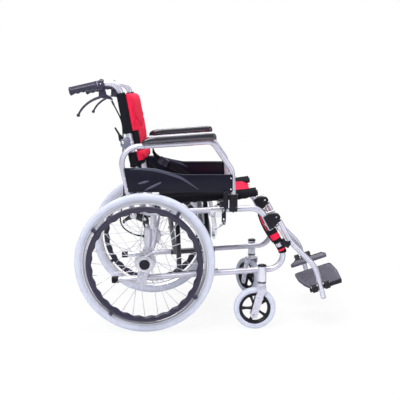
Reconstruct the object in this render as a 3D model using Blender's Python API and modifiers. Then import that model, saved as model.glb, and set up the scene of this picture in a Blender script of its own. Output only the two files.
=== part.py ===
"""Folding wheelchair with flip-back armrests, swing-away footrests and a half-folding back.

Metres, +Z up. X runs forward, Y to the sitter's left. While it is being built, X = 0 is the rear
axle; at the end the whole chair is moved so that its footprint is centred on the origin.
"""

import math

import bmesh
import bpy
from mathutils import Matrix, Vector

NAME = "folding_wheelchair"

# Clearances
FIT = 0.0003                 # between pieces that touch
RUN = 0.0006                 # between pieces that turn on each other

# Tubes
FRAME_TUBE = 0.022
UPRIGHT_TUBE = 0.0228
ARM_TUBE = 0.020
HANGER_TUBE = 0.020
BRACE_TUBE = 0.019
SLEEVE_TUBE = 0.028          # the thick lower end of the rear upright

# Flats of the faceted solids
TUBE_SIDES = 10
THIN_SIDES = 8
PIN_SIDES = 10
BEND_STEP = math.radians(20)
CORNER_STEP = math.radians(70)
OUTLINE_STEP = math.radians(32)

# Side frame, in side view
FRAME_HALF = 0.228           # half the distance between the two side frames
UPPER_RAIL_HEIGHT = 0.4264   # over the rear axle
UPPER_RAIL_SLOPE = math.radians(2.75)
LOWER_RAIL_HEIGHT = 0.1865   # over the rear axle
LOWER_RAIL_SLOPE = math.radians(3.9)
LOWER_RAIL_END = -0.104
RAIL_CAP = 0.026
FRONT_CORNER = 0.418         # where the upper rail would meet the front tube
FRONT_LEAN = math.radians(28.4)
FRONT_BEND = 0.057
LOWER_BEND = 0.055

# Rear upright and folding back
CANE_LEAN = math.radians(10.5)
CANE_FOOT = 0.0035           # X of the cane's axis at CANE_FOOT_HEIGHT
CANE_FOOT_HEIGHT = 0.382
UPRIGHT_X = 0.0085
FOLD_HEIGHT = 0.690
FOLD_PIN_BACK = 0.0245       # the fold's pin lies this far behind the cane
FOLD_PIN = 0.006
HANDLE_SLOPE = math.radians(12.9)
HANDLE_CORNER_HEIGHT = 0.9071
HANDLE_BEND = 0.045
GRIP_END = -0.268
GRIP_LENGTH = 0.101
GRIP_DIAMETER = 0.030

# Rear wheel
WHEEL_DIAMETER = 0.508
TYRE_WIDTH = 0.028
TYRE_DEPTH = 0.029
RIM_DEPTH = 0.0105
RIM_WIDTH = 0.0224
HUB_FLANGE = 0.059
HUB_HALF = 0.034
DRUM_DIAMETER = 0.078
AXLE = 0.012
AXLE_OUT = 0.0175            # the axle's end, from the wheel's middle plane
HUB_BARREL = 0.028
HUB_CAP = 0.040
HUB_SEGMENTS = 14
FLANGE_OUT = 0.018           # spoke flanges, from the wheel's middle plane
FLANGE = 0.004
SPOKES = 28
SPOKE = 0.0026
SPOKE_LEAN = math.radians(48.0)
WHEEL_SEGMENTS = 36
PUSHRIM_DIAMETER = 0.421
PUSHRIM_DEPTH = 0.022
PUSHRIM_WIDTH = 0.016
PUSHRIM_OUT = 0.030          # from the wheel's middle plane
PUSHRIM_WAVES = 28
PUSHRIM_CLIPS = (56, 146, 236, 326)

# Casters
CASTER_X = 0.427
CASTER_DIAMETER = 0.154
CASTER_TYRE_DEPTH = 0.019
CASTER_TYRE_WIDTH = 0.028
CASTER_RIM_DEPTH = 0.011
CASTER_SPOKES = 5
CASTER_TRAIL = 0.026
CASTER_SEGMENTS = 24
CASTER_HUB = 0.024
HOUSING = 0.032
HOUSING_TOP = 0.240
HOUSING_FOOT = 0.173
STEM = 0.012
CROWN = 0.030
CASTER_AXLE = 0.008
FORK_PLATE = 0.004
LEFT_CASTER_SWIVEL = math.radians(-58.0)

# Cross brace and seat
BRACE_GAP = 0.0024           # between a frame rail and the brace's pivot tube
SEAT_RISE = 0.2805           # seat rails above the lower pivots, square to the lower rail
BRACE_FROM = 0.089
BRACE_TO = 0.262
BRACE_BARS = ((0.124, 0.240), (0.100, 0.216))
BRACE_PIN = 0.010
CROSS_BOLT = 0.008
LUG = 0.005
SEAT_RAIL_FROM = 0.006
SEAT_RAIL_BEND = 0.375
SEAT_RAIL_TO = 0.432
SEAT_RAIL_TURN = math.radians(4.0)
SADDLES = (0.062, 0.300)
SADDLE_LENGTH = 0.018
SEAT_FROM = 0.042            # the cloth starts in front of the upright
SEAT_SAG = 0.046
SEAT_PAD = 0.009

# Armrest
WASHER = 0.002
PIVOT_PLATE = 0.003
ARM_PIVOT = (-0.042, 0.423)
ARM_PIVOT_BOLT = 0.008
ARM_REAR_LEAN = math.radians(12.2)
ARM_REAR_CORNER = (-0.0955, 0.6677)
ARM_TOP_SLOPE = math.radians(3.87)
ARM_FRONT_CORNER = 0.2433
ARM_SLANT = math.radians(34.6)
ARM_KNEE_HEIGHT = 0.5864
ARM_FRONT_LEAN = math.radians(-2.6)
ARM_FOOT_HEIGHT = 0.449
ARM_BENDS = (0.062, 0.030, 0.060)
BUTTON = 0.007
PAD_LENGTH = 0.2655
PAD_WIDTH = 0.046
PAD_THICKNESS = 0.029
PAD_FROM = -0.008
GUARD = 0.003
GUARD_TO_TYRE = 0.006
SOCKET_WALL = 0.004
SOCKET_DEPTH = 0.050
SOCKET_SLACK = 0.004         # the room behind the tube that lets it swing in

# Hanger and footplate
ROD_OUT = 0.0265             # hinge rod in front of the front tube
ROD = 0.007
HANGER_OUT = 0.041           # hanger tube in front of the front tube
HANGER_KNEE = 0.084          # along the front tube, from the front reference point
HANGER_SLANT = math.radians(45.0)
HANGER_FOOT_LEAN = math.radians(15.5)
HANGER_FOOT_CORNER_HEIGHT = 0.225
HANGER_FOOT_HEIGHT = 0.108
HANGER_BENDS = (0.120, 0.100)
FRONT_MARK = (0.458, 0.3722)  # a point on the front tube's axis; distances along it start here
PLATE_PITCH = math.radians(18.5)
PLATE_TILT = math.radians(9.5)
PLATE_THICKNESS = 0.011
PLATE_DROP = 0.0115          # the tread's face below the hinge pin
PLATE_GAP = 0.070            # between the two footplates
PLATE_PIN = 0.006
RELEASE_HUB = 0.0042
FOOTPLATE_HEIGHTS = {"right": 0.158, "left": 0.174}

# Parking brake
BRAKE_SHOE_PIVOT = (0.247, 0.424)
BRAKE_LEVER_PIVOT = (0.2857, 0.4065)
BRAKE_LINK_LEVER = (0.2857, 0.3925)
BRAKE_LINK_SHOE = (0.2570, 0.3730)
BRAKE_PLATE = 0.004
BRAKE_RIVET = 0.005
BRAKE_GRIP = (0.019, 0.010, 0.066)

# Attendant brake
CLAMP_X = -0.1535
CLAMP_WIDTH = 0.024
HAND_LEVER_PIVOT = (-0.1500, 0.8520)
CABLE = 0.005
LEVER_PIN = 0.004
LEVER_ROOT = 0.0056          # the hand lever between the clamp's cheeks
LEVER_ARM = 0.0078           # and further out

# Upholstery
BACK_HALF = 0.236
SLEEVE_WALL = 0.0065
PAD_OUT = 0.036
FLAP_OUT = 0.0155            # rear face of the upper cushion where it passes the fold
UPPER_BACK_FROM = 0.656
UPPER_BACK_TO = 0.862
LOWER_BACK_FROM = 0.598
LOWER_BACK_TO = FOLD_HEIGHT - 0.040
STRAP = 0.0032
BELT_WIDTH = 0.025
BELT_THICKNESS = 0.0022

# Sizes that follow from the ones above
WHEEL_RADIUS = WHEEL_DIAMETER / 2
AXLE_HEIGHT = WHEEL_RADIUS
ARM_HALF = FRAME_HALF + UPRIGHT_TUBE / 2 + FIT + PIVOT_PLATE + WASHER + ARM_TUBE / 2
GUARD_FACE = ARM_HALF + ARM_TUBE / 2 + FIT + GUARD
WHEEL_HALF = GUARD_FACE + GUARD_TO_TYRE + TYRE_WIDTH / 2
CASTER_HALF = FRAME_HALF + FRAME_TUBE / 2 + HOUSING / 2 - 0.002
PIVOT_HALF = FRAME_HALF - FRAME_TUBE / 2 - BRACE_TUBE / 2 - BRACE_GAP
CASTER_RADIUS = CASTER_DIAMETER / 2
FOLD_ANGLE = math.degrees(math.atan2(SEAT_RISE, 2 * PIVOT_HALF))

SIDES = (("right", -1.0), ("left", 1.0))

BLACK = (0.018, 0.018, 0.024)
MATERIALS = {
    "silver_paint": ((0.66, 0.65, 0.72), 0.32, 0.55),
    "pale_rubber": ((0.70, 0.70, 0.78), 0.62, 0.0),
    "polished_rim": ((0.72, 0.72, 0.76), 0.25, 0.9),
    "black_plastic": ((0.030, 0.030, 0.038), 0.42, 0.0),
    "violet_plastic": ((0.060, 0.055, 0.085), 0.36, 0.0),
    "black_paint": (BLACK, 0.35, 0.2),
    "arm_pad": ((0.022, 0.022, 0.030), 0.28, 0.0),
    "guard_plastic": ((0.030, 0.030, 0.048), 0.40, 0.0),
    "tread_plastic": ((0.085, 0.082, 0.100), 0.55, 0.0),
    "red_cloth": ((0.72, 0.022, 0.060), 0.80, 0.0),
    "black_cloth": ((0.016, 0.016, 0.020), 0.85, 0.0),
    "bright_steel": ((0.60, 0.60, 0.63), 0.30, 0.95),
    "cable_jacket": ((0.012, 0.012, 0.014), 0.50, 0.0),
}


# Scene and materials
def clear_scene():
    for thing in list(bpy.data.objects):
        bpy.data.objects.remove(thing, do_unlink=True)


def make_materials():
    made = {}
    for name, (colour, roughness, metallic) in MATERIALS.items():
        material = bpy.data.materials.new(name)
        material.use_nodes = True
        shader = material.node_tree.nodes["Principled BSDF"]
        shader.inputs["Base Color"].default_value = (*colour, 1.0)
        shader.inputs["Roughness"].default_value = roughness
        shader.inputs["Metallic"].default_value = metallic
        material.diffuse_color = (*colour, 1.0)
        made[name] = material
    return made


clear_scene()
FINISH = make_materials()
PARTS = bpy.data.collections.new(NAME)
bpy.context.scene.collection.children.link(PARTS)
WORK = bpy.data.collections.new("cutters")
bpy.context.scene.collection.children.link(WORK)


def empty(name, location, parent=None, rotation=(0.0, 0.0, 0.0)):
    """A plain axes object; location is in the chair's own frame."""
    pivot = bpy.data.objects.new(name, None)
    pivot.empty_display_size = 0.03
    pivot.location = location
    pivot.rotation_euler = rotation
    PARTS.objects.link(pivot)
    bpy.context.view_layer.update()
    if parent is not None:
        attach(pivot, parent)
    return pivot


def attach(thing, parent):
    """Parents a piece and leaves it where it is."""
    bpy.context.view_layer.update()
    thing.parent = parent
    thing.matrix_parent_inverse = parent.matrix_world.inverted()
    bpy.context.view_layer.update()


# Shapes
def from_mesh(mesh):
    shape = bpy.data.objects.new("shape", mesh)
    WORK.objects.link(shape)
    return shape


def settled(shape, weld=True):
    """The object with its modifiers or curve turned into a plain mesh, welded if asked."""
    bpy.context.view_layer.update()
    graph = bpy.context.evaluated_depsgraph_get()
    mesh = bpy.data.meshes.new_from_object(shape.evaluated_get(graph))
    if weld:
        body = bmesh.new()
        body.from_mesh(mesh)
        bmesh.ops.remove_doubles(body, verts=body.verts, dist=0.000002)
        bmesh.ops.recalc_face_normals(body, faces=body.faces)
        body.to_mesh(mesh)
        body.free()
    plain = from_mesh(mesh)
    plain.matrix_world = shape.matrix_world.copy()
    bpy.data.objects.remove(shape, do_unlink=True)
    return plain


def tube(points, diameter, sides=TUBE_SIDES):
    """A round bar along a path, closed at both ends."""
    data = bpy.data.curves.new("path", "CURVE")
    data.dimensions = "3D"
    data.bevel_depth = diameter / 2
    data.bevel_resolution = (sides - 4) // 2
    data.use_fill_caps = True
    line = data.splines.new("POLY")
    line.points.add(len(points) - 1)
    for knot, place in zip(line.points, points):
        knot.co = (*place, 1.0)
    path = bpy.data.objects.new("path", data)
    WORK.objects.link(path)
    return settled(path)


def rod(start, end, diameter, sides=PIN_SIDES, far_diameter=None):
    """A straight round bar or cone between two points."""
    start, end = Vector(start), Vector(end)
    along = end - start
    last = diameter if far_diameter is None else far_diameter
    body = bmesh.new()
    bmesh.ops.create_cone(body, cap_ends=True, segments=sides, radius1=diameter / 2,
                          radius2=last / 2, depth=along.length)
    mesh = bpy.data.meshes.new("rod")
    body.to_mesh(mesh)
    body.free()
    shape = from_mesh(mesh)
    turn = along.to_track_quat("Z", "Y").to_matrix().to_4x4()
    shape.matrix_world = Matrix.Translation((start + end) / 2) @ turn
    return shape


def block(centre, size, turn=None, bevel=0.0, steps=2):
    """A box with rounded edges; turn is an optional rotation matrix."""
    body = bmesh.new()
    bmesh.ops.create_cube(body, size=1.0)
    bmesh.ops.scale(body, vec=Vector(size), verts=body.verts)
    if bevel > 0.0:
        bmesh.ops.bevel(body, geom=body.edges[:], offset=bevel, segments=steps, affect="EDGES",
                        profile=0.5, clamp_overlap=True)
    mesh = bpy.data.meshes.new("block")
    body.to_mesh(mesh)
    body.free()
    shape = from_mesh(mesh)
    place = Matrix.Translation(Vector(centre))
    shape.matrix_world = place @ turn.to_4x4() if turn is not None else place
    return shape


def outline_plate(outer, inner, outer_face, inner_face, holes=()):
    """A flat plate cut from an XZ outline; the two faces are given as Y values."""
    data = bpy.data.curves.new("outline", "CURVE")
    data.dimensions = "2D"
    data.fill_mode = "BOTH"
    data.extrude = abs(outer_face - inner_face) / 2
    for loop in (outer, *inner, *[circle(*hole) for hole in holes]):
        line = data.splines.new("POLY")
        line.points.add(len(loop) - 1)
        line.use_cyclic_u = True
        for knot, (x, z) in zip(line.points, loop):
            knot.co = (x, z, 0.0, 1.0)
    flat = bpy.data.objects.new("outline", data)
    WORK.objects.link(flat)
    flat.rotation_euler = (math.pi / 2, 0.0, 0.0)
    flat.location = (0.0, (outer_face + inner_face) / 2, 0.0)
    return settled(flat)


def plate(outline, outer_face, inner_face, holes=()):
    return outline_plate(outline, (), outer_face, inner_face, holes)


def turned(profile, segments, closed=False):
    """A profile of (radius, height) points revolved about its own Z axis."""
    mesh = bpy.data.meshes.new("profile")
    points = [(radius, 0.0, height) for radius, height in profile]
    edges = [(i, i + 1) for i in range(len(points) - 1)]
    if closed:
        edges.append((len(points) - 1, 0))
    mesh.from_pydata(points, edges, [])
    shape = from_mesh(mesh)
    screw = shape.modifiers.new("turn", "SCREW")
    screw.axis = "Z"
    screw.steps = segments
    screw.render_steps = segments
    screw.use_merge_vertices = True
    screw.merge_threshold = 0.000005
    return settled(shape)


def loft(sections, closed_ends=True):
    """A skin over rings of equal point counts, with flat ends."""
    body = bmesh.new()
    rings = [[body.verts.new(point) for point in ring] for ring in sections]
    count = len(rings[0])
    for near, far in zip(rings, rings[1:]):
        for i in range(count):
            j = (i + 1) % count
            body.faces.new((near[i], near[j], far[j], far[i]))
    if closed_ends:
        body.faces.new(rings[0][::-1])
        body.faces.new(rings[-1])
    bmesh.ops.recalc_face_normals(body, faces=body.faces)
    mesh = bpy.data.meshes.new("loft")
    body.to_mesh(mesh)
    body.free()
    return from_mesh(mesh)


def combine(target, tool, operation, inside=False):
    """One exact Boolean between two shapes; the tool is used up."""
    change = target.modifiers.new("join", "BOOLEAN")
    change.operation = operation
    change.object = tool
    change.solver = "EXACT"
    change.use_self = inside
    made = settled(target, weld=False)
    bpy.data.objects.remove(tool, do_unlink=True)
    return made


def join(target, *tools, inside=False):
    for tool in tools:
        target = combine(target, tool, "UNION", inside)
    return target


def cut(target, *tools):
    for tool in tools:
        target = combine(target, tool, "DIFFERENCE")
    return target


def together(shapes):
    """Several loose shapes as one mesh, for a single Boolean."""
    body = bmesh.new()
    for shape in shapes:
        mesh = shape.data.copy()
        mesh.transform(shape.matrix_world)
        body.from_mesh(mesh)
        bpy.data.objects.remove(shape, do_unlink=True)
    mesh = bpy.data.meshes.new("together")
    body.to_mesh(mesh)
    body.free()
    return from_mesh(mesh)


def finish(shape, name, finish_name, parent, smooth=35.0):
    """Names a shape, gives it its material and parents it: one sub-part of the chair."""
    shape.name = name
    shape.data.name = name
    shape.data.materials.clear()
    shape.data.materials.append(FINISH[finish_name])
    shape.data.shade_smooth()
    shape.data.set_sharp_from_angle(angle=math.radians(smooth))
    WORK.objects.unlink(shape)
    PARTS.objects.link(shape)
    attach(shape, parent)
    return shape


# Plane geometry
def circle(x, z, radius, count=16):
    return [(x + radius * math.cos(2 * math.pi * i / count),
             z + radius * math.sin(2 * math.pi * i / count)) for i in range(count)]


def bent(corners, radii, step=BEND_STEP):
    """A path through corner points, each inner corner rounded to its bend radius."""
    corners = [Vector(corner) for corner in corners]
    points = [corners[0]]
    for i, radius in enumerate(radii, start=1):
        back = (corners[i - 1] - corners[i]).normalized()
        ahead = (corners[i + 1] - corners[i]).normalized()
        turn = math.pi - back.angle(ahead)
        reach = radius * math.tan(turn / 2)
        middle = (back + ahead).normalized()
        centre = corners[i] + middle * (radius / math.cos(turn / 2))
        start = corners[i] + back * reach - centre
        end = corners[i] + ahead * reach - centre
        count = max(2, round(turn / step))
        for k in range(count + 1):
            share = k / count
            spread = math.sin(turn)
            arm = start * (math.sin((1 - share) * turn) / spread) + end * (math.sin(share * turn) / spread)
            points.append(centre + arm)
    points.append(corners[-1])
    return points


def rounded(outline, radius, step=CORNER_STEP):
    """A closed outline with every corner rounded; radius is one value or one for each corner."""
    count = len(outline)
    radii = radius if isinstance(radius, (list, tuple)) else [radius] * count
    points = []
    for i, corner in enumerate(outline):
        here = Vector(corner)
        back = Vector(outline[i - 1]) - here
        ahead = Vector(outline[(i + 1) % count]) - here
        turn = math.pi - back.angle(ahead)
        reach = radii[i] * math.tan(turn / 2)
        limit = 0.49 * min(back.length, ahead.length)
        if reach < 0.0002:
            points.append((here.x, here.y))
            continue
        reach = min(reach, limit)
        start = here + back.normalized() * reach
        end = here + ahead.normalized() * reach
        steps = max(1, round(turn / step))
        for k in range(steps + 1):
            share = k / steps
            bend = start * (1 - share) ** 2 + here * 2 * share * (1 - share) + end * share ** 2
            points.append((bend.x, bend.y))
    return points


def lengthened(points, before, after):
    """A path with its two ends moved outwards."""
    points = [Vector(point) for point in points]
    points[0] += (points[0] - points[1]).normalized() * before
    points[-1] += (points[-1] - points[-2]).normalized() * after
    return points


def at_side(points, y):
    """Side-view points placed in the plane of one side."""
    return [Vector((x, y, z)) for x, z in points]


def upper_rail(x):
    return UPPER_RAIL_HEIGHT + math.tan(UPPER_RAIL_SLOPE) * x


def lower_rail(x):
    return LOWER_RAIL_HEIGHT + math.tan(LOWER_RAIL_SLOPE) * x


def cane(z):
    """X of the leaning cane's axis at a height."""
    return CANE_FOOT - math.tan(CANE_LEAN) * (z - CANE_FOOT_HEIGHT)


def front(along, out):
    """Side-view point by distance down the front tube and distance in front of it."""
    return (FRONT_MARK[0] + along * math.sin(FRONT_LEAN) + out * math.cos(FRONT_LEAN),
            FRONT_MARK[1] - along * math.cos(FRONT_LEAN) + out * math.sin(FRONT_LEAN))


def behind_cane(z, back):
    """Side-view point behind the cane's axis, square to it."""
    return (cane(z) - back * math.cos(CANE_LEAN), z - back * math.sin(CANE_LEAN))


FOLD_PIN_PLACE = behind_cane(FOLD_HEIGHT, FOLD_PIN_BACK)
BRACE_TURN = Matrix.Rotation(-LOWER_RAIL_SLOPE, 3, "Y")


def in_brace(x, y, rise):
    """A point given along, across and above the line of the brace's lower pivots."""
    return BRACE_TURN @ Vector((x, y, rise)) + Vector((0.0, 0.0, LOWER_RAIL_HEIGHT))


def frame_loop(y):
    """Axis of the bent tube: upper rail, front tube and lower rail in one."""
    top = (FRONT_CORNER, upper_rail(FRONT_CORNER))
    lean = math.tan(FRONT_LEAN)
    slope = math.tan(LOWER_RAIL_SLOPE)
    foot_x = (top[0] + lean * (top[1] - LOWER_RAIL_HEIGHT)) / (1 + lean * slope)
    foot = (foot_x, lower_rail(foot_x))
    ends = ((cane(UPPER_RAIL_HEIGHT), upper_rail(cane(UPPER_RAIL_HEIGHT))),
            (LOWER_RAIL_END, lower_rail(LOWER_RAIL_END)))
    return bent(at_side([ends[0], top, foot, ends[1]], y), [FRONT_BEND, LOWER_BEND])


def upright_path(y):
    """Axis of the rear upright, from below the axle plate to the fold's joint."""
    joint = behind_cane(FOLD_HEIGHT - 0.002, 0.0)
    corners = [(UPRIGHT_X - 0.021, 0.166), (UPRIGHT_X, 0.272), (UPRIGHT_X, 0.355), joint]
    return bent(at_side(corners, y), [0.10, 0.12])


# Side frame
def side_frame(side, s, parent):
    y = s * FRAME_HALF
    frame = tube(frame_loop(y), FRAME_TUBE)
    frame = join(frame, tube(upright_path(y), UPRIGHT_TUBE))
    sleeve = rod((UPRIGHT_X, y, AXLE_HEIGHT + 0.032), (UPRIGHT_X, y, UPPER_RAIL_HEIGHT - 0.058), SLEEVE_TUBE, 12)
    frame = join(frame, sleeve)
    frame = join(frame, axle_mount(s), caster_housing(s))
    frame = join(frame, rail_cap(s))
    frame = cut(frame, stem_bore(s))
    frame = join(frame, fold_socket(s))
    for place in SADDLES:
        frame = join(frame, saddle(s, place))
    frame = cut(frame, seat_rail_shape(s, FRAME_TUBE + 2 * FIT))
    for lug in brace_lugs(s):
        frame = join(frame, lug)
    frame = join(frame, brake_base(s))
    return finish(frame, f"side_frame_{side}", "silver_paint", parent)


def axle_mount(s):
    """Forged plate, brake backing disc and axle at the rear hub."""
    inner = s * (FRAME_HALF + FRAME_TUBE / 2 - 0.002)
    outer = s * (FRAME_HALF + FRAME_TUBE / 2 + 0.0075)
    outline = rounded([(0.020, 0.302), (-0.006, 0.302), (-0.020, 0.262), (-0.029, 0.200), (-0.030, 0.168),
                       (0.002, 0.168), (0.006, 0.192), (0.017, 0.214), (0.022, 0.262)], 0.008)
    mount = plate(outline, outer, inner)
    disc_edge = s * (WHEEL_HALF - HUB_HALF - 0.0035)
    root = s * (FRAME_HALF + FRAME_TUBE / 2 + 0.001)
    disc = rod((0.0, root, AXLE_HEIGHT), (0.0, disc_edge, AXLE_HEIGHT), DRUM_DIAMETER - 0.004, 14)
    axle = rod((0.0, root + s * 0.0024, AXLE_HEIGHT), (0.0, s * (WHEEL_HALF + AXLE_OUT), AXLE_HEIGHT), AXLE)
    arm_outline = [(0.014, 0.286), (0.022, 0.281), (0.027, 0.284), (0.031, 0.300), (0.042, 0.368),
                   (0.041, 0.380), (0.034, 0.383), (0.027, 0.378), (0.028, 0.340)]
    arm = plate(arm_outline, outer + s * 0.0010, s * (FRAME_HALF + FRAME_TUBE / 2 + 0.0035))
    stop = rod((-0.006, s * (FRAME_HALF + 0.004), 0.3415), (-0.0175, s * (FRAME_HALF - 0.004), 0.3425), 0.009, 10)
    return join(mount, disc, axle, arm, stop)


def caster_housing(s):
    return rod((CASTER_X, s * CASTER_HALF, HOUSING_FOOT), (CASTER_X, s * CASTER_HALF, HOUSING_TOP), HOUSING, 14)


def stem_bore(s):
    return rod((CASTER_X, s * CASTER_HALF, HOUSING_FOOT - 0.010), (CASTER_X, s * CASTER_HALF, HOUSING_TOP - 0.008),
               STEM + 2 * RUN)


def rail_cap(s):
    """Square plug on the open end of the lower rail."""
    middle = LOWER_RAIL_END - RAIL_CAP / 2 + 0.004
    return block((middle, s * FRAME_HALF, lower_rail(middle)), (RAIL_CAP, 0.0235, 0.0235), BRACE_TURN, 0.004, 1)


def fold_socket(s):
    """Sleeve and two cheeks round the fold's pin, at the top of the fixed cane."""
    y = s * FRAME_HALF
    low, high = FOLD_HEIGHT - 0.034, FOLD_HEIGHT - 0.003
    socket = rod((cane(low), y, low), (cane(high), y, high), FRAME_TUBE + 0.004)
    pin = FOLD_PIN_PLACE
    outline = [(cane(low) + 0.010, low), (cane(high) + 0.010, high + 0.016), (cane(high) - 0.006, high + 0.024),
               (pin[0] - 0.009, pin[1] + 0.008), (pin[0] - 0.009, pin[1] - 0.012),
               (pin[0] + 0.001, pin[1] - 0.022), (cane(low) - 0.010, low)]
    cheeks = []
    for out in (1, -1):
        face = FRAME_HALF + out * (FRAME_TUBE / 2 + FIT)
        cheeks.append(plate(outline, s * face, s * (face + out * 0.0020)))
    across = rod((pin[0], s * (FRAME_HALF - FRAME_TUBE / 2 - 0.0015), pin[1]),
                 (pin[0], s * (FRAME_HALF + FRAME_TUBE / 2 + 0.0015), pin[1]), FOLD_PIN)
    return join(socket, *cheeks, across)


def saddle(s, x):
    """Cradle welded to the upper rail, in which the seat rail lies when the chair is open."""
    seat = in_brace(x, s * PIVOT_HALF, SEAT_RISE)
    rail_z = upper_rail(seat.x)
    inside = PIVOT_HALF - FRAME_TUBE / 2 - 0.004
    outside = FRAME_HALF + 0.006
    lip = seat.z - 0.0065
    outline = [(inside, lip), (inside, seat.z - 0.016), (FRAME_HALF - 0.008, rail_z - 0.004),
               (outside, rail_z), (outside, seat.z - 0.018), (PIVOT_HALF + FRAME_TUBE / 2 + 0.002, lip)]
    half = SADDLE_LENGTH / 2
    rings = []
    for end in (seat.x - half, seat.x + half):
        rings.append([Vector((end, s * y, z)) for y, z in outline])
    return loft(rings)


def brace_lugs(s):
    """Plates on the lower rail, each with the pin that one end of the brace turns on."""
    lugs = []
    for near, far, reach in ((BRACE_FROM - RUN - LUG, BRACE_FROM - RUN, 0.012),
                             (BRACE_TO + RUN + LUG, BRACE_TO + RUN, -0.012)):
        outline = [(PIVOT_HALF - 0.0095, -0.0045), (PIVOT_HALF - 0.0045, -0.0095), (FRAME_HALF, -0.0095),
                   (FRAME_HALF, 0.0095), (PIVOT_HALF - 0.0045, 0.0095), (PIVOT_HALF - 0.0095, 0.0045)]
        rings = [[in_brace(x, s * y, z) for y, z in outline] for x in (near, far)]
        pin = rod(in_brace(near + 0.001 * (1 if reach > 0 else -1), s * PIVOT_HALF, 0.0),
                  in_brace(far + reach, s * PIVOT_HALF, 0.0), BRACE_PIN)
        lugs.append(join(loft(rings), pin))
    return lugs


def brake_base(s):
    """Pressed plate on the upper rail that carries the parking brake."""
    inner = s * (FRAME_HALF + FRAME_TUBE / 2 - 0.0015)
    outer = s * (FRAME_HALF + FRAME_TUBE / 2 + 0.0030)
    shoe, lever = BRAKE_SHOE_PIVOT, BRAKE_LEVER_PIVOT
    outline = [(shoe[0] - 0.011, upper_rail(shoe[0]) + 0.006), (shoe[0] - 0.011, shoe[1] - 0.006),
               (shoe[0] - 0.006, shoe[1] - 0.011), (lever[0] - 0.009, shoe[1] - 0.011),
               (lever[0] - 0.009, lever[1] - 0.005), (lever[0] - 0.004, lever[1] - 0.010),
               (lever[0] + 0.004, lever[1] - 0.010), (lever[0] + 0.009, lever[1] - 0.005),
               (lever[0] + 0.009, upper_rail(lever[0]) + 0.008)]
    base = plate(outline, outer, inner)
    pin_end = FRAME_HALF + FRAME_TUBE / 2 + 0.0030 + BRAKE_PLATE + 2 * FIT
    for x, z in (shoe, lever):
        pin = rod((x, inner, z), (x, s * (pin_end + 0.0005), z), BRAKE_RIVET, THIN_SIDES)
        head = rod((x, s * pin_end, z), (x, s * (pin_end + 0.002), z), BRAKE_RIVET + 0.0035, THIN_SIDES)
        base = join(base, join(pin, head))
    return base


# Cross brace and seat rails
def seat_rail_path(s):
    start = in_brace(SEAT_RAIL_FROM, s * PIVOT_HALF, SEAT_RISE)
    knee = in_brace(SEAT_RAIL_BEND, s * PIVOT_HALF, SEAT_RISE)
    rest = SEAT_RAIL_TO - SEAT_RAIL_BEND
    end = in_brace(SEAT_RAIL_TO, s * PIVOT_HALF, SEAT_RISE + rest * math.tan(SEAT_RAIL_TURN))
    return bent([start, knee, end], [0.20], math.radians(4))


def seat_rail_shape(s, diameter):
    return tube(seat_rail_path(s), diameter)


def brace_arm(name, s, bars, parent, pinned):
    """One arm of the scissor: pivot tube on this side, bars, and the other side's seat rail."""
    low, high = s * PIVOT_HALF, -s * PIVOT_HALF
    arm = rod(in_brace(BRACE_FROM, low, 0.0), in_brace(BRACE_TO, low, 0.0), BRACE_TUBE, THIN_SIDES)
    arm = join(arm, seat_rail_shape(-s, FRAME_TUBE))
    for x in bars:
        arm = join(arm, rod(in_brace(x, low, 0.0), in_brace(x, high, SEAT_RISE), BRACE_TUBE, THIN_SIDES))
    for start, end in ((BRACE_FROM - 0.004, BRACE_FROM + 0.0135), (BRACE_TO + 0.004, BRACE_TO - 0.0135)):
        arm = cut(arm, rod(in_brace(start, low, 0.0), in_brace(end, low, 0.0), BRACE_PIN + 2 * RUN))
    middle = SEAT_RISE / 2
    spacing = BRACE_BARS[0][0] - BRACE_BARS[1][0]
    for x in bars:
        if pinned:
            inner = in_brace(x, 0.0, middle)
            beyond = in_brace(x - spacing - BRACE_TUBE / 2 - RUN - 0.003, 0.0, middle)
            head_start = in_brace(x - spacing - BRACE_TUBE / 2 - RUN, 0.0, middle)
            washer = in_brace(x - spacing + BRACE_TUBE / 2 + RUN, 0.0, middle)
            arm = join(arm, rod(inner, washer, BRACE_TUBE - 0.004, 6))
            arm = join(arm, rod(inner, beyond, CROSS_BOLT, THIN_SIDES))
            arm = join(arm, rod(head_start, beyond, CROSS_BOLT + 0.006, THIN_SIDES))
        else:
            arm = cut(arm, rod(in_brace(x - 0.020, 0.0, middle), in_brace(x + 0.020, 0.0, middle),
                               CROSS_BOLT + 2 * RUN, THIN_SIDES))
    return finish(arm, name, "black_paint", parent)


# Folding back, handle and attendant brake
def upper_cane_path(y):
    start = behind_cane(FOLD_HEIGHT + 0.0015, 0.0)
    corner = (cane(HANDLE_CORNER_HEIGHT), HANDLE_CORNER_HEIGHT)
    end_x = GRIP_END + 0.010
    end = (end_x, corner[1] - math.tan(HANDLE_SLOPE) * (corner[0] - end_x))
    return bent(at_side([start, corner, end], y), [HANDLE_BEND])


def handle_point(x):
    """Side-view point on the handle's axis."""
    corner = (cane(HANDLE_CORNER_HEIGHT), HANDLE_CORNER_HEIGHT)
    return (x, corner[1] - math.tan(HANDLE_SLOPE) * (corner[0] - x))


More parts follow.
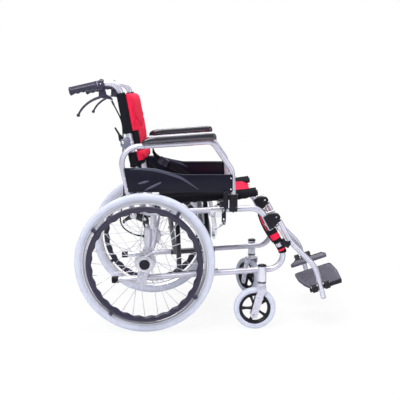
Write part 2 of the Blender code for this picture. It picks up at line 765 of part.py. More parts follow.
def upper_cane(side, s, parent):
    y = s * FRAME_HALF
    bar = tube(upper_cane_path(y), FRAME_TUBE)
    pin = FOLD_PIN_PLACE
    base = FOLD_HEIGHT + 0.003
    outline = rounded([(cane(base) + 0.002, base + 0.001), (cane(base + 0.026), base + 0.026),
                       (pin[0] + 0.002, pin[1] + 0.013), (pin[0] - 0.0070, pin[1] + 0.004),
                       (pin[0] - 0.0060, pin[1] - 0.005), (pin[0] + 0.002, pin[1] - 0.0065)], 0.002)
    knuckle = plate(outline, s * (FRAME_HALF + 0.0060), s * (FRAME_HALF - 0.0060))
    bore = rod((pin[0], s * (FRAME_HALF - 0.02), pin[1]), (pin[0], s * (FRAME_HALF + 0.02), pin[1]),
               FOLD_PIN + 2 * RUN)
    bar = cut(join(bar, knuckle), bore)
    return finish(bar, f"upper_cane_{side}", "silver_paint", parent)


def fold_release_lever(side, s, parent):
    """Small lever beside the fold's knuckle, hung on the same pin."""
    pin = FOLD_PIN_PLACE
    near, far = FRAME_HALF + 0.0060 + FIT, FRAME_HALF + FRAME_TUBE / 2 - FIT
    hub = rod((pin[0], s * near, pin[1]), (pin[0], s * far, pin[1]), 0.015)
    y = s * (near + far) / 2
    arm = tube([Vector((pin[0], y, pin[1])), Vector((pin[0] - 0.0115, y, pin[1] + 0.020)),
                Vector((pin[0] - 0.029, y, pin[1] + 0.054))], far - near - FIT, 6)
    hub = join(hub, arm)
    hub = cut(hub, rod((pin[0], s * (near - 0.003), pin[1]), (pin[0], s * (far + 0.003), pin[1]),
                       FOLD_PIN + 2 * RUN))
    return finish(hub, f"fold_release_lever_{side}", "black_plastic", parent)


def handle_grip(side, s, parent):
    """Push grip with finger waves underneath and a flange at each end."""
    count, rounds = 17, 8
    slope = Vector((math.cos(HANDLE_SLOPE), 0.0, math.sin(HANDLE_SLOPE)))
    up = Vector((-math.sin(HANDLE_SLOPE), 0.0, math.cos(HANDLE_SLOPE)))
    x, z = handle_point(GRIP_END)
    start = Vector((x, s * FRAME_HALF, z))
    rings = []
    for i in range(count):
        share = i / (count - 1)
        along = GRIP_LENGTH * share / slope.x
        swell = 1.0 + 0.07 * math.exp(-((share - 0.98) / 0.05) ** 2) + 0.06 * math.exp(-(share / 0.05) ** 2)
        if i == 0:
            swell = 0.86
        notch = 0.0028 * (1 - math.cos(2 * math.pi * 4 * min(1.0, max(0.0, (share - 0.08) / 0.80)))) / 2
        ring = []
        for k in range(rounds):
            turn = 2 * math.pi * k / rounds
            below = max(0.0, -math.sin(turn)) ** 1.5
            radius = GRIP_DIAMETER / 2 * swell - notch * below
            side_step = Vector((0.0, 1.0, 0.0)) * (radius * math.cos(turn))
            ring.append(start + slope * along + side_step + up * (radius * math.sin(turn)))
        rings.append(ring)
    grip = loft(rings)
    path = lengthened(upper_cane_path(s * FRAME_HALF), 0.0, FIT)
    grip = cut(grip, tube(path, FRAME_TUBE + 2 * FIT))
    return finish(grip, f"handle_grip_{side}", "violet_plastic", parent, 50.0)


def brake_clamp(side, s, parent):
    """Clamp round the handle with the body that carries the hand lever and the cable."""
    y = s * FRAME_HALF
    low, high = handle_point(CLAMP_X - CLAMP_WIDTH / 2 + 0.0005), handle_point(CLAMP_X + CLAMP_WIDTH / 2)
    ring = rod((low[0], y, low[1]), (high[0], y, high[1]), FRAME_TUBE + 0.009, 12)
    pivot = HAND_LEVER_PIVOT
    outline = rounded([(low[0] + 0.004, low[1]), (low[0] + 0.002, pivot[1] + 0.004), (pivot[0] - 0.011, pivot[1] - 0.007),
                       (pivot[0] + 0.004, pivot[1] - 0.009), (pivot[0] + 0.030, pivot[1] - 0.013),
                       (pivot[0] + 0.032, pivot[1] - 0.004), (pivot[0] + 0.014, pivot[1] + 0.006),
                       (high[0] - 0.004, high[1])], 0.003)
    body = plate(outline, s * (FRAME_HALF + 0.0075), s * (FRAME_HALF - 0.0075))
    body = join(ring, body)
    bolt_x, bolt_z = handle_point(CLAMP_X)
    body = join(body, rod((bolt_x, y, bolt_z), (bolt_x, y, bolt_z + 0.0185), 0.012, 8))
    slot = plate(rounded([(pivot[0] - 0.030, pivot[1] - 0.030), (pivot[0] - 0.030, pivot[1] + 0.011),
                          (pivot[0] + 0.008, pivot[1] + 0.011), (pivot[0] + 0.008, pivot[1] - 0.030)], 0.003),
                 s * (FRAME_HALF + 0.0032), s * (FRAME_HALF - 0.0032))
    body = cut(body, slot, tube(upper_cane_path(y), FRAME_TUBE + 2 * FIT))
    body = join(body, rod((pivot[0], s * (FRAME_HALF - 0.006), pivot[1]), (pivot[0], s * (FRAME_HALF + 0.006), pivot[1]),
                          LEVER_PIN, 8))
    return finish(body, f"brake_clamp_{side}", "violet_plastic", parent)


def brake_lever(side, s, parent):
    """Curved hand lever that ends in a ball."""
    y = s * FRAME_HALF
    pivot = HAND_LEVER_PIVOT
    bends = [(pivot[0], pivot[1]), (pivot[0] - 0.014, pivot[1] - 0.0065), (pivot[0] - 0.032, pivot[1] - 0.0135),
             (pivot[0] - 0.052, pivot[1] - 0.0255), (pivot[0] - 0.070, pivot[1] - 0.0415),
             (pivot[0] - 0.082, pivot[1] - 0.0580), (pivot[0] - 0.0875, pivot[1] - 0.0690)]
    lever = join(tube(at_side(bends[:3], y), LEVER_ROOT, 6), tube(at_side(bends[2:], y), LEVER_ARM, 6))
    hub = rod((pivot[0], s * (FRAME_HALF - 0.0029), pivot[1]), (pivot[0], s * (FRAME_HALF + 0.0029), pivot[1]),
              0.011)
    ball = turned([(0.0066 * math.sin(math.pi * k / 4), -0.0066 * math.cos(math.pi * k / 4)) for k in range(5)], 8)
    ball.matrix_world = Matrix.Translation((bends[-1][0], y, bends[-1][1]))
    lever = join(lever, hub, ball)
    lever = cut(lever, rod((pivot[0], s * (FRAME_HALF - 0.010), pivot[1]),
                           (pivot[0], s * (FRAME_HALF + 0.010), pivot[1]), LEVER_PIN + 2 * RUN, 8))
    return finish(lever, f"brake_lever_{side}", "violet_plastic", parent, 50.0)


def brake_cable(side, s, parent):
    """Bowden cable from the hand lever, loose behind the cane, to the stop at the rear hub."""
    out, inn = s * FRAME_HALF, s * (FRAME_HALF - 0.0235)
    route = [(-0.1185, out, 0.8375), (-0.1110, s * 0.2260, 0.8215), (-0.0990, s * 0.2160, 0.7960),
             (-0.0880, s * 0.2055, 0.7720), (-0.0815, inn, 0.7500), (-0.0800, inn, 0.7200), (-0.0800, inn, 0.6900),
             (-0.0810, inn, 0.6500), (-0.0815, inn, 0.6000), (-0.0785, s * 0.216, 0.5450),
             (-0.0770, out, 0.4950), (-0.0850, out, 0.4500), (-0.0925, out, 0.4150), (-0.0915, out, 0.3900),
             (-0.0800, out, 0.3700), (-0.0560, s * 0.2270, 0.3535), (-0.0350, s * 0.2240, 0.3445),
             (-0.0195, s * 0.2236, 0.3425)]
    data = bpy.data.curves.new("route", "CURVE")
    data.dimensions = "3D"
    line = data.splines.new("NURBS")
    line.points.add(len(route) - 1)
    for knot, place in zip(line.points, route):
        knot.co = (*place, 1.0)
    line.use_endpoint_u = True
    line.order_u = 4
    line.resolution_u = 1
    guide = bpy.data.objects.new("route", data)
    WORK.objects.link(guide)
    bpy.context.view_layer.update()
    graph = bpy.context.evaluated_depsgraph_get()
    smooth = bpy.data.meshes.new_from_object(guide.evaluated_get(graph))
    points = [vertex.co.copy() for vertex in smooth.vertices]
    bpy.data.objects.remove(guide, do_unlink=True)
    return finish(tube(points, CABLE, 6), f"brake_cable_{side}", "cable_jacket", parent)


# Rear wheel
def wheel_frame(s):
    """Local Z of a turned piece points outboard on its own side."""
    return Matrix.Translation((0.0, s * WHEEL_HALF, AXLE_HEIGHT)) @ Matrix.Rotation(-s * math.pi / 2, 4, "X")


def rear_tyre(side, s, parent):
    half, low = TYRE_WIDTH / 2, WHEEL_RADIUS - TYRE_DEPTH
    right = [(low, half - 0.0066), (low + 0.014, half), (WHEEL_RADIUS, half - 0.0085)]
    profile = right + [(radius, -z) for radius, z in reversed(right)]
    tyre = turned(profile, WHEEL_SEGMENTS, closed=True)
    tyre.matrix_world = wheel_frame(s)
    return finish(tyre, f"rear_tyre_{side}", "pale_rubber", parent, 60.0)


def rear_wheel(side, s, parent):
    """Spoked wheel: alloy rim, laced spokes, and hub with brake drum and dust cap."""
    bed = WHEEL_RADIUS - TYRE_DEPTH - FIT
    half = RIM_WIDTH / 2
    right = [(bed, half - 0.0034), (bed + 0.0030, half), (bed - RIM_DEPTH, 0.0042)]
    rim = turned(right + [(radius, -z) for radius, z in reversed(right)], WHEEL_SEGMENTS, closed=True)
    flange = HUB_FLANGE / 2
    near, far = FLANGE_OUT - FLANGE / 2, FLANGE_OUT + FLANGE / 2
    bore, bottom = AXLE / 2 + RUN, AXLE_OUT + RUN
    hub = turned([(bore, -HUB_HALF), (DRUM_DIAMETER / 2, -HUB_HALF), (DRUM_DIAMETER / 2, -far), (flange, -far),
                  (flange, -near), (HUB_BARREL / 2, -near), (HUB_BARREL / 2, near), (flange, near), (flange, far),
                  (HUB_CAP / 2, far + 0.001), (HUB_CAP / 2, HUB_HALF - 0.001), (0.0, HUB_HALF), (0.0, bottom),
                  (bore, bottom)], HUB_SEGMENTS, closed=True)
    spokes = []
    for i in range(SPOKES):
        rim_turn = 2 * math.pi * i / SPOKES
        outboard = 1 if i % 2 else -1
        leading = 1 if (i // 2) % 2 else -1
        hub_turn = rim_turn + leading * SPOKE_LEAN
        hub_side = outboard * (FLANGE_OUT + leading * (FLANGE / 2 + SPOKE / 2 - 0.0006))
        root = flange - 0.0032
        inner = Vector((root * math.cos(hub_turn), root * math.sin(hub_turn), hub_side))
        reach = bed - RIM_DEPTH + 0.002
        outer = Vector((reach * math.cos(rim_turn), reach * math.sin(rim_turn), 0.0))
        spokes.append(rod(inner, outer, SPOKE, 4))
    wheel = join(rim, together(spokes))
    wheel = join(wheel, hub)
    wheel.matrix_world = wheel_frame(s)
    return finish(wheel, f"rear_wheel_{side}", "polished_rim", parent)


def pushrim(side, s, parent):
    """Hand ring with finger waves on its inner edge, on four tabs that reach the rim's face."""
    outer = PUSHRIM_DIAMETER / 2
    half = PUSHRIM_WIDTH / 2
    steps = PUSHRIM_WAVES * 2
    rings = []
    for i in range(steps + 1):
        turn = 2 * math.pi * i / steps
        wave = 0.0022 * math.cos(PUSHRIM_WAVES * turn)
        inner = outer - PUSHRIM_DEPTH + wave
        crest = inner + PUSHRIM_DEPTH * 0.45
        profile = [(outer, half * 0.6), (crest, half), (inner, 0.0), (crest, -half), (outer, -half * 0.6)]
        rings.append([Vector((r * math.cos(turn), r * math.sin(turn), PUSHRIM_OUT + z)) for r, z in profile])
    rings[-1] = rings[0]
    ring = settled(loft(rings, closed_ends=False))
    face = RIM_WIDTH / 2 + FIT
    root = WHEEL_RADIUS - TYRE_DEPTH - FIT + 0.0016
    for clip in PUSHRIM_CLIPS:
        turn = math.radians(clip)
        radial = Vector((math.cos(turn), math.sin(turn), 0.0))
        across = Vector((-math.sin(turn), math.cos(turn), 0.0))
        sections = []
        for z, low, high, wide in ((face, root - 0.012, root, 0.0070), (0.020, outer - 0.009, root, 0.0065),
                                   (PUSHRIM_OUT + 0.002, outer - 0.012, outer + 0.0015, 0.0055)):
            sections.append([radial * r + across * w + Vector((0.0, 0.0, z))
                             for r, w in ((low, -wide), (high, -wide), (high, wide), (low, wide))])
        ring = join(ring, loft(sections))
    ring.matrix_world = wheel_frame(s)
    return finish(ring, f"pushrim_{side}", "violet_plastic", parent, 50.0)


# Caster
def caster_axle(s):
    return (CASTER_X - CASTER_TRAIL, s * CASTER_HALF, CASTER_RADIUS)


def caster_fork(side, s, parent):
    """Stem, crown and two raked legs with the wheel's axle bolt."""
    y = s * CASTER_HALF
    inner = CASTER_TYRE_WIDTH / 2 + 0.0045
    crown = rod((CASTER_X, y, CASTER_DIAMETER + 0.003), (CASTER_X, y, HOUSING_FOOT - FIT), CROWN, 14)
    stem = rod((CASTER_X, y, CASTER_DIAMETER + 0.004), (CASTER_X, y, HOUSING_TOP - 0.010), STEM)
    bridge_y = 2 * (inner + FORK_PLATE) - 0.0020
    bridge = block((CASTER_X - 0.002, y, CASTER_DIAMETER + 0.0055), (0.034, bridge_y, 0.007))
    fork = join(crown, stem, bridge)
    x = CASTER_X
    outline = rounded([(x - 0.0175, CASTER_DIAMETER + 0.008), (x - 0.0175, CASTER_DIAMETER - 0.014),
                       (x - 0.022, CASTER_DIAMETER - 0.022), (x - 0.043, 0.052), (x - 0.037, 0.0425),
                       (x - 0.021, 0.0425), (x - 0.0165, 0.052), (x + 0.007, CASTER_DIAMETER - 0.022),
                       (x + 0.0155, CASTER_DIAMETER - 0.012), (x + 0.0155, CASTER_DIAMETER + 0.008)],
                      [0.004, 0.0, 0.0, 0.006, 0.006, 0.006, 0.006, 0.0, 0.0, 0.004])
    spare_hole = (x - CASTER_TRAIL - 0.0055, CASTER_RADIUS - 0.022, 0.0032, 8)
    for out in (1, -1):
        leg = plate(outline, y + out * inner, y + out * (inner + FORK_PLATE), [spare_hole])
        fork = join(fork, leg)
    ax, _, az = caster_axle(s)
    reach = inner + FORK_PLATE + 0.0045
    fork = join(fork, rod((ax, y - reach + 0.002, az), (ax, y + reach - 0.002, az), CASTER_AXLE))
    for out in (1, -1):
        nut = rod((ax, y + out * (inner + FORK_PLATE - 0.001), az), (ax, y + out * reach, az), 0.013, 6)
        fork = join(fork, nut)
    return finish(fork, f"caster_fork_{side}", "silver_paint", parent)


def caster_frame(s):
    return Matrix.Translation(caster_axle(s)) @ Matrix.Rotation(-s * math.pi / 2, 4, "X")


def caster_tyre(side, s, parent):
    half, low = CASTER_TYRE_WIDTH / 2, CASTER_RADIUS - CASTER_TYRE_DEPTH
    right = [(low, half - 0.005), (CASTER_RADIUS - 0.007, half), (CASTER_RADIUS, half - 0.007)]
    tyre = turned(right + [(radius, -z) for radius, z in reversed(right)], CASTER_SEGMENTS, closed=True)
    tyre.matrix_world = caster_frame(s)
    return finish(tyre, f"caster_tyre_{side}", "pale_rubber", parent, 60.0)


def caster_wheel(side, s, parent):
    """Moulded five-spoke wheel."""
    outer = CASTER_RADIUS - CASTER_TYRE_DEPTH - FIT
    inner = outer - CASTER_RIM_DEPTH
    right = [(outer, 0.0095), (inner, 0.0065)]
    rim = turned(right + [(radius, -z) for radius, z in reversed(right)], CASTER_SEGMENTS, closed=True)
    hub_half = CASTER_TYRE_WIDTH / 2 + 0.0035
    hub = rod((0.0, 0.0, -hub_half), (0.0, 0.0, hub_half), CASTER_HUB, 12)
    spokes = []
    for i in range(CASTER_SPOKES):
        turn = math.pi + 2 * math.pi * i / CASTER_SPOKES
        radial = Vector((math.cos(turn), math.sin(turn), 0.0))
        across = Vector((-math.sin(turn), math.cos(turn), 0.0))
        sections = []
        for r, wide, thick in ((0.0075, 0.0052, 0.008), (inner + 0.003, 0.0042, 0.0045)):
            sections.append([radial * r + across * w + Vector((0.0, 0.0, z))
                             for w, z in ((-wide, -thick), (wide, -thick), (wide, thick), (-wide, thick))])
        spokes.append(loft(sections))
    wheel = hub
    for spoke in spokes:
        wheel = join(wheel, spoke)
    wheel = join(wheel, rim)
    wheel = cut(wheel, rod((0.0, 0.0, -0.05), (0.0, 0.0, 0.05), CASTER_AXLE + 2 * RUN))
    wheel.matrix_world = caster_frame(s)
    return finish(wheel, f"caster_wheel_{side}", "black_plastic", parent)


# Armrest
def armrest_path(y):
    rear = ARM_REAR_CORNER
    front_x = ARM_FRONT_CORNER
    top_front = (front_x, rear[1] + math.tan(ARM_TOP_SLOPE) * (front_x - rear[0]))
    knee = (front_x + math.tan(ARM_SLANT) * (top_front[1] - ARM_KNEE_HEIGHT), ARM_KNEE_HEIGHT)
    foot = (knee[0] - math.tan(ARM_FRONT_LEAN) * (knee[1] - ARM_FOOT_HEIGHT), ARM_FOOT_HEIGHT)
    return bent(at_side([ARM_PIVOT, rear, top_front, knee, foot], y), ARM_BENDS)


def arm_top(x):
    """Height of the armrest tube's axis along its level stretch."""
    return ARM_REAR_CORNER[1] + math.tan(ARM_TOP_SLOPE) * (x - ARM_REAR_CORNER[0])


def button_place():
    """Side-view point of the release button on the armrest's front tube."""
    path = armrest_path(0.0)
    foot, above = path[-1], path[-2]
    return foot + (above - foot) * 0.97


def armrest_frame(side, s, parent):
    y = s * ARM_HALF
    arm = tube(armrest_path(y), ARM_TUBE, THIN_SIDES)
    reach = ARM_TUBE / 2 - 0.0003
    eye = rod((ARM_PIVOT[0], s * (ARM_HALF - reach), ARM_PIVOT[1]),
              (ARM_PIVOT[0], s * (ARM_HALF + reach), ARM_PIVOT[1]), 0.024, 12)
    arm = join(arm, eye)
    bolt = rod((ARM_PIVOT[0], s * (ARM_HALF - 0.02), ARM_PIVOT[1]), (ARM_PIVOT[0], s * (ARM_HALF + 0.02), ARM_PIVOT[1]),
               ARM_PIVOT_BOLT + 2 * RUN)
    place = button_place()
    well = rod((place.x + 0.0035, y, place.z), (place.x + 0.02, y, place.z), BUTTON + 2 * FIT, THIN_SIDES)
    arm = cut(arm, bolt, well)
    return finish(arm, f"armrest_frame_{side}", "silver_paint", parent)


def armrest_button(side, s, parent):
    place = button_place()
    reach = ARM_TUBE / 2 + 0.0035
    button = rod((place.x + 0.0062, s * ARM_HALF, place.z), (place.x + reach, s * ARM_HALF, place.z), BUTTON, THIN_SIDES)
    return finish(button, f"armrest_button_{side}", "bright_steel", parent)


def armrest_pad(side, s, parent):
    """Long moulded pad with a crowned top and rounded ends, bored for the tube beneath."""
    inner = ARM_HALF - ARM_TUBE / 2
    middle = inner + PAD_WIDTH / 2
    stations = [0.0, 0.03, 0.10, 0.22, 0.55, 0.86, 0.93, 0.97, 1.0]
    rings = []
    for share in stations:
        x = PAD_FROM + PAD_LENGTH * share
        rear = min(1.0, share / 0.20)
        nose = min(1.0, (1.0 - share) / 0.14)
        fade = math.sqrt(max(0.0, 1 - (1 - rear) ** 2)) * nose ** 0.9
        height = PAD_THICKNESS * (0.34 + 0.66 * fade)
        width = PAD_WIDTH * (0.62 + 0.38 * math.sqrt(max(0.0, 1 - (1 - min(1.0, share / 0.07)) ** 2))
                             * math.sqrt(max(0.0, 1 - (1 - min(1.0, (1 - share) / 0.07)) ** 2)))
        base = arm_top(x) + ARM_TUBE / 2 - 0.004
        ring = []
        for across, up in ((-0.50, 0.10), (-0.50, 0.60), (-0.40, 0.88), (-0.16, 1.0), (0.16, 1.0), (0.40, 0.88),
                           (0.50, 0.60), (0.50, 0.10), (0.42, 0.0), (-0.42, 0.0)):
            ring.append(Vector((x, s * (middle + width * across), base + height * up)))
        rings.append(ring)
    pad = loft(rings)
    pad = cut(pad, tube(armrest_path(s * ARM_HALF), ARM_TUBE + 2 * FIT, THIN_SIDES))
    return finish(pad, f"armrest_pad_{side}", "arm_pad", parent, 50.0)


def arm_front_x(z):
    """X of the armrest's front tube at a height."""
    path = armrest_path(0.0)
    foot, above = path[-1], path[-2]
    return foot.x + (above.x - foot.x) * (z - foot.z) / (above.z - foot.z)


def arm_rear_x(z):
    run = ARM_REAR_CORNER[0] - ARM_PIVOT[0]
    rise = ARM_REAR_CORNER[1] - ARM_PIVOT[1]
    return ARM_PIVOT[0] + run * (z - ARM_PIVOT[1]) / rise


def skirt_guard(side, s, parent):
    """Moulded side panel: dished skin, rolled edges, a long swept ridge and two short ribs."""
    face = GUARD_FACE
    low, high = 0.5085, 0.5965
    rear_low, rear_high = arm_rear_x(low) + 0.002, arm_rear_x(high) + 0.006
    front = arm_front_x(0.54) - 0.001
    step = (0.112, 0.5730)
    outline = rounded([(rear_low, low), (front, low), (front, step[1]), (step[0] + 0.020, step[1]),
                       (0.055, 0.588), (-0.010, high), (rear_high, high)],
                      [0.004, 0.004, 0.004, 0.030, 0.030, 0.020, 0.004], OUTLINE_STEP)
    guard = plate(outline, s * face, s * (face - GUARD))
    lip = ARM_HALF + ARM_TUBE / 2 + FIT - 0.0085
    inset = ARM_TUBE / 2 + 0.002
    clear_rear = [(x, z) for x, z in ((arm_rear_x(low) + inset, low + 0.002), (front - 0.0135, low + 0.002),
                                      (front - 0.0135, low + 0.0055), (arm_rear_x(low) + inset, low + 0.0055))]
    guard = join(guard, plate(clear_rear, s * (face - 0.001), s * lip))
    top = [(step[0] + 0.026, step[1] - 0.0055), (front - 0.0135, step[1] - 0.0055),
           (front - 0.0135, step[1] - 0.002), (step[0] + 0.026, step[1] - 0.002)]
    guard = join(guard, plate(top, s * (face - 0.001), s * lip))
    ridge_line = [(-0.046, 0.5905), (-0.015, 0.5905), (0.030, 0.5870), (0.072, 0.5790), (0.1175, 0.5620),
                  (0.1620, 0.5350), (0.1920, 0.5185)]
    upper = [(x, z + 0.0042) for x, z in ridge_line]
    lower = [(x, z - 0.0042) for x, z in reversed(ridge_line)]
    ridge = plate(upper + lower, s * (face + 0.0016), s * (face - 0.001))
    guard = join(guard, ridge)
    for (x0, z0), (x1, z1) in (((0.000, 0.5145), (0.055, 0.5455)), ((-0.022, 0.5375), (0.012, 0.5480))):
        wide = Vector((-(z1 - z0), x1 - x0)).normalized() * 0.0034
        corners = [(x0 - wide.x, z0 - wide.y), (x1 - wide.x, z1 - wide.y), (x1 + wide.x, z1 + wide.y),
                   (x0 + wide.x, z0 + wide.y)]
        guard = join(guard, plate(rounded(corners, 0.0025), s * (face + 0.0016), s * (face - 0.001)))
    return finish(guard, f"skirt_guard_{side}", "guard_plastic", parent)


def armrest_pivot_plate(side, s, parent):
    """Steel plate bolted to the cane, with the armrest's pivot bolt and the stop for its open place."""
    inner = FRAME_HALF + UPRIGHT_TUBE / 2 + FIT
    outer = inner + PIVOT_PLATE
    px, pz = ARM_PIVOT
    outline = [(px - 0.011, pz + 0.006), (px - 0.005, pz + 0.011), (px + 0.008, pz + 0.011), (0.008, 0.418),
               (0.014, 0.400), (0.010, 0.376), (-0.004, 0.376), (-0.012, 0.396), (px + 0.002, pz - 0.014),
               (px - 0.020, pz - 0.020), (px - 0.037, pz - 0.032), (px - 0.042, pz - 0.022),
               (px - 0.020, pz - 0.004)]
    made = plate(outline, s * outer, s * inner)
    bolt_end = ARM_HALF + ARM_TUBE / 2 + 0.0012
    made = join(made, rod((px, s * (outer - 0.001), pz), (px, s * (bolt_end + 0.0005), pz), ARM_PIVOT_BOLT))
    made = join(made, rod((px, s * (outer - 0.001), pz), (px, s * (outer + WASHER - FIT), pz), 0.016))
    made = join(made, rod((px, s * bolt_end, pz), (px, s * (bolt_end + 0.0035), pz), 0.015, 6))
    prong = (px - 0.0345, pz - 0.0255)
    made = join(made, rod((prong[0], s * (outer - 0.001), prong[1]), (prong[0], s * (ARM_HALF + 0.006), prong[1]), 0.008, 6))
    for x, z in ((-0.0015, 0.4070), (0.0045, 0.3840)):
        made = join(made, rod((x, s * (outer - 0.001), z), (x, s * (outer + 0.003), z), 0.0085, 6))
    return finish(made, f"armrest_pivot_plate_{side}", "black_paint", parent)


def armrest_socket(side, s, parent):
    """Receiver clamped to the upper rail, open at the top for the armrest's front tube."""
    x = arm_front_x(ARM_FOOT_HEIGHT + 0.02)
    base, top = 0.4370, ARM_FOOT_HEIGHT + SOCKET_DEPTH
    half = ARM_TUBE / 2 + FIT
    outer = ARM_HALF + half + SOCKET_WALL
    inner = FRAME_HALF + FRAME_TUBE / 2 + FIT
    outline = rounded([(x - half - SOCKET_WALL - 0.003, top - 0.003), (x - half - SOCKET_WALL, base),
                       (x + half + SOCKET_WALL, base), (x + half + SOCKET_WALL, top - 0.008),
                       (x + half + SOCKET_WALL + 0.003, top)], 0.0025)
    shell = plate(outline, s * outer, s * (ARM_HALF - half - 0.0016))
    saddle_top = upper_rail(x) + FRAME_TUBE / 2 + 0.006
    clamp = block((x, s * (inner + outer) / 2 - s * 0.013, (saddle_top + base) / 2),
                  (0.022, outer - inner + 0.006, saddle_top - base), None, 0.0015, 1)
    shell = join(shell, clamp)
    path = lengthened(armrest_path(s * ARM_HALF), 0.0, 0.0015)
    behind = [point - Vector((SOCKET_SLACK, 0.0, 0.0)) for point in path]
    shell = cut(shell, tube(path, ARM_TUBE + 2 * FIT, THIN_SIDES), tube(behind, ARM_TUBE + 2 * FIT, THIN_SIDES))
    shell = cut(shell, tube(frame_loop(s * FRAME_HALF), FRAME_TUBE + 2 * FIT))
    shell = join(shell, rod((x, s * (ARM_HALF - 0.004), base - 0.0045), (x, s * (ARM_HALF - 0.004), base + 0.003), 0.007, 8))
    return finish(shell, f"armrest_socket_{side}", "black_plastic", parent)


# Parking brake
def brake_layer():
    """Distance of the moving brake plates from the middle, inner and outer faces."""
    inner = FRAME_HALF + FRAME_TUBE / 2 + 0.0030 + FIT
    return inner, inner + BRAKE_PLATE


def parking_brake_shoe(side, s, parent):
    """Arm that hangs beside the tyre and ends in a ribbed round bar pressed on the tread."""
    inner, outer = brake_layer()
    px, pz = BRAKE_SHOE_PIVOT
    lx, lz = BRAKE_LINK_SHOE
    outline = rounded([(px - 0.009, pz + 0.008), (px - 0.009, pz - 0.010), (px - 0.0035, 0.385), (px - 0.0045, 0.345),
                       (px + 0.006, 0.3385), (px + 0.0125, 0.345), (lx + 0.0055, lz), (px + 0.009, pz - 0.012),
                       (px + 0.009, pz + 0.008)], 0.004)
    arm = plate(outline, s * outer, s * inner, [(px, pz, BRAKE_RIVET / 2 + RUN, THIN_SIDES)])
    bar_x, bar_z = px + 0.0015, 0.3480
    bar = rod((bar_x, s * (inner + 0.001), bar_z), (bar_x, s * (WHEEL_HALF + TYRE_WIDTH / 2 - 0.003), bar_z), 0.010)
    pin = rod((lx, s * (outer - 0.001), lz), (lx, s * (outer + BRAKE_PLATE + 0.001), lz), BRAKE_RIVET, THIN_SIDES)
    return finish(join(arm, bar, pin), f"parking_brake_shoe_{side}", "bright_steel", parent)


def parking_brake_lever(side, s, parent):
    """Lever plate, outboard crank and hand grip."""
    inner, outer = brake_layer()
    px, pz = BRAKE_LEVER_PIVOT
    lx, lz = BRAKE_LINK_LEVER
    outline = rounded([(px - 0.007, pz + 0.020), (px - 0.007, lz - 0.004), (px, lz - 0.0085), (px + 0.007, lz - 0.004),
                       (px + 0.0085, pz + 0.024), (px + 0.002, pz + 0.029)], 0.004)
    lever = plate(outline, s * outer, s * inner, [(px, pz, BRAKE_RIVET / 2 + RUN, THIN_SIDES)])
    lever = join(lever, rod((lx, s * (outer - 0.001), lz), (lx, s * (outer + BRAKE_PLATE + 0.0015), lz), BRAKE_RIVET, THIN_SIDES))
    out = s * (GUARD_FACE + 0.0065)
    crank = [Vector((px + 0.002, s * (outer - 0.001), pz + 0.020)), Vector((px + 0.002, out, pz + 0.020)),
             Vector((px + 0.006, out, pz + 0.054)), Vector((px + 0.0062, out, pz + 0.106))]
    lever = join(lever, tube(bent(crank, [0.006, 0.020]), 0.007, 6))
    grip_z = pz + 0.0735
    lever = join(lever, block((px + 0.0062, out, grip_z), BRAKE_GRIP, None, 0.003, 1))
    return finish(lever, f"parking_brake_lever_{side}", "black_plastic", parent)


def parking_brake_link(side, s, parent):
    """Strut from the lever's lower end to the shoe arm."""
    _, outer = brake_layer()
    near, far = outer + FIT, outer + FIT + 0.003
    a, b = Vector(BRAKE_LINK_LEVER), Vector(BRAKE_LINK_SHOE)
    across = Vector((-(b - a).y, (b - a).x)).normalized() * 0.0045
    along = (b - a).normalized() * 0.0062
    corners = [tuple(a - along + across), tuple(a - along - across), tuple(b + along - across), tuple(b + along + across)]
    link = plate(rounded(corners, 0.004), s * far, s * near,
                 [(a.x, a.y, BRAKE_RIVET / 2 + RUN, THIN_SIDES), (b.x, b.y, BRAKE_RIVET / 2 + 0.0013, THIN_SIDES)])
    return finish(link, f"parking_brake_link_{side}", "bright_steel", parent)


# Hanger and footplate
def hanger_points():
    top = front(0.004, HANGER_OUT)
    knee = front(HANGER_KNEE, HANGER_OUT)
    low_z = HANGER_FOOT_CORNER_HEIGHT
    low = (knee[0] + math.tan(HANGER_SLANT) * (knee[1] - low_z), low_z)
    foot = (low[0] + math.tan(HANGER_FOOT_LEAN) * (low_z - HANGER_FOOT_HEIGHT), HANGER_FOOT_HEIGHT)
    return top, knee, low, foot


def footplate_pin(side):
    """Side-view point where the footplate's hinge pin crosses the hanger tube."""
    _, _, low, _ = hanger_points()
    z = FOOTPLATE_HEIGHTS[side]
    return (low[0] + math.tan(HANGER_FOOT_LEAN) * (low[1] - z), z)


def toe_direction():
    return Vector((math.cos(PLATE_PITCH), 0.0, math.sin(PLATE_PITCH)))


def hanger_bracket(side, s, parent):
    """Clamp on the front tube with the pierced ear, and the long hinge rod of the hanger."""
    half = FRAME_TUBE / 2 + 0.006
    ear = (-0.0247, 0.0377)
    corners = [(-0.049, -0.006), (-0.051, 0.018), (-0.0445, 0.034)]
    arc = [(ear[0] + 0.0135 * math.cos(turn), ear[1] + 0.0135 * math.sin(turn))
           for turn in [math.radians(150 - 30 * k) for k in range(6)]]
    rest = [(-0.009, 0.034), (-0.001, 0.0244), (0.0036, 0.008), (0.0036, -0.006)]
    outline = [front(along, out) for along, out in corners + arc + rest]
    hole = front(*ear)
    clamp = plate(outline, s * (FRAME_HALF + half), s * (FRAME_HALF - half), [(hole[0], hole[1], 0.0046, 10)])
    clamp = cut(clamp, tube(frame_loop(s * FRAME_HALF), FRAME_TUBE + 2 * FIT))
    top, foot = front(-0.013, ROD_OUT), front(0.091, ROD_OUT)
    clamp = join(clamp, rod((top[0], s * FRAME_HALF, top[1]), (foot[0], s * FRAME_HALF, foot[1]), ROD, THIN_SIDES))
    return finish(clamp, f"hanger_bracket_{side}", "black_plastic", parent)


def release_pivot():
    """Side-view point of the hanger release's pivot, a fit above the bracket's top corner."""
    return front(-0.0513 - RELEASE_HUB / 2, 0.018)


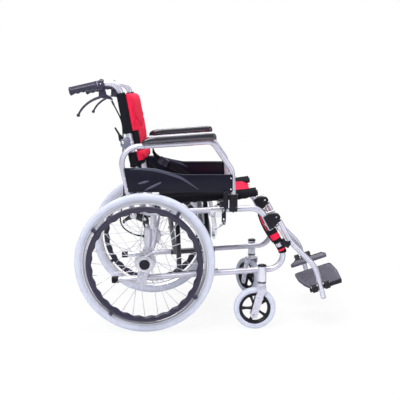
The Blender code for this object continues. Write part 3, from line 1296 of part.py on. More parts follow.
def hanger_release_lever(side, s, parent):
    """Thin sprung lever on top of the hanger's bracket."""
    base = release_pivot()
    start = Vector((base[0], s * FRAME_HALF, base[1]))
    tip = start + Vector((0.0286, 0.0, 0.0113))
    lever = tube([start - (tip - start) * 0.1, tip], 0.0036, 6)
    hub = rod((start.x, s * (FRAME_HALF - 0.006), start.z), (start.x, s * (FRAME_HALF + 0.006), start.z), RELEASE_HUB, 6)
    return finish(join(lever, hub), f"hanger_release_lever_{side}", "bright_steel", parent)


def hanger_tube(side, s, parent):
    """Bent footrest tube with two eyes on the hinge rod."""
    y = s * FRAME_HALF
    bar = tube(bent(at_side(hanger_points(), y), HANGER_BENDS, math.radians(10)), HANGER_TUBE, THIN_SIDES)
    for start, end in ((0.0055, 0.0220), (0.0660, 0.0890)):
        a, b = front(start, ROD_OUT), front(end, ROD_OUT)
        eye = rod((a[0], y, a[1]), (b[0], y, b[1]), ROD + 0.0085, THIN_SIDES)
        bar = join(bar, eye)
    a, b = front(-0.02, ROD_OUT), front(0.12, ROD_OUT)
    bar = cut(bar, rod((a[0], y, a[1]), (b[0], y, b[1]), ROD + 2 * RUN, THIN_SIDES))
    pin_x, pin_z = footplate_pin(side)
    toe = toe_direction() * 0.020
    middle = Vector((pin_x, y, pin_z))
    bar = cut(bar, rod(middle - toe, middle + toe, PLATE_PIN + 2 * RUN, THIN_SIDES))
    return finish(bar, f"hanger_tube_{side}", "silver_paint", parent)


def footplate(side, s, parent):
    """Moulded plate with rounded outline, raised rim, and two lugs that straddle the hanger tube."""
    pin_x, pin_z = footplate_pin(side)
    depth = FRAME_HALF - PLATE_GAP / 2
    edge = HANGER_TUBE / 2 + 0.0025
    outline = rounded([(-0.070, depth), (-0.066, depth * 0.66), (-0.052, depth * 0.36), (-0.030, 0.022),
                       (-0.012, edge), (0.084, edge), (0.088, depth * 0.55), (0.079, depth)],
                      [0.014, 0.030, 0.040, 0.030, 0.012, 0.014, 0.040, 0.016], OUTLINE_STEP)
    top, bottom = -PLATE_DROP, -PLATE_DROP - PLATE_THICKNESS
    rings = [[Vector((x, -s * w, z)) for x, w in outline] for z in (bottom, top)]
    made = loft(rings)
    inner = rounded([(-0.058, depth - 0.010), (-0.054, depth * 0.66), (-0.042, depth * 0.40), (-0.036, 0.040),
                     (0.074, 0.040), (0.078, depth * 0.55), (0.070, depth - 0.010)], 0.010)
    made = cut(made, loft([[Vector((x, -s * w, z)) for x, w in inner] for z in (top - 0.0022, top + 0.004)]))
    for start, end in ((-0.0340, -0.0135), (0.0135, 0.0340)):
        profile = rounded([(-0.013, bottom + 0.002), (-0.013, 0.004), (-0.006, 0.0095), (0.006, 0.0095),
                           (0.016, top - 0.001), (0.016, bottom + 0.002)], 0.004)
        lug = loft([[Vector((x, -s * w, z)) for w, z in profile] for x in (start, end)])
        made = join(made, lug)
    made = join(made, rod((-0.030, 0.0, 0.0), (0.030, 0.0, 0.0), PLATE_PIN, THIN_SIDES))
    tilt = Matrix.Rotation(-s * PLATE_TILT, 4, "X")
    pitch = Matrix.Rotation(-PLATE_PITCH, 4, "Y")
    made.matrix_world = Matrix.Translation((pin_x, s * FRAME_HALF, pin_z)) @ pitch @ tilt
    return finish(made, f"footplate_{side}", "tread_plastic", parent)


# Upholstery
def seat_sling(parent):
    """Padded seat cloth hung between the seat rails, with piped edges and sewn channels."""
    rail = FRAME_TUBE / 2 + FIT
    cloth = STRAP
    stations = 9
    span = 2 * PIVOT_HALF
    xs = [SEAT_FROM + (SEAT_RAIL_TO - 0.004 - SEAT_FROM) * i / (stations - 1) for i in range(stations)]
    rings = []
    for i, x in enumerate(xs):
        bend = max(0.0, x - SEAT_RAIL_BEND)
        lift = bend * math.tan(SEAT_RAIL_TURN)
        edge = 1.0 - 0.35 * (abs(2 * i / (stations - 1) - 1) ** 6)
        top, bottom = [], []
        for turn in (-20, 25, 70):
            angle = math.radians(turn)
            top.append((PIVOT_HALF + (rail + cloth) * math.cos(angle), (rail + cloth) * math.sin(angle)))
            bottom.append((PIVOT_HALF + (rail - 0.001) * math.cos(angle), (rail - 0.001) * math.sin(angle)))
        across = 12
        for k in range(1, across):
            share = k / across
            y = PIVOT_HALF - span * share
            sag = SEAT_SAG * (1 - (y / PIVOT_HALF) ** 2)
            swell = SEAT_PAD * edge * min(1.0, 4 * min(share, 1 - share))
            channel = 0.0016 if k in (4, 8) else 0.0
            top.append((y, rail + cloth + swell * 0.5 - sag - channel))
            bottom.append((y, rail - swell * 0.4 - sag))
        for turn in (70, 25, -20):
            angle = math.radians(turn)
            top.append((-PIVOT_HALF - (rail + cloth) * math.cos(angle), (rail + cloth) * math.sin(angle)))
            bottom.append((-PIVOT_HALF - (rail - 0.001) * math.cos(angle), (rail - 0.001) * math.sin(angle)))
        loop = top + bottom[::-1]
        rings.append([in_brace(x, y, SEAT_RISE + lift + z) for y, z in loop])
    sling = loft(rings)
    for s in (-1, 1):
        sling = cut(sling, tube(lengthened(seat_rail_path(s), 0.02, 0.02), FRAME_TUBE + 2 * FIT))
    return finish(sling, "seat_sling", "red_cloth", parent, 60.0)


def back_panel(name, low, high, material, parent, out, channels, sleeves_from):
    """Padded back between the canes: a crowned cushion whose ends wrap the canes.

    Below its sleeves the cushion hangs in front of the fold's cheeks.
    """
    across = 10
    wrap = FRAME_TUBE / 2 + FIT
    rows = {0.0, 0.06, 0.94, 1.0}
    if sleeves_from > low:
        rows.update((at - low) / (high - low) for at in (sleeves_from - 0.010, sleeves_from - 0.002))
    for mark in channels:
        rows.update((mark - 0.07, mark, mark + 0.07))
    rings = []
    for share in sorted(rows):
        z = low + (high - low) * share
        fade = math.sqrt(max(0.0, 1 - (2 * share - 1) ** 6))
        seam = 0.0
        for mark in channels:
            seam += 0.007 * math.exp(-((share - mark) / 0.05) ** 2)
        front_side, back_side = [], []
        for k in range(across + 1):
            y = -BACK_HALF + 2 * BACK_HALF * k / across
            edge = math.sqrt(max(0.0, 1 - (y / BACK_HALF) ** 6))
            thick = (out - wrap) * (0.30 + 0.70 * fade * edge) - seam * edge
            front_side.append((wrap + 0.0008 + thick, y))
            rear = wrap + 0.0004 - 0.004 * (1 - (y / BACK_HALF) ** 2)
            if z < sleeves_from - 0.006:
                rear = FLAP_OUT
            back_side.append((rear, y))
        loop = front_side + back_side[::-1]
        rings.append([Vector((cane(z) + u * math.cos(CANE_LEAN), y, z + u * math.sin(CANE_LEAN))) for u, y in loop])
    panel = loft(rings)
    for s in (-1, 1):
        y = s * FRAME_HALF
        ends = at_side([(cane(sleeves_from), sleeves_from), (cane(high), high)], y)
        panel = join(panel, tube(ends, FRAME_TUBE + 2 * SLEEVE_WALL, 12))
        if high > FOLD_HEIGHT:
            panel = cut(panel, tube(lengthened(upper_cane_path(y), 0.02, 0.0), FRAME_TUBE + 2 * FIT))
        else:
            panel = cut(panel, tube(lengthened(upright_path(y), 0.0, 0.02), UPRIGHT_TUBE + 2 * FIT))
    return finish(panel, name, material, parent, 60.0)


def calf_strap(parent):
    """Leg strap: a padded panel behind the calves, looped twice round each front tube.

    Its four tabs reach down to the lower loops.
    """
    bands = ((0.006, 0.062, 0.0065), (0.076, 0.104, 0.0045))
    out = -0.012
    rings = []
    for y in (-0.222, -0.207, -0.199, -0.100, 0.0, 0.100, 0.199, 0.207, 0.222):
        sag = 0.006 * (1 - (y / 0.222) ** 2)
        foot = 0.064 if abs(y) < 0.203 else 0.102
        rings.append([Vector((x, y, z)) for x, z in
                      (front(0.008, out - sag), front(foot, out - sag), front(foot, out - sag - 0.005),
                       front(0.008, out - sag - 0.005))])
    strap = loft(rings)
    for s in (-1, 1):
        y = s * FRAME_HALF
        for start, end, wall in bands:
            strap = join(strap, tube(loop_between(y, start, end), FRAME_TUBE + 2 * wall, THIN_SIDES))
        strap = cut(strap, tube(frame_loop(y), FRAME_TUBE + 2 * FIT))
    return finish(strap, "calf_strap", "red_cloth", parent, 50.0)


def loop_between(y, start, end):
    """Points of the frame's axis between two distances down the front tube."""
    loop = frame_loop(y)
    direction = Vector((math.sin(FRONT_LEAN), 0.0, -math.cos(FRONT_LEAN)))
    mark = Vector((FRONT_MARK[0], y, FRONT_MARK[1]))
    inside = []
    for point, following in zip(loop, loop[1:]):
        pieces = 6
        for k in range(pieces):
            here = point.lerp(following, k / pieces)
            along = (here - mark).dot(direction)
            near_tube = abs((here - mark).cross(direction).length) < 0.03
            if near_tube and start <= along <= end:
                inside.append(here)
    return [inside[0], inside[len(inside) // 2], inside[-1]]


def on_seat(x, y):
    """Point of the lap belt's axis where the belt lies on the seat's upper face."""
    sag = SEAT_SAG * (1 - (y / PIVOT_HALF) ** 2)
    rise = SEAT_RISE + FRAME_TUBE / 2 + FIT + STRAP + SEAT_PAD / 2 - sag
    level = LOWER_RAIL_HEIGHT + x * math.tan(LOWER_RAIL_SLOPE) + rise / math.cos(LOWER_RAIL_SLOPE)
    return Vector((x, y, level + BELT_THICKNESS / 2 + 2 * FIT))


def belt_route():
    """Axis of the lap belt, from the left cane over the seat to the right cane."""
    return [Vector((0.008, 0.196, 0.628)), Vector((0.026, 0.188, 0.598)), Vector((0.086, 0.174, 0.562)),
            Vector((0.150, 0.154, 0.527)), Vector((0.196, 0.110, 0.489)), on_seat(0.213, 0.045),
            on_seat(0.216, 0.0), on_seat(0.213, -0.050), Vector((0.190, -0.120, 0.492)),
            Vector((0.130, -0.164, 0.527)), Vector((0.070, -0.184, 0.556)), Vector((0.006, -0.204, 0.604))]


def lap_belt(parent):
    """Webbing belt lying over the seat."""
    route = belt_route()
    rings = []
    for i, place in enumerate(route):
        ahead = route[min(i + 1, len(route) - 1)] - route[max(i - 1, 0)]
        flat = Vector((ahead.x, ahead.y, 0.0)).normalized()
        across = BRACE_TURN @ Vector((-flat.y, flat.x, 0.0))
        lift = Vector((0.0, 0.0, 1.0))
        near_middle = 1.0 - min(1.0, abs(place.y) / 0.17)
        if abs(place.y) < 0.06:
            near_middle = 1.0
        width = (lift * (1 - near_middle) + across * near_middle).normalized() * (BELT_WIDTH / 2)
        through = ahead.normalized().cross(width).normalized() * (BELT_THICKNESS / 2)
        rings.append([place + width + through, place + width - through, place - width - through, place - width + through])
    return finish(loft(rings), "lap_belt", "black_cloth", parent)


def belt_buckle(parent):
    """Squeeze buckle on the left half of the belt."""
    route = belt_route()
    start, end = route[1], route[2]
    along = (end - start).normalized()
    middle = start.lerp(end, 0.5)
    turn = along.to_track_quat("X", "Z").to_matrix()
    inboard = turn @ Vector((0.0, 1.0, 0.0))
    shift = inboard * (-0.0073 if inboard.y > 0 else 0.0073)
    return finish(block(middle + shift, (0.046, 0.0115, 0.033), turn, 0.003, 1), "belt_buckle", "violet_plastic", parent)


# Assembly
def build_side(side, s, frame_body):
    y = s * FRAME_HALF
    side_frame(side, s, frame_body)
    armrest_pivot_plate(side, s, frame_body)
    armrest_socket(side, s, frame_body)
    hanger_bracket(side, s, frame_body)
    brake_cable(side, s, frame_body)

    pin = FOLD_PIN_PLACE
    back = empty(f"back_fold_axis_{side}", (pin[0], y, pin[1]), frame_body)
    upper_cane(side, s, back)
    handle_grip(side, s, back)
    brake_clamp(side, s, back)
    release = empty(f"fold_release_axis_{side}", (pin[0], y, pin[1]), back)
    fold_release_lever(side, s, release)
    hand = empty(f"brake_lever_axis_{side}", (HAND_LEVER_PIVOT[0], y, HAND_LEVER_PIVOT[1]), back)
    brake_lever(side, s, hand)

    wheel = empty(f"rear_wheel_axis_{side}", (0.0, s * WHEEL_HALF, AXLE_HEIGHT), frame_body)
    rear_wheel(side, s, wheel)
    rear_tyre(side, s, wheel)
    pushrim(side, s, wheel)

    swivel = empty(f"caster_swivel_axis_{side}", (CASTER_X, s * CASTER_HALF, HOUSING_FOOT), frame_body)
    spin = empty(f"caster_wheel_axis_{side}", caster_axle(s), swivel)
    caster_fork(side, s, swivel)
    caster_wheel(side, s, spin)
    caster_tyre(side, s, spin)
    if side == "left":
        swivel.rotation_euler.z = LEFT_CASTER_SWIVEL

    arm = empty(f"armrest_axis_{side}", (ARM_PIVOT[0], s * ARM_HALF, ARM_PIVOT[1]), frame_body)
    armrest_frame(side, s, arm)
    armrest_pad(side, s, arm)
    skirt_guard(side, s, arm)
    place = button_place()
    press = empty(f"armrest_button_axis_{side}", (place.x, s * ARM_HALF, place.z), arm)
    armrest_button(side, s, press)

    shoe = empty(f"brake_shoe_axis_{side}", (BRAKE_SHOE_PIVOT[0], y, BRAKE_SHOE_PIVOT[1]), frame_body)
    parking_brake_shoe(side, s, shoe)
    lever = empty(f"parking_lever_axis_{side}", (BRAKE_LEVER_PIVOT[0], y, BRAKE_LEVER_PIVOT[1]), frame_body)
    parking_brake_lever(side, s, lever)
    link = empty(f"brake_link_axis_{side}", (BRAKE_LINK_LEVER[0], y, BRAKE_LINK_LEVER[1]), lever)
    parking_brake_link(side, s, link)

    rod_top = front(0.0, ROD_OUT)
    hanger = empty(f"hanger_axis_{side}", (rod_top[0], y, rod_top[1]), frame_body, (0.0, -FRONT_LEAN, 0.0))
    hanger_tube(side, s, hanger)
    latch = release_pivot()
    trigger = empty(f"hanger_release_axis_{side}", (latch[0], y, latch[1]), frame_body)
    hanger_release_lever(side, s, trigger)
    pin_x, pin_z = footplate_pin(side)
    plate_hinge = empty(f"footplate_axis_{side}", (pin_x, y, pin_z), hanger, (0.0, -PLATE_PITCH, 0.0))
    footplate(side, s, plate_hinge)
    return back


def build_chair():
    chair = empty("chair", (0.0, 0.0, 0.0))
    right = empty("right_frame", (0.0, 0.0, 0.0), chair)
    arm_a = empty("brace_axis_right", in_brace(0.0, -PIVOT_HALF, 0.0), right, (0.0, -LOWER_RAIL_SLOPE, 0.0))
    arm_b = empty("brace_axis_middle", in_brace(0.0, 0.0, SEAT_RISE / 2), arm_a, (0.0, -LOWER_RAIL_SLOPE, 0.0))
    left = empty("brace_axis_left", in_brace(0.0, PIVOT_HALF, 0.0), arm_b, (0.0, -LOWER_RAIL_SLOPE, 0.0))
    brace_arm("brace_arm_a", -1.0, BRACE_BARS[0], arm_a, pinned=True)
    brace_arm("brace_arm_b", 1.0, BRACE_BARS[1], arm_b, pinned=False)
    seat_sling(arm_b)
    backs = {}
    for side, s in SIDES:
        backs[side] = build_side(side, s, right if side == "right" else left)
    back_panel("back_upholstery_upper", UPPER_BACK_FROM, UPPER_BACK_TO, "red_cloth", backs["right"],
               PAD_OUT + 0.003, (0.53,), FOLD_HEIGHT + 0.028)
    back_panel("back_upholstery_lower", LOWER_BACK_FROM, LOWER_BACK_TO, "red_cloth", right, PAD_OUT + 0.004,
               (0.5,), LOWER_BACK_FROM)
    calf_strap(right)
    lap_belt(right)
    belt_buckle(left)
    return chair


def centre_on_floor(chair):
    """Moves the chair so that the middle of its footprint is the origin."""
    bpy.context.view_layer.update()
    for axis in (0, 1):
        reach = []
        for part in PARTS.objects:
            if part.type == "MESH":
                reach.extend((part.matrix_world @ vertex.co)[axis] for vertex in part.data.vertices)
        chair.location[axis] = -(min(reach) + max(reach)) / 2
    bpy.context.view_layer.update()


CHAIR = build_chair()
centre_on_floor(CHAIR)
print("rear axle at X", round(CHAIR.location.x, 5))
print("fold angle at rest", round(FOLD_ANGLE, 3))
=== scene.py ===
"""Dressed folding wheelchair: smooth metal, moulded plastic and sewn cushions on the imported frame.

Lengths are in metres. Points are written in the chair's own frame, where X = 0 is the rear axle and
Y = 0 the middle plane; SHIFT takes them to the row frame.
"""

from math import copysign, cos, exp, pi, radians, sin, sqrt, tan, tau

import bmesh
import bpy
from mathutils import Matrix, Vector, noise


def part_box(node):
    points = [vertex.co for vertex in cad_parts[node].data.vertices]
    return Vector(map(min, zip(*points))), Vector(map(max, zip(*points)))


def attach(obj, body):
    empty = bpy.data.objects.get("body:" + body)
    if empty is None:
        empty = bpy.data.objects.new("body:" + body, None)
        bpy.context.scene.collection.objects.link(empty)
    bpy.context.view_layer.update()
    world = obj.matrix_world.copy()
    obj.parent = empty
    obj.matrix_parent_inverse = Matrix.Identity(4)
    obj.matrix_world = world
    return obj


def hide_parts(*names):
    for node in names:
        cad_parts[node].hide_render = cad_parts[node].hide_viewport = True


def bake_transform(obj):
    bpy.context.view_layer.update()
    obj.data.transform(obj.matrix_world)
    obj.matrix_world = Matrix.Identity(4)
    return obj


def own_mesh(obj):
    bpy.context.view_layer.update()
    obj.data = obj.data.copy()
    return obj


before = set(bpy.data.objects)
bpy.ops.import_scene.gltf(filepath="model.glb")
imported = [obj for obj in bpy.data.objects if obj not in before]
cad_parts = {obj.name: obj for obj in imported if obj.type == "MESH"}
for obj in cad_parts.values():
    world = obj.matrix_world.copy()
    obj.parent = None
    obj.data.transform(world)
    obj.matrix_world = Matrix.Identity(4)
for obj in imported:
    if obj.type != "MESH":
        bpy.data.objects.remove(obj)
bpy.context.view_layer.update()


def middle(node):
    low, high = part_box(node)
    return (low + high) / 2


SHIFT = (middle("rear_tyre_right") + middle("rear_tyre_left")) / 2
SHIFT.z = 0.0
SIDES = (("right", -1.0), ("left", 1.0))
ACROSS, UP = Vector((0.0, 1.0, 0.0)), Vector((0.0, 0.0, 1.0))

# Sizes shared with the solids
FIT = 0.0003
FRAME_TUBE, UPRIGHT_TUBE, SLEEVE_TUBE = 0.022, 0.0228, 0.028
ARM_TUBE, HANGER_TUBE, BRACE_TUBE = 0.020, 0.020, 0.019
FRAME_HALF = 0.228
FRAME_SKIN = FRAME_HALF + FRAME_TUBE / 2
UPPER_RAIL_HEIGHT, UPPER_RAIL_SLOPE = 0.4264, radians(2.75)
LOWER_RAIL_HEIGHT, LOWER_RAIL_SLOPE, LOWER_RAIL_END = 0.1865, radians(3.9), -0.104
FRONT_CORNER, FRONT_LEAN, FRONT_BEND, LOWER_BEND = 0.418, radians(28.4), 0.057, 0.055
FRONT_MARK = (0.458, 0.3722)
CANE_LEAN, CANE_FOOT, CANE_FOOT_HEIGHT, UPRIGHT_X = radians(10.5), 0.0035, 0.382, 0.0085
FOLD_HEIGHT, FOLD_PIN_BACK = 0.690, 0.0245
HANDLE_SLOPE, HANDLE_CORNER_HEIGHT, HANDLE_BEND = radians(12.9), 0.9071, 0.045
GRIP_END, GRIP_LENGTH, GRIP_DIAMETER = -0.268, 0.101, 0.030
WHEEL_RADIUS, TYRE_WIDTH, TYRE_DEPTH, RIM_WIDTH, RIM_DEPTH = 0.254, 0.028, 0.029, 0.0224, 0.0105
AXLE_HEIGHT = WHEEL_RADIUS
HUB_FLANGE, HUB_HALF, HUB_BARREL, HUB_CAP = 0.059, 0.034, 0.028, 0.040
DRUM_DIAMETER, FLANGE_OUT = 0.078, 0.018
SPOKES, SPOKE, SPOKE_LEAN = 28, 0.0022, radians(48.0)
PUSHRIM_DIAMETER, PUSHRIM_DEPTH, PUSHRIM_WIDTH, PUSHRIM_OUT, PUSHRIM_WAVES = 0.421, 0.022, 0.016, 0.030, 28
PUSHRIM_CLIPS = (56, 146, 236, 326)
CASTER_X, CASTER_RADIUS, CASTER_TRAIL = 0.427, 0.077, 0.026
CASTER_TYRE_DEPTH, CASTER_TYRE_WIDTH, CASTER_RIM_DEPTH = 0.019, 0.028, 0.011
HOUSING, HOUSING_TOP, HOUSING_FOOT, CROWN, FORK_PLATE = 0.032, 0.240, 0.173, 0.030, 0.004
LEFT_CASTER_SWIVEL = radians(-58.0)
SEAT_RISE, BRACE_FROM, BRACE_TO, BRACE_BARS = 0.2805, 0.089, 0.262, ((0.124, 0.240), (0.100, 0.216))
SEAT_RAIL_FROM, SEAT_RAIL_BEND, SEAT_RAIL_TO, SEAT_RAIL_TURN = 0.006, 0.375, 0.432, radians(4.0)
SADDLES = (0.062, 0.300)
PIVOT_HALF = FRAME_HALF - FRAME_TUBE / 2 - BRACE_TUBE / 2 - 0.0024
ARM_HALF = FRAME_HALF + UPRIGHT_TUBE / 2 + FIT + 0.003 + 0.002 + ARM_TUBE / 2
ARM_SKIN = ARM_HALF + ARM_TUBE / 2
GUARD_FACE = ARM_SKIN + FIT + 0.003
WHEEL_HALF = GUARD_FACE + 0.006 + TYRE_WIDTH / 2
CASTER_HALF = FRAME_SKIN + HOUSING / 2 - 0.002
ARM_PIVOT, ARM_REAR_CORNER, ARM_TOP_SLOPE = (-0.042, 0.423), (-0.0955, 0.6677), radians(3.87)
ARM_FRONT_CORNER, ARM_SLANT, ARM_KNEE_HEIGHT = 0.2433, radians(34.6), 0.5864
ARM_FRONT_LEAN, ARM_FOOT_HEIGHT, ARM_BENDS = radians(-2.6), 0.449, (0.062, 0.030, 0.060)
PAD_LENGTH, PAD_WIDTH, PAD_THICKNESS, PAD_FROM = 0.2655, 0.046, 0.029, -0.008
ROD_OUT, ROD, HANGER_OUT, HANGER_KNEE, HANGER_SLANT = 0.0265, 0.007, 0.041, 0.084, radians(45.0)
HANGER_FOOT_LEAN, HANGER_FOOT_CORNER_HEIGHT, HANGER_FOOT_HEIGHT = radians(15.5), 0.225, 0.108
HANGER_BENDS = (0.120, 0.100)
PLATE_PITCH, PLATE_TILT, PLATE_THICKNESS, PLATE_DROP = radians(18.5), radians(9.5), 0.011, 0.0115
PLATE_GAP, FOOTPLATE_HEIGHTS = 0.070, {"right": 0.158, "left": 0.174}
BRAKE_SHOE_PIVOT, BRAKE_LEVER_PIVOT = (0.247, 0.424), (0.2857, 0.4065)
BRAKE_LINK_LEVER, BRAKE_LINK_SHOE = (0.2857, 0.3925), (0.2570, 0.3730)
CLAMP_X, CLAMP_WIDTH, HAND_LEVER_PIVOT, CABLE = -0.1535, 0.024, (-0.1500, 0.8520), 0.005
BACK_HALF, PAD_OUT = 0.236, 0.036
UPPER_BACK_FROM, UPPER_BACK_TO, LOWER_BACK_FROM, LOWER_BACK_TO = 0.656, 0.862, 0.598, FOLD_HEIGHT - 0.040
SLEEVE_FROM = FOLD_HEIGHT + 0.028
BELT_WIDTH, BELT_THICKNESS = 0.025, 0.0022
SEAT_FROM, SEAT_SAG, SEAT_PAD, STRAP = 0.042, 0.046, 0.009, 0.0032


# Materials
def node(tree, kind, **values):
    made = tree.nodes.new(kind)
    for name, value in values.items():
        if name in made.inputs:
            made.inputs[name].default_value = value
        else:
            setattr(made, name, value)
    return made


def link(tree, start, out, end, into):
    tree.links.new(start.outputs[out], end.inputs[into])


def ramp(tree, low, high, dark, light):
    made = tree.nodes.new("ShaderNodeValToRGB")
    made.color_ramp.elements[0].position = low
    made.color_ramp.elements[1].position = high
    made.color_ramp.elements[0].color = (*dark, 1.0)
    made.color_ramp.elements[1].color = (*light, 1.0)
    return made


def scaled(colour, share):
    return tuple(min(1.0, channel * share) for channel in colour)


def base_material(name, colour, metallic, coat=0.0, sheen=0.0, specular=0.5):
    """A material with its shader, its object coordinates and a slow cloudy change of colour."""
    material = bpy.data.materials.new(name)
    material.use_nodes = True
    material.diffuse_color = (*colour, 1.0)
    tree = material.node_tree
    shader = tree.nodes["Principled BSDF"]
    shader.inputs["Metallic"].default_value = metallic
    shader.inputs["Coat Weight"].default_value = coat
    shader.inputs["Coat Roughness"].default_value = 0.12
    shader.inputs["Sheen Weight"].default_value = sheen
    shader.inputs["Sheen Roughness"].default_value = 0.45
    shader.inputs["Specular IOR Level"].default_value = specular
    return material, tree, shader, node(tree, "ShaderNodeTexCoord")


def bump(tree, shader, height, out, strength, distance, under=None):
    made = node(tree, "ShaderNodeBump", Strength=strength, Distance=distance)
    link(tree, height, out, made, "Height")
    if under is not None:
        link(tree, under, "Normal", made, "Normal")
    link(tree, made, "Normal", shader, "Normal")
    return made


def noise_node(tree, place, scale, detail):
    made = node(tree, "ShaderNodeTexNoise", Scale=scale, Detail=detail)
    link(tree, place, "Object", made, "Vector")
    return made


def mixed_colours(tree, shader, first, second):
    """Mixes two colours for the shader; second is a node's ramp or a plain colour."""
    made = node(tree, "ShaderNodeMix", data_type="RGBA")
    link(tree, first, "Color", made, 6)
    if isinstance(second, tuple):
        made.inputs[7].default_value = (*second, 1.0)
    else:
        link(tree, second, "Color", made, 7)
    link(tree, made, 2, shader, "Base Color")
    return made


def grainy(tree, place, shader, colour, cloud, span, shades, rough, grain, relief):
    """A cloudy tone and roughness, and a fine relief; returns the cloud's noise and its tone."""
    fine = noise_node(tree, place, *grain)
    slow = noise_node(tree, place, *cloud)
    tone = ramp(tree, *span, *(scaled(colour, shade) for shade in shades))
    link(tree, slow, "Fac", tone, "Fac")
    link(tree, tone, "Color", shader, "Base Color")
    change = node(tree, "ShaderNodeMapRange")
    change.inputs["To Min"].default_value, change.inputs["To Max"].default_value = rough
    link(tree, slow, "Fac", change, "Value")
    link(tree, change, "Result", shader, "Roughness")
    bump(tree, shader, fine, "Fac", relief, 0.0002)
    return slow, tone


def hard_finish(name, colour, rough, metallic=0.0, coat=0.0, grain=700.0, relief=0.12, wear_and_highlight=None,
                specular=0.5):
    """Paint, plastic or metal: fine grain, cloudy tone and roughness, and convex edges turned lighter, partly
    rubbed wear and partly a painted highlight.
    """
    material, tree, shader, place = base_material(name, colour, metallic, coat, specular=specular)
    slow, tone = grainy(tree, place, shader, colour, (14.0, 4.0), (0.32, 0.70), (0.88, 1.06),
                        (max(0.02, rough - 0.07), rough + 0.09), (grain, 3.0), relief)
    # Lighter colour on convex edges, broken up by the slow noise: partly wear, partly a painted highlight.
    if wear_and_highlight is not None:
        edge = node(tree, "ShaderNodeNewGeometry")
        mask = ramp(tree, 0.535, 0.60, (0.0, 0.0, 0.0), (1.0, 1.0, 1.0))
        link(tree, edge, "Pointiness", mask, "Fac")
        broken = node(tree, "ShaderNodeMath", operation="MULTIPLY")
        link(tree, mask, "Color", broken, 0)
        link(tree, slow, "Fac", broken, 1)
        mixed = mixed_colours(tree, shader, tone, wear_and_highlight)
        link(tree, broken, "Value", mixed, "Factor")
    return material


def cloth_finish(name, colour, pitch, axes, relief=0.55, sheen=0.12):
    """Woven cloth: two crossing sets of threads with painted shade between them, loose fibres and a soft
    sheen.
    """
    material, tree, shader, place = base_material(name, colour, 0.0, sheen=sheen, specular=0.15)
    shader.inputs["Roughness"].default_value = 0.85
    shader.inputs["Sheen Tint"].default_value = (*scaled(colour, 1.6), 1.0)
    threads = node(tree, "ShaderNodeMath", operation="MULTIPLY")
    for i, axis in enumerate(axes):
        wave = node(tree, "ShaderNodeTexWave", Scale=1.0 / pitch / pi, Distortion=0.6, bands_direction=axis)
        wave.inputs["Detail Scale"].default_value = 2.0
        link(tree, place, "Object", wave, "Vector")
        link(tree, wave, "Fac", threads, i)
    slow = noise_node(tree, place, 22.0, 5.0)
    hair = noise_node(tree, place, 1500.0, 2.0)
    # Painted shade: the colour darkens where the threads dip between each other.
    thread_shade = ramp(tree, 0.05, 0.75, scaled(colour, 0.78), scaled(colour, 1.06))
    link(tree, threads, "Value", thread_shade, "Fac")
    cloud = ramp(tree, 0.30, 0.75, scaled(colour, 0.80), scaled(colour, 1.10))
    link(tree, slow, "Fac", cloud, "Fac")
    mixed_colours(tree, shader, thread_shade, cloud).inputs[0].default_value = 0.45
    first = bump(tree, shader, threads, "Value", relief, 0.0006)
    bump(tree, shader, hair, "Fac", 0.35, 0.0002, first)
    return material


def tyre_finish(name, colour):
    """Solid pale rubber: matt, with a fine grain and faint dusty clouds."""
    material, tree, shader, place = base_material(name, colour, 0.0, specular=0.35)
    grainy(tree, place, shader, colour, (26.0, 6.0), (0.28, 0.74), (0.90, 1.03), (0.50, 0.72), (900.0, 2.0),
           0.18)
    return material


LAVENDER = (0.60, 0.59, 0.69)
RED = (0.93, 0.018, 0.070)
NIGHT = (0.008, 0.008, 0.013)
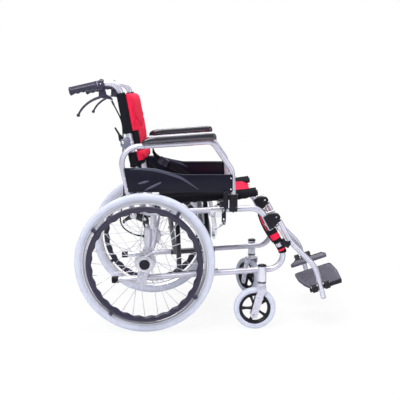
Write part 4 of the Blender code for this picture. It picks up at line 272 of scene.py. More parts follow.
# Each material's lighter edge colour below is partly wear and partly a painted highlight.
HARD = {
    "silver_paint": dict(colour=LAVENDER, rough=0.28, metallic=0.50, coat=0.30, grain=1400.0, relief=0.10,
                         wear_and_highlight=(0.86, 0.86, 0.90)),
    "polished_rim": dict(colour=(0.66, 0.66, 0.72), rough=0.30, metallic=0.70, grain=500.0, relief=0.05),
    "black_plastic": dict(colour=(0.008, 0.0075, 0.013), rough=0.40, grain=1100.0, relief=0.30,
                          wear_and_highlight=(0.035, 0.034, 0.050), specular=0.24),
    "violet_plastic": dict(colour=(0.028, 0.025, 0.050), rough=0.30, coat=0.15, grain=900.0, relief=0.22,
                           wear_and_highlight=(0.10, 0.095, 0.15), specular=0.30),
    "black_paint": dict(colour=(0.018, 0.018, 0.026), rough=0.30, metallic=0.15, coat=0.3, grain=1400.0,
                        relief=0.10, wear_and_highlight=(0.16, 0.16, 0.19), specular=0.35),
    "arm_pad": dict(colour=(0.012, 0.011, 0.022), rough=0.22, coat=1.0, grain=420.0, relief=0.12,
                    wear_and_highlight=(0.030, 0.029, 0.048), specular=0.60),
    "guard_plastic": dict(colour=(0.006, 0.006, 0.016), rough=0.34, grain=800.0, relief=0.25,
                          wear_and_highlight=(0.020, 0.020, 0.036), specular=0.20),
    # A lighter copy of the guard's plastic: painted highlight for the ridge and ribs.
    "guard_ridge_highlight": dict(colour=(0.055, 0.058, 0.098), rough=0.34, coat=0.10, grain=900.0, relief=0.20,
                        wear_and_highlight=(0.10, 0.105, 0.16), specular=0.35),
    "tread_plastic": dict(colour=(0.082, 0.076, 0.108), rough=0.46, grain=600.0, relief=0.25,
                          wear_and_highlight=(0.15, 0.145, 0.19), specular=0.30),
    "bright_steel": dict(colour=(0.72, 0.72, 0.76), rough=0.24, metallic=1.0, grain=900.0, relief=0.06),
    "dull_steel": dict(colour=(0.20, 0.20, 0.27), rough=0.34, metallic=0.60, grain=900.0, relief=0.10),
    "cable_jacket": dict(colour=(0.008, 0.008, 0.011), rough=0.42, grain=1200.0, relief=0.15, specular=0.25),
    "red_thread": dict(colour=(0.55, 0.010, 0.035), rough=0.6, grain=2500.0, relief=0.5, specular=0.2),
    "black_thread": dict(colour=(0.020, 0.020, 0.028), rough=0.55, grain=2500.0, relief=0.5, specular=0.2),
}
FINISH = {name: hard_finish(name, **values) for name, values in HARD.items()}
FINISH["pale_rubber"] = tyre_finish("pale_rubber", (0.60, 0.625, 0.74))
FINISH["webbing"] = cloth_finish("webbing", (0.008, 0.008, 0.012), 0.0016, ("X", "Z"), relief=0.8, sheen=0.06)
for PART, AXES in (("back", ("Y", "Z")), ("seat", ("X", "Y"))):
    FINISH[f"red_{PART}"] = cloth_finish(f"red_{PART}", RED, 0.0022, AXES)
    FINISH[f"black_{PART}"] = cloth_finish(f"black_{PART}", NIGHT, 0.0020, AXES, sheen=0.05)


# Mesh building
def side_view(u, v, w):
    """A side-view outline point (u, v) at the depth w."""
    return Vector((u, w, v))


def turns(count):
    return [tau * i / count for i in range(count)]


def circle(radius, count=24, at=(0.0, 0.0)):
    return [(at[0] + radius * cos(turn), at[1] + radius * sin(turn)) for turn in turns(count)]


def oval(across, up, count):
    return [(u * across, v * up) for u, v in circle(1.0, count)]


def oblong(u0, v0, u1, v1):
    return [(u0, v0), (u1, v0), (u1, v1), (u0, v1)]


def around(place, steps):
    """Points given by their steps away from a place."""
    return [(place[0] + u, place[1] + v) for u, v in steps]


def eased(share, power=2):
    """Rises steeply from 0 and levels out at 1."""
    return sqrt(max(0.0, 1 - (1 - min(1.0, share)) ** power))


def squarer(wave, power):
    """A sine or cosine with its curve made squarer."""
    return copysign(abs(wave) ** power, wave)


def mirrored(profile):
    """A wheel's profile, followed by its mirror image in the wheel's middle plane."""
    return profile + [(radius, -height) for radius, height in reversed(profile)]


def spoke_ways(turn):
    """Directions outwards and forwards round a wheel."""
    return Vector((cos(turn), sin(turn), 0.0)), Vector((-sin(turn), cos(turn), 0.0))


def inset(outline, reach):
    """The outline moved inwards by a small distance (outwards if it is negative)."""
    count = len(outline)
    area = sum(outline[i - 1][0] * outline[i][1] - outline[i][0] * outline[i - 1][1] for i in range(count))
    sign = 1.0 if area > 0 else -1.0
    moved = []
    for i, point in enumerate(outline):
        here = Vector(point)
        before = (here - Vector(outline[i - 1])).normalized()
        after = (Vector(outline[(i + 1) % count]) - here).normalized()
        along = before + after
        if along.length < 0.2:
            along = after
        along.normalize()
        normal = Vector((-along.y, along.x)) * sign
        spread = max(0.5, Vector((-before.y, before.x)).dot(normal) * sign)
        moved.append(tuple(here + normal * (reach / spread)))
    return moved


class Form:
    """Closed bodies gathered into one mesh; paint is the index of a body's material."""

    def __init__(self):
        self.body = bmesh.new()

    def paint_new(self, first, paint):
        self.body.faces.ensure_lookup_table()
        for face in self.body.faces[first:]:
            face.material_index = paint

    def skin(self, rings, paint=0, caps=True, round_trip=False):
        """A skin over rings with equal numbers of points."""
        body = self.body
        first = len(body.faces)
        made = [[body.verts.new(point) for point in ring] for ring in rings]
        pairs = list(zip(made, made[1:]))
        if round_trip:
            pairs.append((made[-1], made[0]))
        count = len(made[0])
        for near, far in pairs:
            for i in range(count):
                j = (i + 1) % count
                body.faces.new((near[i], near[j], far[j], far[i]))
        if caps and not round_trip:
            body.faces.new(made[0][::-1])
            body.faces.new(made[-1])
        self.paint_new(first, paint)
        return made

    def run(self, path, section, paint=0, up=None, scales=None, round_trip=False):
        """A section of (across, up) points carried along a path."""
        path = [Vector(point) for point in path]
        count = len(path)
        rings = []
        carried = None
        for i, point in enumerate(path):
            if round_trip:
                along = (path[(i + 1) % count] - path[i - 1]).normalized()
            else:
                along = (path[min(i + 1, count - 1)] - path[max(i - 1, 0)]).normalized()
            if up is not None:
                lift = Vector(up)
            elif carried is None:
                lift = ACROSS if abs(along.y) < 0.9 else Vector((1.0, 0.0, 0.0))
            else:
                lift = carried
            across = along.cross(lift).normalized()
            lift = across.cross(along).normalized()
            carried = lift
            size = 1.0 if scales is None else scales[i]
            rings.append([point + across * (u * size) + lift * (v * size) for u, v in section])
        return self.skin(rings, paint, round_trip=round_trip)

    def tube(self, path, diameter, paint=0, sides=24, soften=0.0006, scales=None):
        """A round bar along a path, with slightly rounded ends."""
        path = [Vector(point) for point in path]
        start = (path[1] - path[0]).normalized()
        end = (path[-1] - path[-2]).normalized()
        longer = [path[0], path[0] + start * soften, *path[1:-1], path[-1] - end * soften, path[-1]]
        inner = list(scales[1:-1]) if scales else [1.0] * (len(path) - 2)
        ends = (scales[0], scales[-1]) if scales else (1.0, 1.0)
        less = 1.0 - 2 * soften / diameter
        sizes = [ends[0] * less, ends[0], *inner, ends[1], ends[1] * less]
        return self.run(longer, circle(diameter / 2, sides), paint, scales=sizes)

    def turned(self, profile, place, paint=0, segments=48, closed=False):
        """A profile of (radius, height) points about the Z axis of place; a closed one is a ring."""
        if closed:
            rings = [[place @ Vector((r * cos(turn), r * sin(turn), h)) for r, h in profile]
                     for turn in turns(segments)]
            return self.skin(rings, paint, round_trip=True)
        rings = [[place @ Vector((x, y, h)) for x, y in circle(max(r, 0.0001), segments)] for r,
                 h in profile]
        return self.skin(rings, paint)

    def slab(self, outline, low, high, bevel=0.0006, paint=0, holes=(), lay=side_view, steps=2):
        """A plate from an outline, with rounded edges and holes given as outlines."""
        body = self.body
        first = len(body.faces)
        if low > high:
            low, high = high, low
        ends = [[], []]
        for number, loop in enumerate((outline, *holes)):
            sign = 1.0 if number == 0 else -1.0
            rings = []
            for face, way, order in ((low, 1.0, range(steps + 1)), (high, -1.0, range(steps, -1, -1))):
                for k in order:
                    turn = pi / 2 * k / steps
                    edge = inset(loop, sign * bevel * (1 - sin(turn)))
                    rings.append([lay(u, v, face + way * bevel * (1 - cos(turn))) for u, v in edge])
            made = self.skin(rings, paint, caps=not holes)
            for end, ring in zip(ends, (made[0], made[-1])):
                count = len(ring)
                end.extend(body.edges.get((ring[i], ring[(i + 1) % count])) for i in range(count))
        if holes:
            for end in ends:
                bmesh.ops.triangle_fill(body, edges=end, use_beauty=True)
        self.paint_new(first, paint)

    def bar(self, centre, size, turn=None, corner=0.002, bevel=0.001, paint=0):
        """A block with rounded corners in X and Z and rounded rims in Y."""
        turn = turn or Matrix.Identity(3)
        centre = Vector(centre)
        x, y, z = (length / 2 for length in size)
        outline = rounded(oblong(-x, -z, x, z), corner, radians(25))

        def lay(u, v, w):
            return centre + turn @ Vector((u, w, v))
        self.slab(outline, -y, y, bevel, paint, lay=lay)

    def bolt(self, start, end, diameter, paint=0, sides=20, recess=True):
        """A screw head standing from start to end: a dome, or a hexagon if it has six sides."""
        along = Vector(end) - Vector(start)
        height, radius = along.length, diameter / 2
        place = Matrix.Translation(start) @ along.to_track_quat("Z", "Y").to_matrix().to_4x4()
        profile = [(radius, 0.0)]
        if sides == 6:
            profile += [(radius, height * 0.78), (radius * 0.90, height)]
        else:
            profile += [(radius * cos(radians(a)) * 0.98, height * (0.25 + 0.75 * sin(radians(a))))
                        for a in (5, 25, 45, 65)]
        if recess:
            profile += [(radius * 0.42, profile[-1][1]), (radius * 0.36, height * 0.45)]
        self.turned(profile, place, paint, sides)

    def screw(self, place, low, high, diameter, paint=0, sides=20, recess=True):
        """A screw head across the chair, at a side-view place."""
        x, z = place
        self.bolt((x, low, z), (x, high, z), diameter, paint, sides, recess)

    def rod(self, place, low, high, diameter, paint=0, sides=24, soften=0.0005):
        """A rod across the chair, at a side-view place."""
        x, z = place
        self.tube([(x, low, z), (x, high, z)], diameter, paint, sides, soften)

    def end_cap(self, path, inward, outward, diameter, paint, soften):
        """A cap over the last point of a path."""
        tip = Vector(path[-1])
        along = (tip - Vector(path[-2])).normalized()
        self.tube([tip - along * inward, tip + along * outward], diameter, paint, sides=32, soften=soften)

    def bead(self, point, direction, radius, other, other_direction, other_radius, thick=0.0013, paint=0):
        """A weld bead where a bar meets the side of another one."""
        along = Vector(direction).normalized()
        axis = Vector(other_direction).normalized()
        across = along.cross(axis).normalized()
        third = along.cross(across).normalized()
        path = []
        for turn in turns(36):
            start = Vector(point) + across * (radius * cos(turn)) + third * (radius * sin(turn))
            gap = start - Vector(other)
            flat = gap - axis * gap.dot(axis)
            step = along - axis * along.dot(axis)
            a, b, c = step.dot(step), 2 * flat.dot(step), flat.dot(flat) - other_radius ** 2
            root = b * b - 4 * a * c
            reach = (-b - sqrt(root)) / (2 * a) if root > 0 else -b / (2 * a)
            path.append(start + along * reach)
        self.run(path, circle(thick, 8), paint, round_trip=True)


def rounded(outline, radius, step=radians(15)):
    """A closed outline with every corner rounded; radius is one value or one for each corner."""
    count = len(outline)
    radii = radius if isinstance(radius, (list, tuple)) else [radius] * count
    points = []
    for i, corner in enumerate(outline):
        here = Vector(corner)
        back = Vector(outline[i - 1]) - here
        ahead = Vector(outline[(i + 1) % count]) - here
        turn = pi - back.angle(ahead)
        reach = min(radii[i] * tan(turn / 2), 0.49 * min(back.length, ahead.length))
        if reach < 0.0002:
            points.append((here.x, here.y))
            continue
        start = here + back.normalized() * reach
        end = here + ahead.normalized() * reach
        steps = max(2, round(turn / step))
        for k in range(steps + 1):
            share = k / steps
            bend = start * (1 - share) ** 2 + here * 2 * share * (1 - share) + end * share ** 2
            points.append((bend.x, bend.y))
    return points


def bent(corners, radii, step=radians(5)):
    """A path through corner points, each inner corner rounded to its bend radius."""
    corners = [Vector(corner) for corner in corners]
    points = [corners[0]]
    for i, radius in enumerate(radii, start=1):
        back = (corners[i - 1] - corners[i]).normalized()
        ahead = (corners[i + 1] - corners[i]).normalized()
        turn = pi - back.angle(ahead)
        reach = radius * tan(turn / 2)
        centre = corners[i] + (back + ahead).normalized() * (radius / cos(turn / 2))
        start = corners[i] + back * reach - centre
        end = corners[i] + ahead * reach - centre
        count = max(2, round(turn / step))
        for k in range(count + 1):
            share = k / count
            arm = (start * sin((1 - share) * turn) + end * sin(share * turn)) / sin(turn)
            points.append(centre + arm)
    points.append(corners[-1])
    return points


def spline(points, pieces=6):
    """A smooth path through points."""
    points = [Vector(point) for point in points]
    ends = [points[0] * 2 - points[1], *points, points[-1] * 2 - points[-2]]
    path = []
    for i in range(1, len(ends) - 2):
        a, b, c, d = ends[i - 1:i + 3]
        for k in range(pieces):
            t = k / pieces
            path.append((b * 2 + (c - a) * t + (a * 2 - b * 5 + c * 4 - d) * t * t
                         + (b * 3 - a - c * 3 + d) * t ** 3) / 2)
    path.append(points[-1])
    return path


def at_side(points, y):
    return [Vector((x, y, z)) for x, z in points]


def piece(name, form, body, paints, stands_for=(), sharp=35.0, rides=True):
    """One named object in the row frame, with its materials, body and nodes."""
    mesh = bpy.data.meshes.new(name)
    bmesh.ops.recalc_face_normals(form.body, faces=form.body.faces)
    form.body.to_mesh(mesh)
    form.body.free()
    mesh.transform(Matrix.Translation(SHIFT))
    for paint in paints:
        mesh.materials.append(FINISH[paint])
    mesh.shade_smooth()
    mesh.set_sharp_from_angle(angle=radians(sharp))
    thing = bpy.data.objects.new(name, mesh)
    bpy.context.scene.collection.objects.link(thing)
    if rides:
        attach(thing, body)
    if stands_for:
        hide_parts(*stands_for)
    return thing


# Lines of the chair
def upper_rail(x):
    return UPPER_RAIL_HEIGHT + tan(UPPER_RAIL_SLOPE) * x


def lower_rail(x):
    return LOWER_RAIL_HEIGHT + tan(LOWER_RAIL_SLOPE) * x


def cane(z):
    return CANE_FOOT - tan(CANE_LEAN) * (z - CANE_FOOT_HEIGHT)


def front(along, out):
    """Side-view point by distance down the front tube and distance in front of it."""
    return (FRONT_MARK[0] + along * sin(FRONT_LEAN) + out * cos(FRONT_LEAN),
            FRONT_MARK[1] - along * cos(FRONT_LEAN) + out * sin(FRONT_LEAN))


def behind_cane(z, back):
    return (cane(z) - back * cos(CANE_LEAN), z - back * sin(CANE_LEAN))


FOLD_PIN_PLACE = behind_cane(FOLD_HEIGHT, FOLD_PIN_BACK)
BRACE_TURN = Matrix.Rotation(-LOWER_RAIL_SLOPE, 3, "Y")


def in_brace(x, y, rise):
    return BRACE_TURN @ Vector((x, y, rise)) + Vector((0.0, 0.0, LOWER_RAIL_HEIGHT))


def frame_loop(y):
    top = (FRONT_CORNER, upper_rail(FRONT_CORNER))
    lean, slope = tan(FRONT_LEAN), tan(LOWER_RAIL_SLOPE)
    foot_x = (top[0] + lean * (top[1] - LOWER_RAIL_HEIGHT)) / (1 + lean * slope)
    foot = (foot_x, lower_rail(foot_x))
    ends = ((cane(UPPER_RAIL_HEIGHT), upper_rail(cane(UPPER_RAIL_HEIGHT))),
            (LOWER_RAIL_END, lower_rail(LOWER_RAIL_END)))
    return bent(at_side([ends[0], top, foot, ends[1]], y), [FRONT_BEND, LOWER_BEND])


def upright_path(y):
    joint = behind_cane(FOLD_HEIGHT - 0.002, 0.0)
    corners = [(UPRIGHT_X - 0.021, 0.166), (UPRIGHT_X, 0.272), (UPRIGHT_X, 0.355), joint]
    return bent(at_side(corners, y), [0.10, 0.12])


def handle_point(x):
    corner = (cane(HANDLE_CORNER_HEIGHT), HANDLE_CORNER_HEIGHT)
    return (x, corner[1] - tan(HANDLE_SLOPE) * (corner[0] - x))


def upper_cane_path(y):
    start = behind_cane(FOLD_HEIGHT + 0.0015, 0.0)
    corner = (cane(HANDLE_CORNER_HEIGHT), HANDLE_CORNER_HEIGHT)
    return bent(at_side([start, corner, handle_point(GRIP_END + 0.010)], y), [HANDLE_BEND])


def seat_rail_path(s):
    start = in_brace(SEAT_RAIL_FROM, s * PIVOT_HALF, SEAT_RISE)
    knee = in_brace(SEAT_RAIL_BEND, s * PIVOT_HALF, SEAT_RISE)
    rest = SEAT_RAIL_TO - SEAT_RAIL_BEND
    end = in_brace(SEAT_RAIL_TO, s * PIVOT_HALF, SEAT_RISE + rest * tan(SEAT_RAIL_TURN))
    return bent([start, knee, end], [0.20], radians(2))


def armrest_path(y):
    rear, front_x = ARM_REAR_CORNER, ARM_FRONT_CORNER
    top_front = (front_x, rear[1] + tan(ARM_TOP_SLOPE) * (front_x - rear[0]))
    knee = (front_x + tan(ARM_SLANT) * (top_front[1] - ARM_KNEE_HEIGHT), ARM_KNEE_HEIGHT)
    foot = (knee[0] - tan(ARM_FRONT_LEAN) * (knee[1] - ARM_FOOT_HEIGHT), ARM_FOOT_HEIGHT)
    return bent(at_side([ARM_PIVOT, rear, top_front, knee, foot], y), ARM_BENDS)


def arm_top(x):
    return ARM_REAR_CORNER[1] + tan(ARM_TOP_SLOPE) * (x - ARM_REAR_CORNER[0])


def arm_front_x(z):
    foot, above = armrest_path(0.0)[-1], armrest_path(0.0)[-2]
    return foot.x + (above.x - foot.x) * (z - foot.z) / (above.z - foot.z)


def arm_rear_x(z):
    share = (z - ARM_PIVOT[1]) / (ARM_REAR_CORNER[1] - ARM_PIVOT[1])
    return ARM_PIVOT[0] + (ARM_REAR_CORNER[0] - ARM_PIVOT[0]) * share


def hanger_points():
    top, knee = front(0.004, HANGER_OUT), front(HANGER_KNEE, HANGER_OUT)
    low_z = HANGER_FOOT_CORNER_HEIGHT
    low = (knee[0] + tan(HANGER_SLANT) * (knee[1] - low_z), low_z)
    foot = (low[0] + tan(HANGER_FOOT_LEAN) * (low_z - HANGER_FOOT_HEIGHT), HANGER_FOOT_HEIGHT)
    return top, knee, low, foot


def footplate_pin(side):
    low = hanger_points()[2]
    z = FOOTPLATE_HEIGHTS[side]
    return (low[0] + tan(HANGER_FOOT_LEAN) * (low[1] - z), z)


# Side frames
def side_frame(side, s):
    """Bent frame loop, upright and sleeve, caster housing, axle plate and the brake's back disc."""
    y = s * FRAME_HALF
    body = f"{side}_frame"
    form = Form()
    form.tube(frame_loop(y), FRAME_TUBE, sides=32)
    form.tube(upright_path(y), UPRIGHT_TUBE, sides=32)
    sleeve = [(UPRIGHT_X, AXLE_HEIGHT + 0.032), (UPRIGHT_X, UPPER_RAIL_HEIGHT - 0.058)]
    form.tube(at_side(sleeve, y), SLEEVE_TUBE, sides=32, soften=0.0016)
    socket = [(cane(z), z) for z in (FOLD_HEIGHT - 0.034, FOLD_HEIGHT - 0.003)]
    form.tube(at_side(socket, y), FRAME_TUBE + 0.004, sides=32, soften=0.0010)
    upper, lower = (Vector((1.0, 0.0, tan(slope))) for slope in (UPPER_RAIL_SLOPE, LOWER_RAIL_SLOPE))
    lean, upright = Vector((-tan(CANE_LEAN), 0.0, 1.0)), Vector((0.19, 0.0, 1.0))
    x = cane(UPPER_RAIL_HEIGHT)
    joint = Vector((x, y, upper_rail(x)))
    form.bead(joint + upper * 0.06, -upper, FRAME_TUBE / 2, joint, lean, UPRIGHT_TUBE / 2)
    x = UPRIGHT_X - 0.017
    joint = Vector((x, y, lower_rail(x)))
    for way in (1, -1):
        form.bead(joint + upright * (way * 0.05), upright * -way, UPRIGHT_TUBE / 2, joint, lower,
                  FRAME_TUBE / 2)
    form.turned([(HOUSING / 2 - 0.001, HOUSING_FOOT), (HOUSING / 2, HOUSING_FOOT + 0.001),
                 (HOUSING / 2, HOUSING_TOP - 0.006), (HOUSING / 2 - 0.0006, HOUSING_TOP - 0.0052)],
                Matrix.Translation((CASTER_X, s * CASTER_HALF, 0.0)), segments=40)
    web_x = frame_loop(y)[-2].x - 0.032
    web = [(web_x, lower_rail(web_x) + 0.004), (CASTER_X + 0.012, 0.234), (CASTER_X + 0.012, 0.184),
           (web_x, lower_rail(web_x) - 0.006)]
    form.slab(web, s * (FRAME_HALF + 0.006), s * (FRAME_HALF + 0.012), 0.001)
    inner, outer = FRAME_SKIN - 0.002, FRAME_SKIN + 0.0075
    axle_plate = rounded([(0.020, 0.302), (-0.006, 0.302), (-0.020, 0.262), (-0.029, 0.200), (-0.030, 0.168),
                          (0.002, 0.168), (0.006, 0.192), (0.017, 0.214), (0.022, 0.262)], 0.010)
    form.slab(axle_plate, s * outer, s * inner, 0.0022, steps=3)
    brake_arm = rounded([(0.014, 0.286), (0.022, 0.281), (0.027, 0.284), (0.031, 0.300), (0.042, 0.368),
                         (0.041, 0.380), (0.034, 0.383), (0.027, 0.378), (0.028, 0.340)], 0.006)
    form.slab(brake_arm, s * (outer + 0.0010), s * (FRAME_SKIN + 0.0035), 0.0016)
    form.screw((0.035, 0.372), s * (outer + 0.001), s * (outer + 0.004), 0.009, sides=6)
    axle, disc_edge = (0.0, AXLE_HEIGHT), WHEEL_HALF - HUB_HALF - 0.0035
    form.rod(axle, s * (FRAME_SKIN + 0.001), s * disc_edge, DRUM_DIAMETER - 0.004, sides=48, soften=0.0012)
    form.rod(axle, s * disc_edge, s * (WHEEL_HALF + 0.0175), 0.012)
    piece(f"frame_{side}", form, body, ["silver_paint"], [f"side_frame_{side}"])
    frame_fold_parts(side, s, body)
    frame_trim(side, s, body)


def frame_fold_parts(side, s, body):
    """Plain steel parts of the frame: cheeks and pin of the back's fold, and the parking brake's plate."""
    form = Form()
    low, high = FOLD_HEIGHT - 0.034, FOLD_HEIGHT - 0.003
    pin = FOLD_PIN_PLACE
    outline = rounded([(cane(low) + 0.002, low), (cane(high) - 0.001, high + 0.016),
                       (cane(high) - 0.012, high + 0.021),
                       *around(pin, [(-0.009, 0.008), (-0.009, -0.012), (0.001, -0.022)]),
                       (cane(low) - 0.010, low)], 0.004)
    for out in (1, -1):
        face = FRAME_HALF + out * (FRAME_TUBE / 2 + FIT)
        form.slab(outline, s * face, s * (face + out * 0.0020), 0.0005, 1)
        head = FRAME_HALF + out * (FRAME_TUBE / 2 + FIT + 0.0020)
        form.screw(pin, s * head, s * (head + out * 0.0024), 0.0105)
    inner, outer = FRAME_SKIN - 0.0015, FRAME_SKIN + 0.0030
    shoe, lever = BRAKE_SHOE_PIVOT, BRAKE_LEVER_PIVOT
    base = rounded([(shoe[0] - 0.011, upper_rail(shoe[0]) + 0.006), (shoe[0] - 0.011, shoe[1] - 0.011),
                    (lever[0] - 0.009, shoe[1] - 0.011), (lever[0] - 0.009, lever[1] - 0.010),
                    (lever[0] + 0.009, lever[1] - 0.010), (lever[0] + 0.009, upper_rail(lever[0]) + 0.008)],
                   0.004)
    form.slab(base, s * outer, s * inner, 0.0006)
    pin_end = outer + 0.004 + 2 * FIT
    for place in (shoe, lever):
        form.rod(place, s * inner, s * pin_end, 0.005)
        form.screw(place, s * pin_end, s * (pin_end + 0.0022), 0.0085, recess=False)
    piece(f"frame_plates_{side}", form, body, ["bright_steel", "dull_steel"])


def frame_trim(side, s, body):
    """Black parts of the frame: rail plug, caster caps, saddles, brace lugs and pins, cable stop."""
    y = s * FRAME_HALF
    form = Form()
    end = LOWER_RAIL_END - 0.026 / 2 + 0.004
    form.bar((end, y, lower_rail(end)), (0.026, 0.0235, 0.0235), BRACE_TURN, 0.004, 0.004)
    form.bar((end - 0.0115, y, lower_rail(end - 0.0115)), (0.004, 0.019, 0.019), BRACE_TURN, 0.0015, 0.003)
    radius = HOUSING / 2
    top_cap = around((radius, HOUSING_TOP), [(-0.0012, -0.0085), (0.0004, -0.0062), (0.0004, -0.0030),
                                             (-0.0012, -0.0012), (-0.0052, 0.0006)])
    foot_cap = around((radius, HOUSING_FOOT), [(-0.0015, -0.0002), (0.0003, 0.0008), (0.0003, 0.0042),
                                               (-0.0012, 0.0056)])
    for profile in (top_cap + [(0.0001, HOUSING_TOP + 0.0012)], foot_cap):
        form.turned(profile, Matrix.Translation((CASTER_X, s * CASTER_HALF, 0.0)), segments=40)
    cup_radius = FRAME_TUBE / 2 + FIT
    for place in SADDLES:
        seat = in_brace(place, s * PIVOT_HALF, SEAT_RISE)
        rail_z, lip = upper_rail(seat.x), seat.z - 0.0065
        inboard, outboard = PIVOT_HALF - FRAME_TUBE / 2 - 0.004, FRAME_HALF + 0.006
        cup = [(PIVOT_HALF + cup_radius * cos(radians(a)), seat.z + cup_radius * sin(radians(a)))
               for a in range(-36, -150, -9)]
        outline = [(inboard, lip), (inboard, seat.z - 0.016), (FRAME_HALF - 0.008, rail_z - 0.004),
                   (outboard, rail_z), (outboard, seat.z - 0.018), (PIVOT_HALF + FRAME_TUBE / 2 + 0.002, lip),
                   *cup]
        form.slab(outline, seat.x - 0.009, seat.x + 0.009, 0.0010, lay=lambda u, v, w: Vector((w, s * u, v)))
    lug = rounded(oblong(PIVOT_HALF - 0.0095, -0.0095, FRAME_HALF, 0.0095), [0.006, 0.001, 0.001, 0.006])
    for near, far, reach in ((BRACE_FROM - 0.0056, BRACE_FROM - 0.0006, 0.012),
                             (BRACE_TO + 0.0006, BRACE_TO + 0.0056, -0.012)):
        form.slab(lug, near, far, 0.0008, lay=lambda u, v, w: in_brace(w, s * u, v))
        form.tube([in_brace(x, s * PIVOT_HALF, 0.0) for x in (near + 0.001, far + reach)], 0.010)
    stop = [(-0.006, s * (FRAME_HALF + 0.004), 0.3415), (-0.0175, s * (FRAME_HALF - 0.004), 0.3425)]
    form.tube(stop, 0.009)
    tail = Vector(stop[1]) + Vector((-0.012, s * -0.0006, 0.0012))
    form.tube([stop[1], tail], 0.0066, scales=[1.0, 0.8])
    piece(f"frame_trim_{side}", form, body, ["black_plastic"])


# Folding back and handles
def upper_back_metal(side, s):
    """Upper cane with its knuckle, then the fold's release lever, the push grip and the hand brake."""
    y = s * FRAME_HALF
    body = f"back_{side}"
    form = Form()
    form.tube(upper_cane_path(y), FRAME_TUBE, sides=32)
    pin = FOLD_PIN_PLACE
    base = FOLD_HEIGHT + 0.003
    knuckle = rounded([(cane(base) + 0.002, base + 0.001), (cane(base + 0.026), base + 0.026),
                       *around(pin, [(0.002, 0.013), (-0.0070, 0.004), (-0.0060, -0.005), (0.002, -0.0065)])],
                      0.003)
    form.slab(knuckle, s * (FRAME_HALF + 0.0060), s * (FRAME_HALF - 0.0060), 0.0010)
    piece(f"cane_{side}", form, body, ["silver_paint"], [f"upper_cane_{side}"])

    form = Form()
    near, far = FRAME_HALF + 0.0060 + FIT, FRAME_SKIN - FIT
    form.rod(pin, s * near, s * far, 0.015, soften=0.0006)
    lever = around(pin, [(0.004, 0.004), (-0.0045, 0.0260), (-0.0100, 0.0300), (-0.0262, 0.0555),
                         (-0.0315, 0.0530), (-0.0175, 0.0280), (-0.0150, 0.0080), (-0.0065, -0.002)])
    form.slab(rounded(lever, 0.0035), s * near, s * far, 0.0009)
    piece(f"fold_release_{side}", form, f"fold_release_{side}", ["black_plastic"],
          [f"fold_release_lever_{side}"])
    push_grip(side, y, body)
    hand_brake(side, s, body)


def push_grip(side, y, body):
    """Moulded grip with swollen ends, finger waves underneath and fine ribs beside them."""
    slope = Vector((cos(HANDLE_SLOPE), 0.0, sin(HANDLE_SLOPE)))
    up = Vector((-sin(HANDLE_SLOPE), 0.0, cos(HANDLE_SLOPE)))
    x, z = handle_point(GRIP_END)
    start = Vector((x, y, z))
    count, rings = 96, []
    for i in range(count + 1):
        share = i / count
        along = GRIP_LENGTH * share / slope.x
        swell = 1.0 + 0.07 * exp(-((share - 0.98) / 0.025) ** 2) + 0.06 * exp(-((share - 0.04) / 0.03) ** 2)
        swell *= min(1.0, 0.80 + 0.20 * sqrt(min(1.0, share / 0.03)))
        waves = (1 - cos(tau * 4 * min(1.0, max(0.0, (share - 0.08) / 0.80)))) / 2
        ribs = 0.00035 * (1 if 0.10 < share < 0.90 and i % 3 == 0 else 0)
        ring = []
        for turn in turns(40):
            below, beside = max(0.0, -sin(turn)) ** 1.5, abs(cos(turn)) ** 3
            radius = GRIP_DIAMETER / 2 * swell - 0.0028 * waves * below - ribs * beside
            ring.append(start + slope * along + ACROSS * (radius * cos(turn)) + up * (radius * sin(turn)))
        rings.append(ring)
    form = Form()
    form.skin(rings)
    piece(f"grip_{side}", form, body, ["violet_plastic"], [f"handle_grip_{side}"], sharp=50.0)


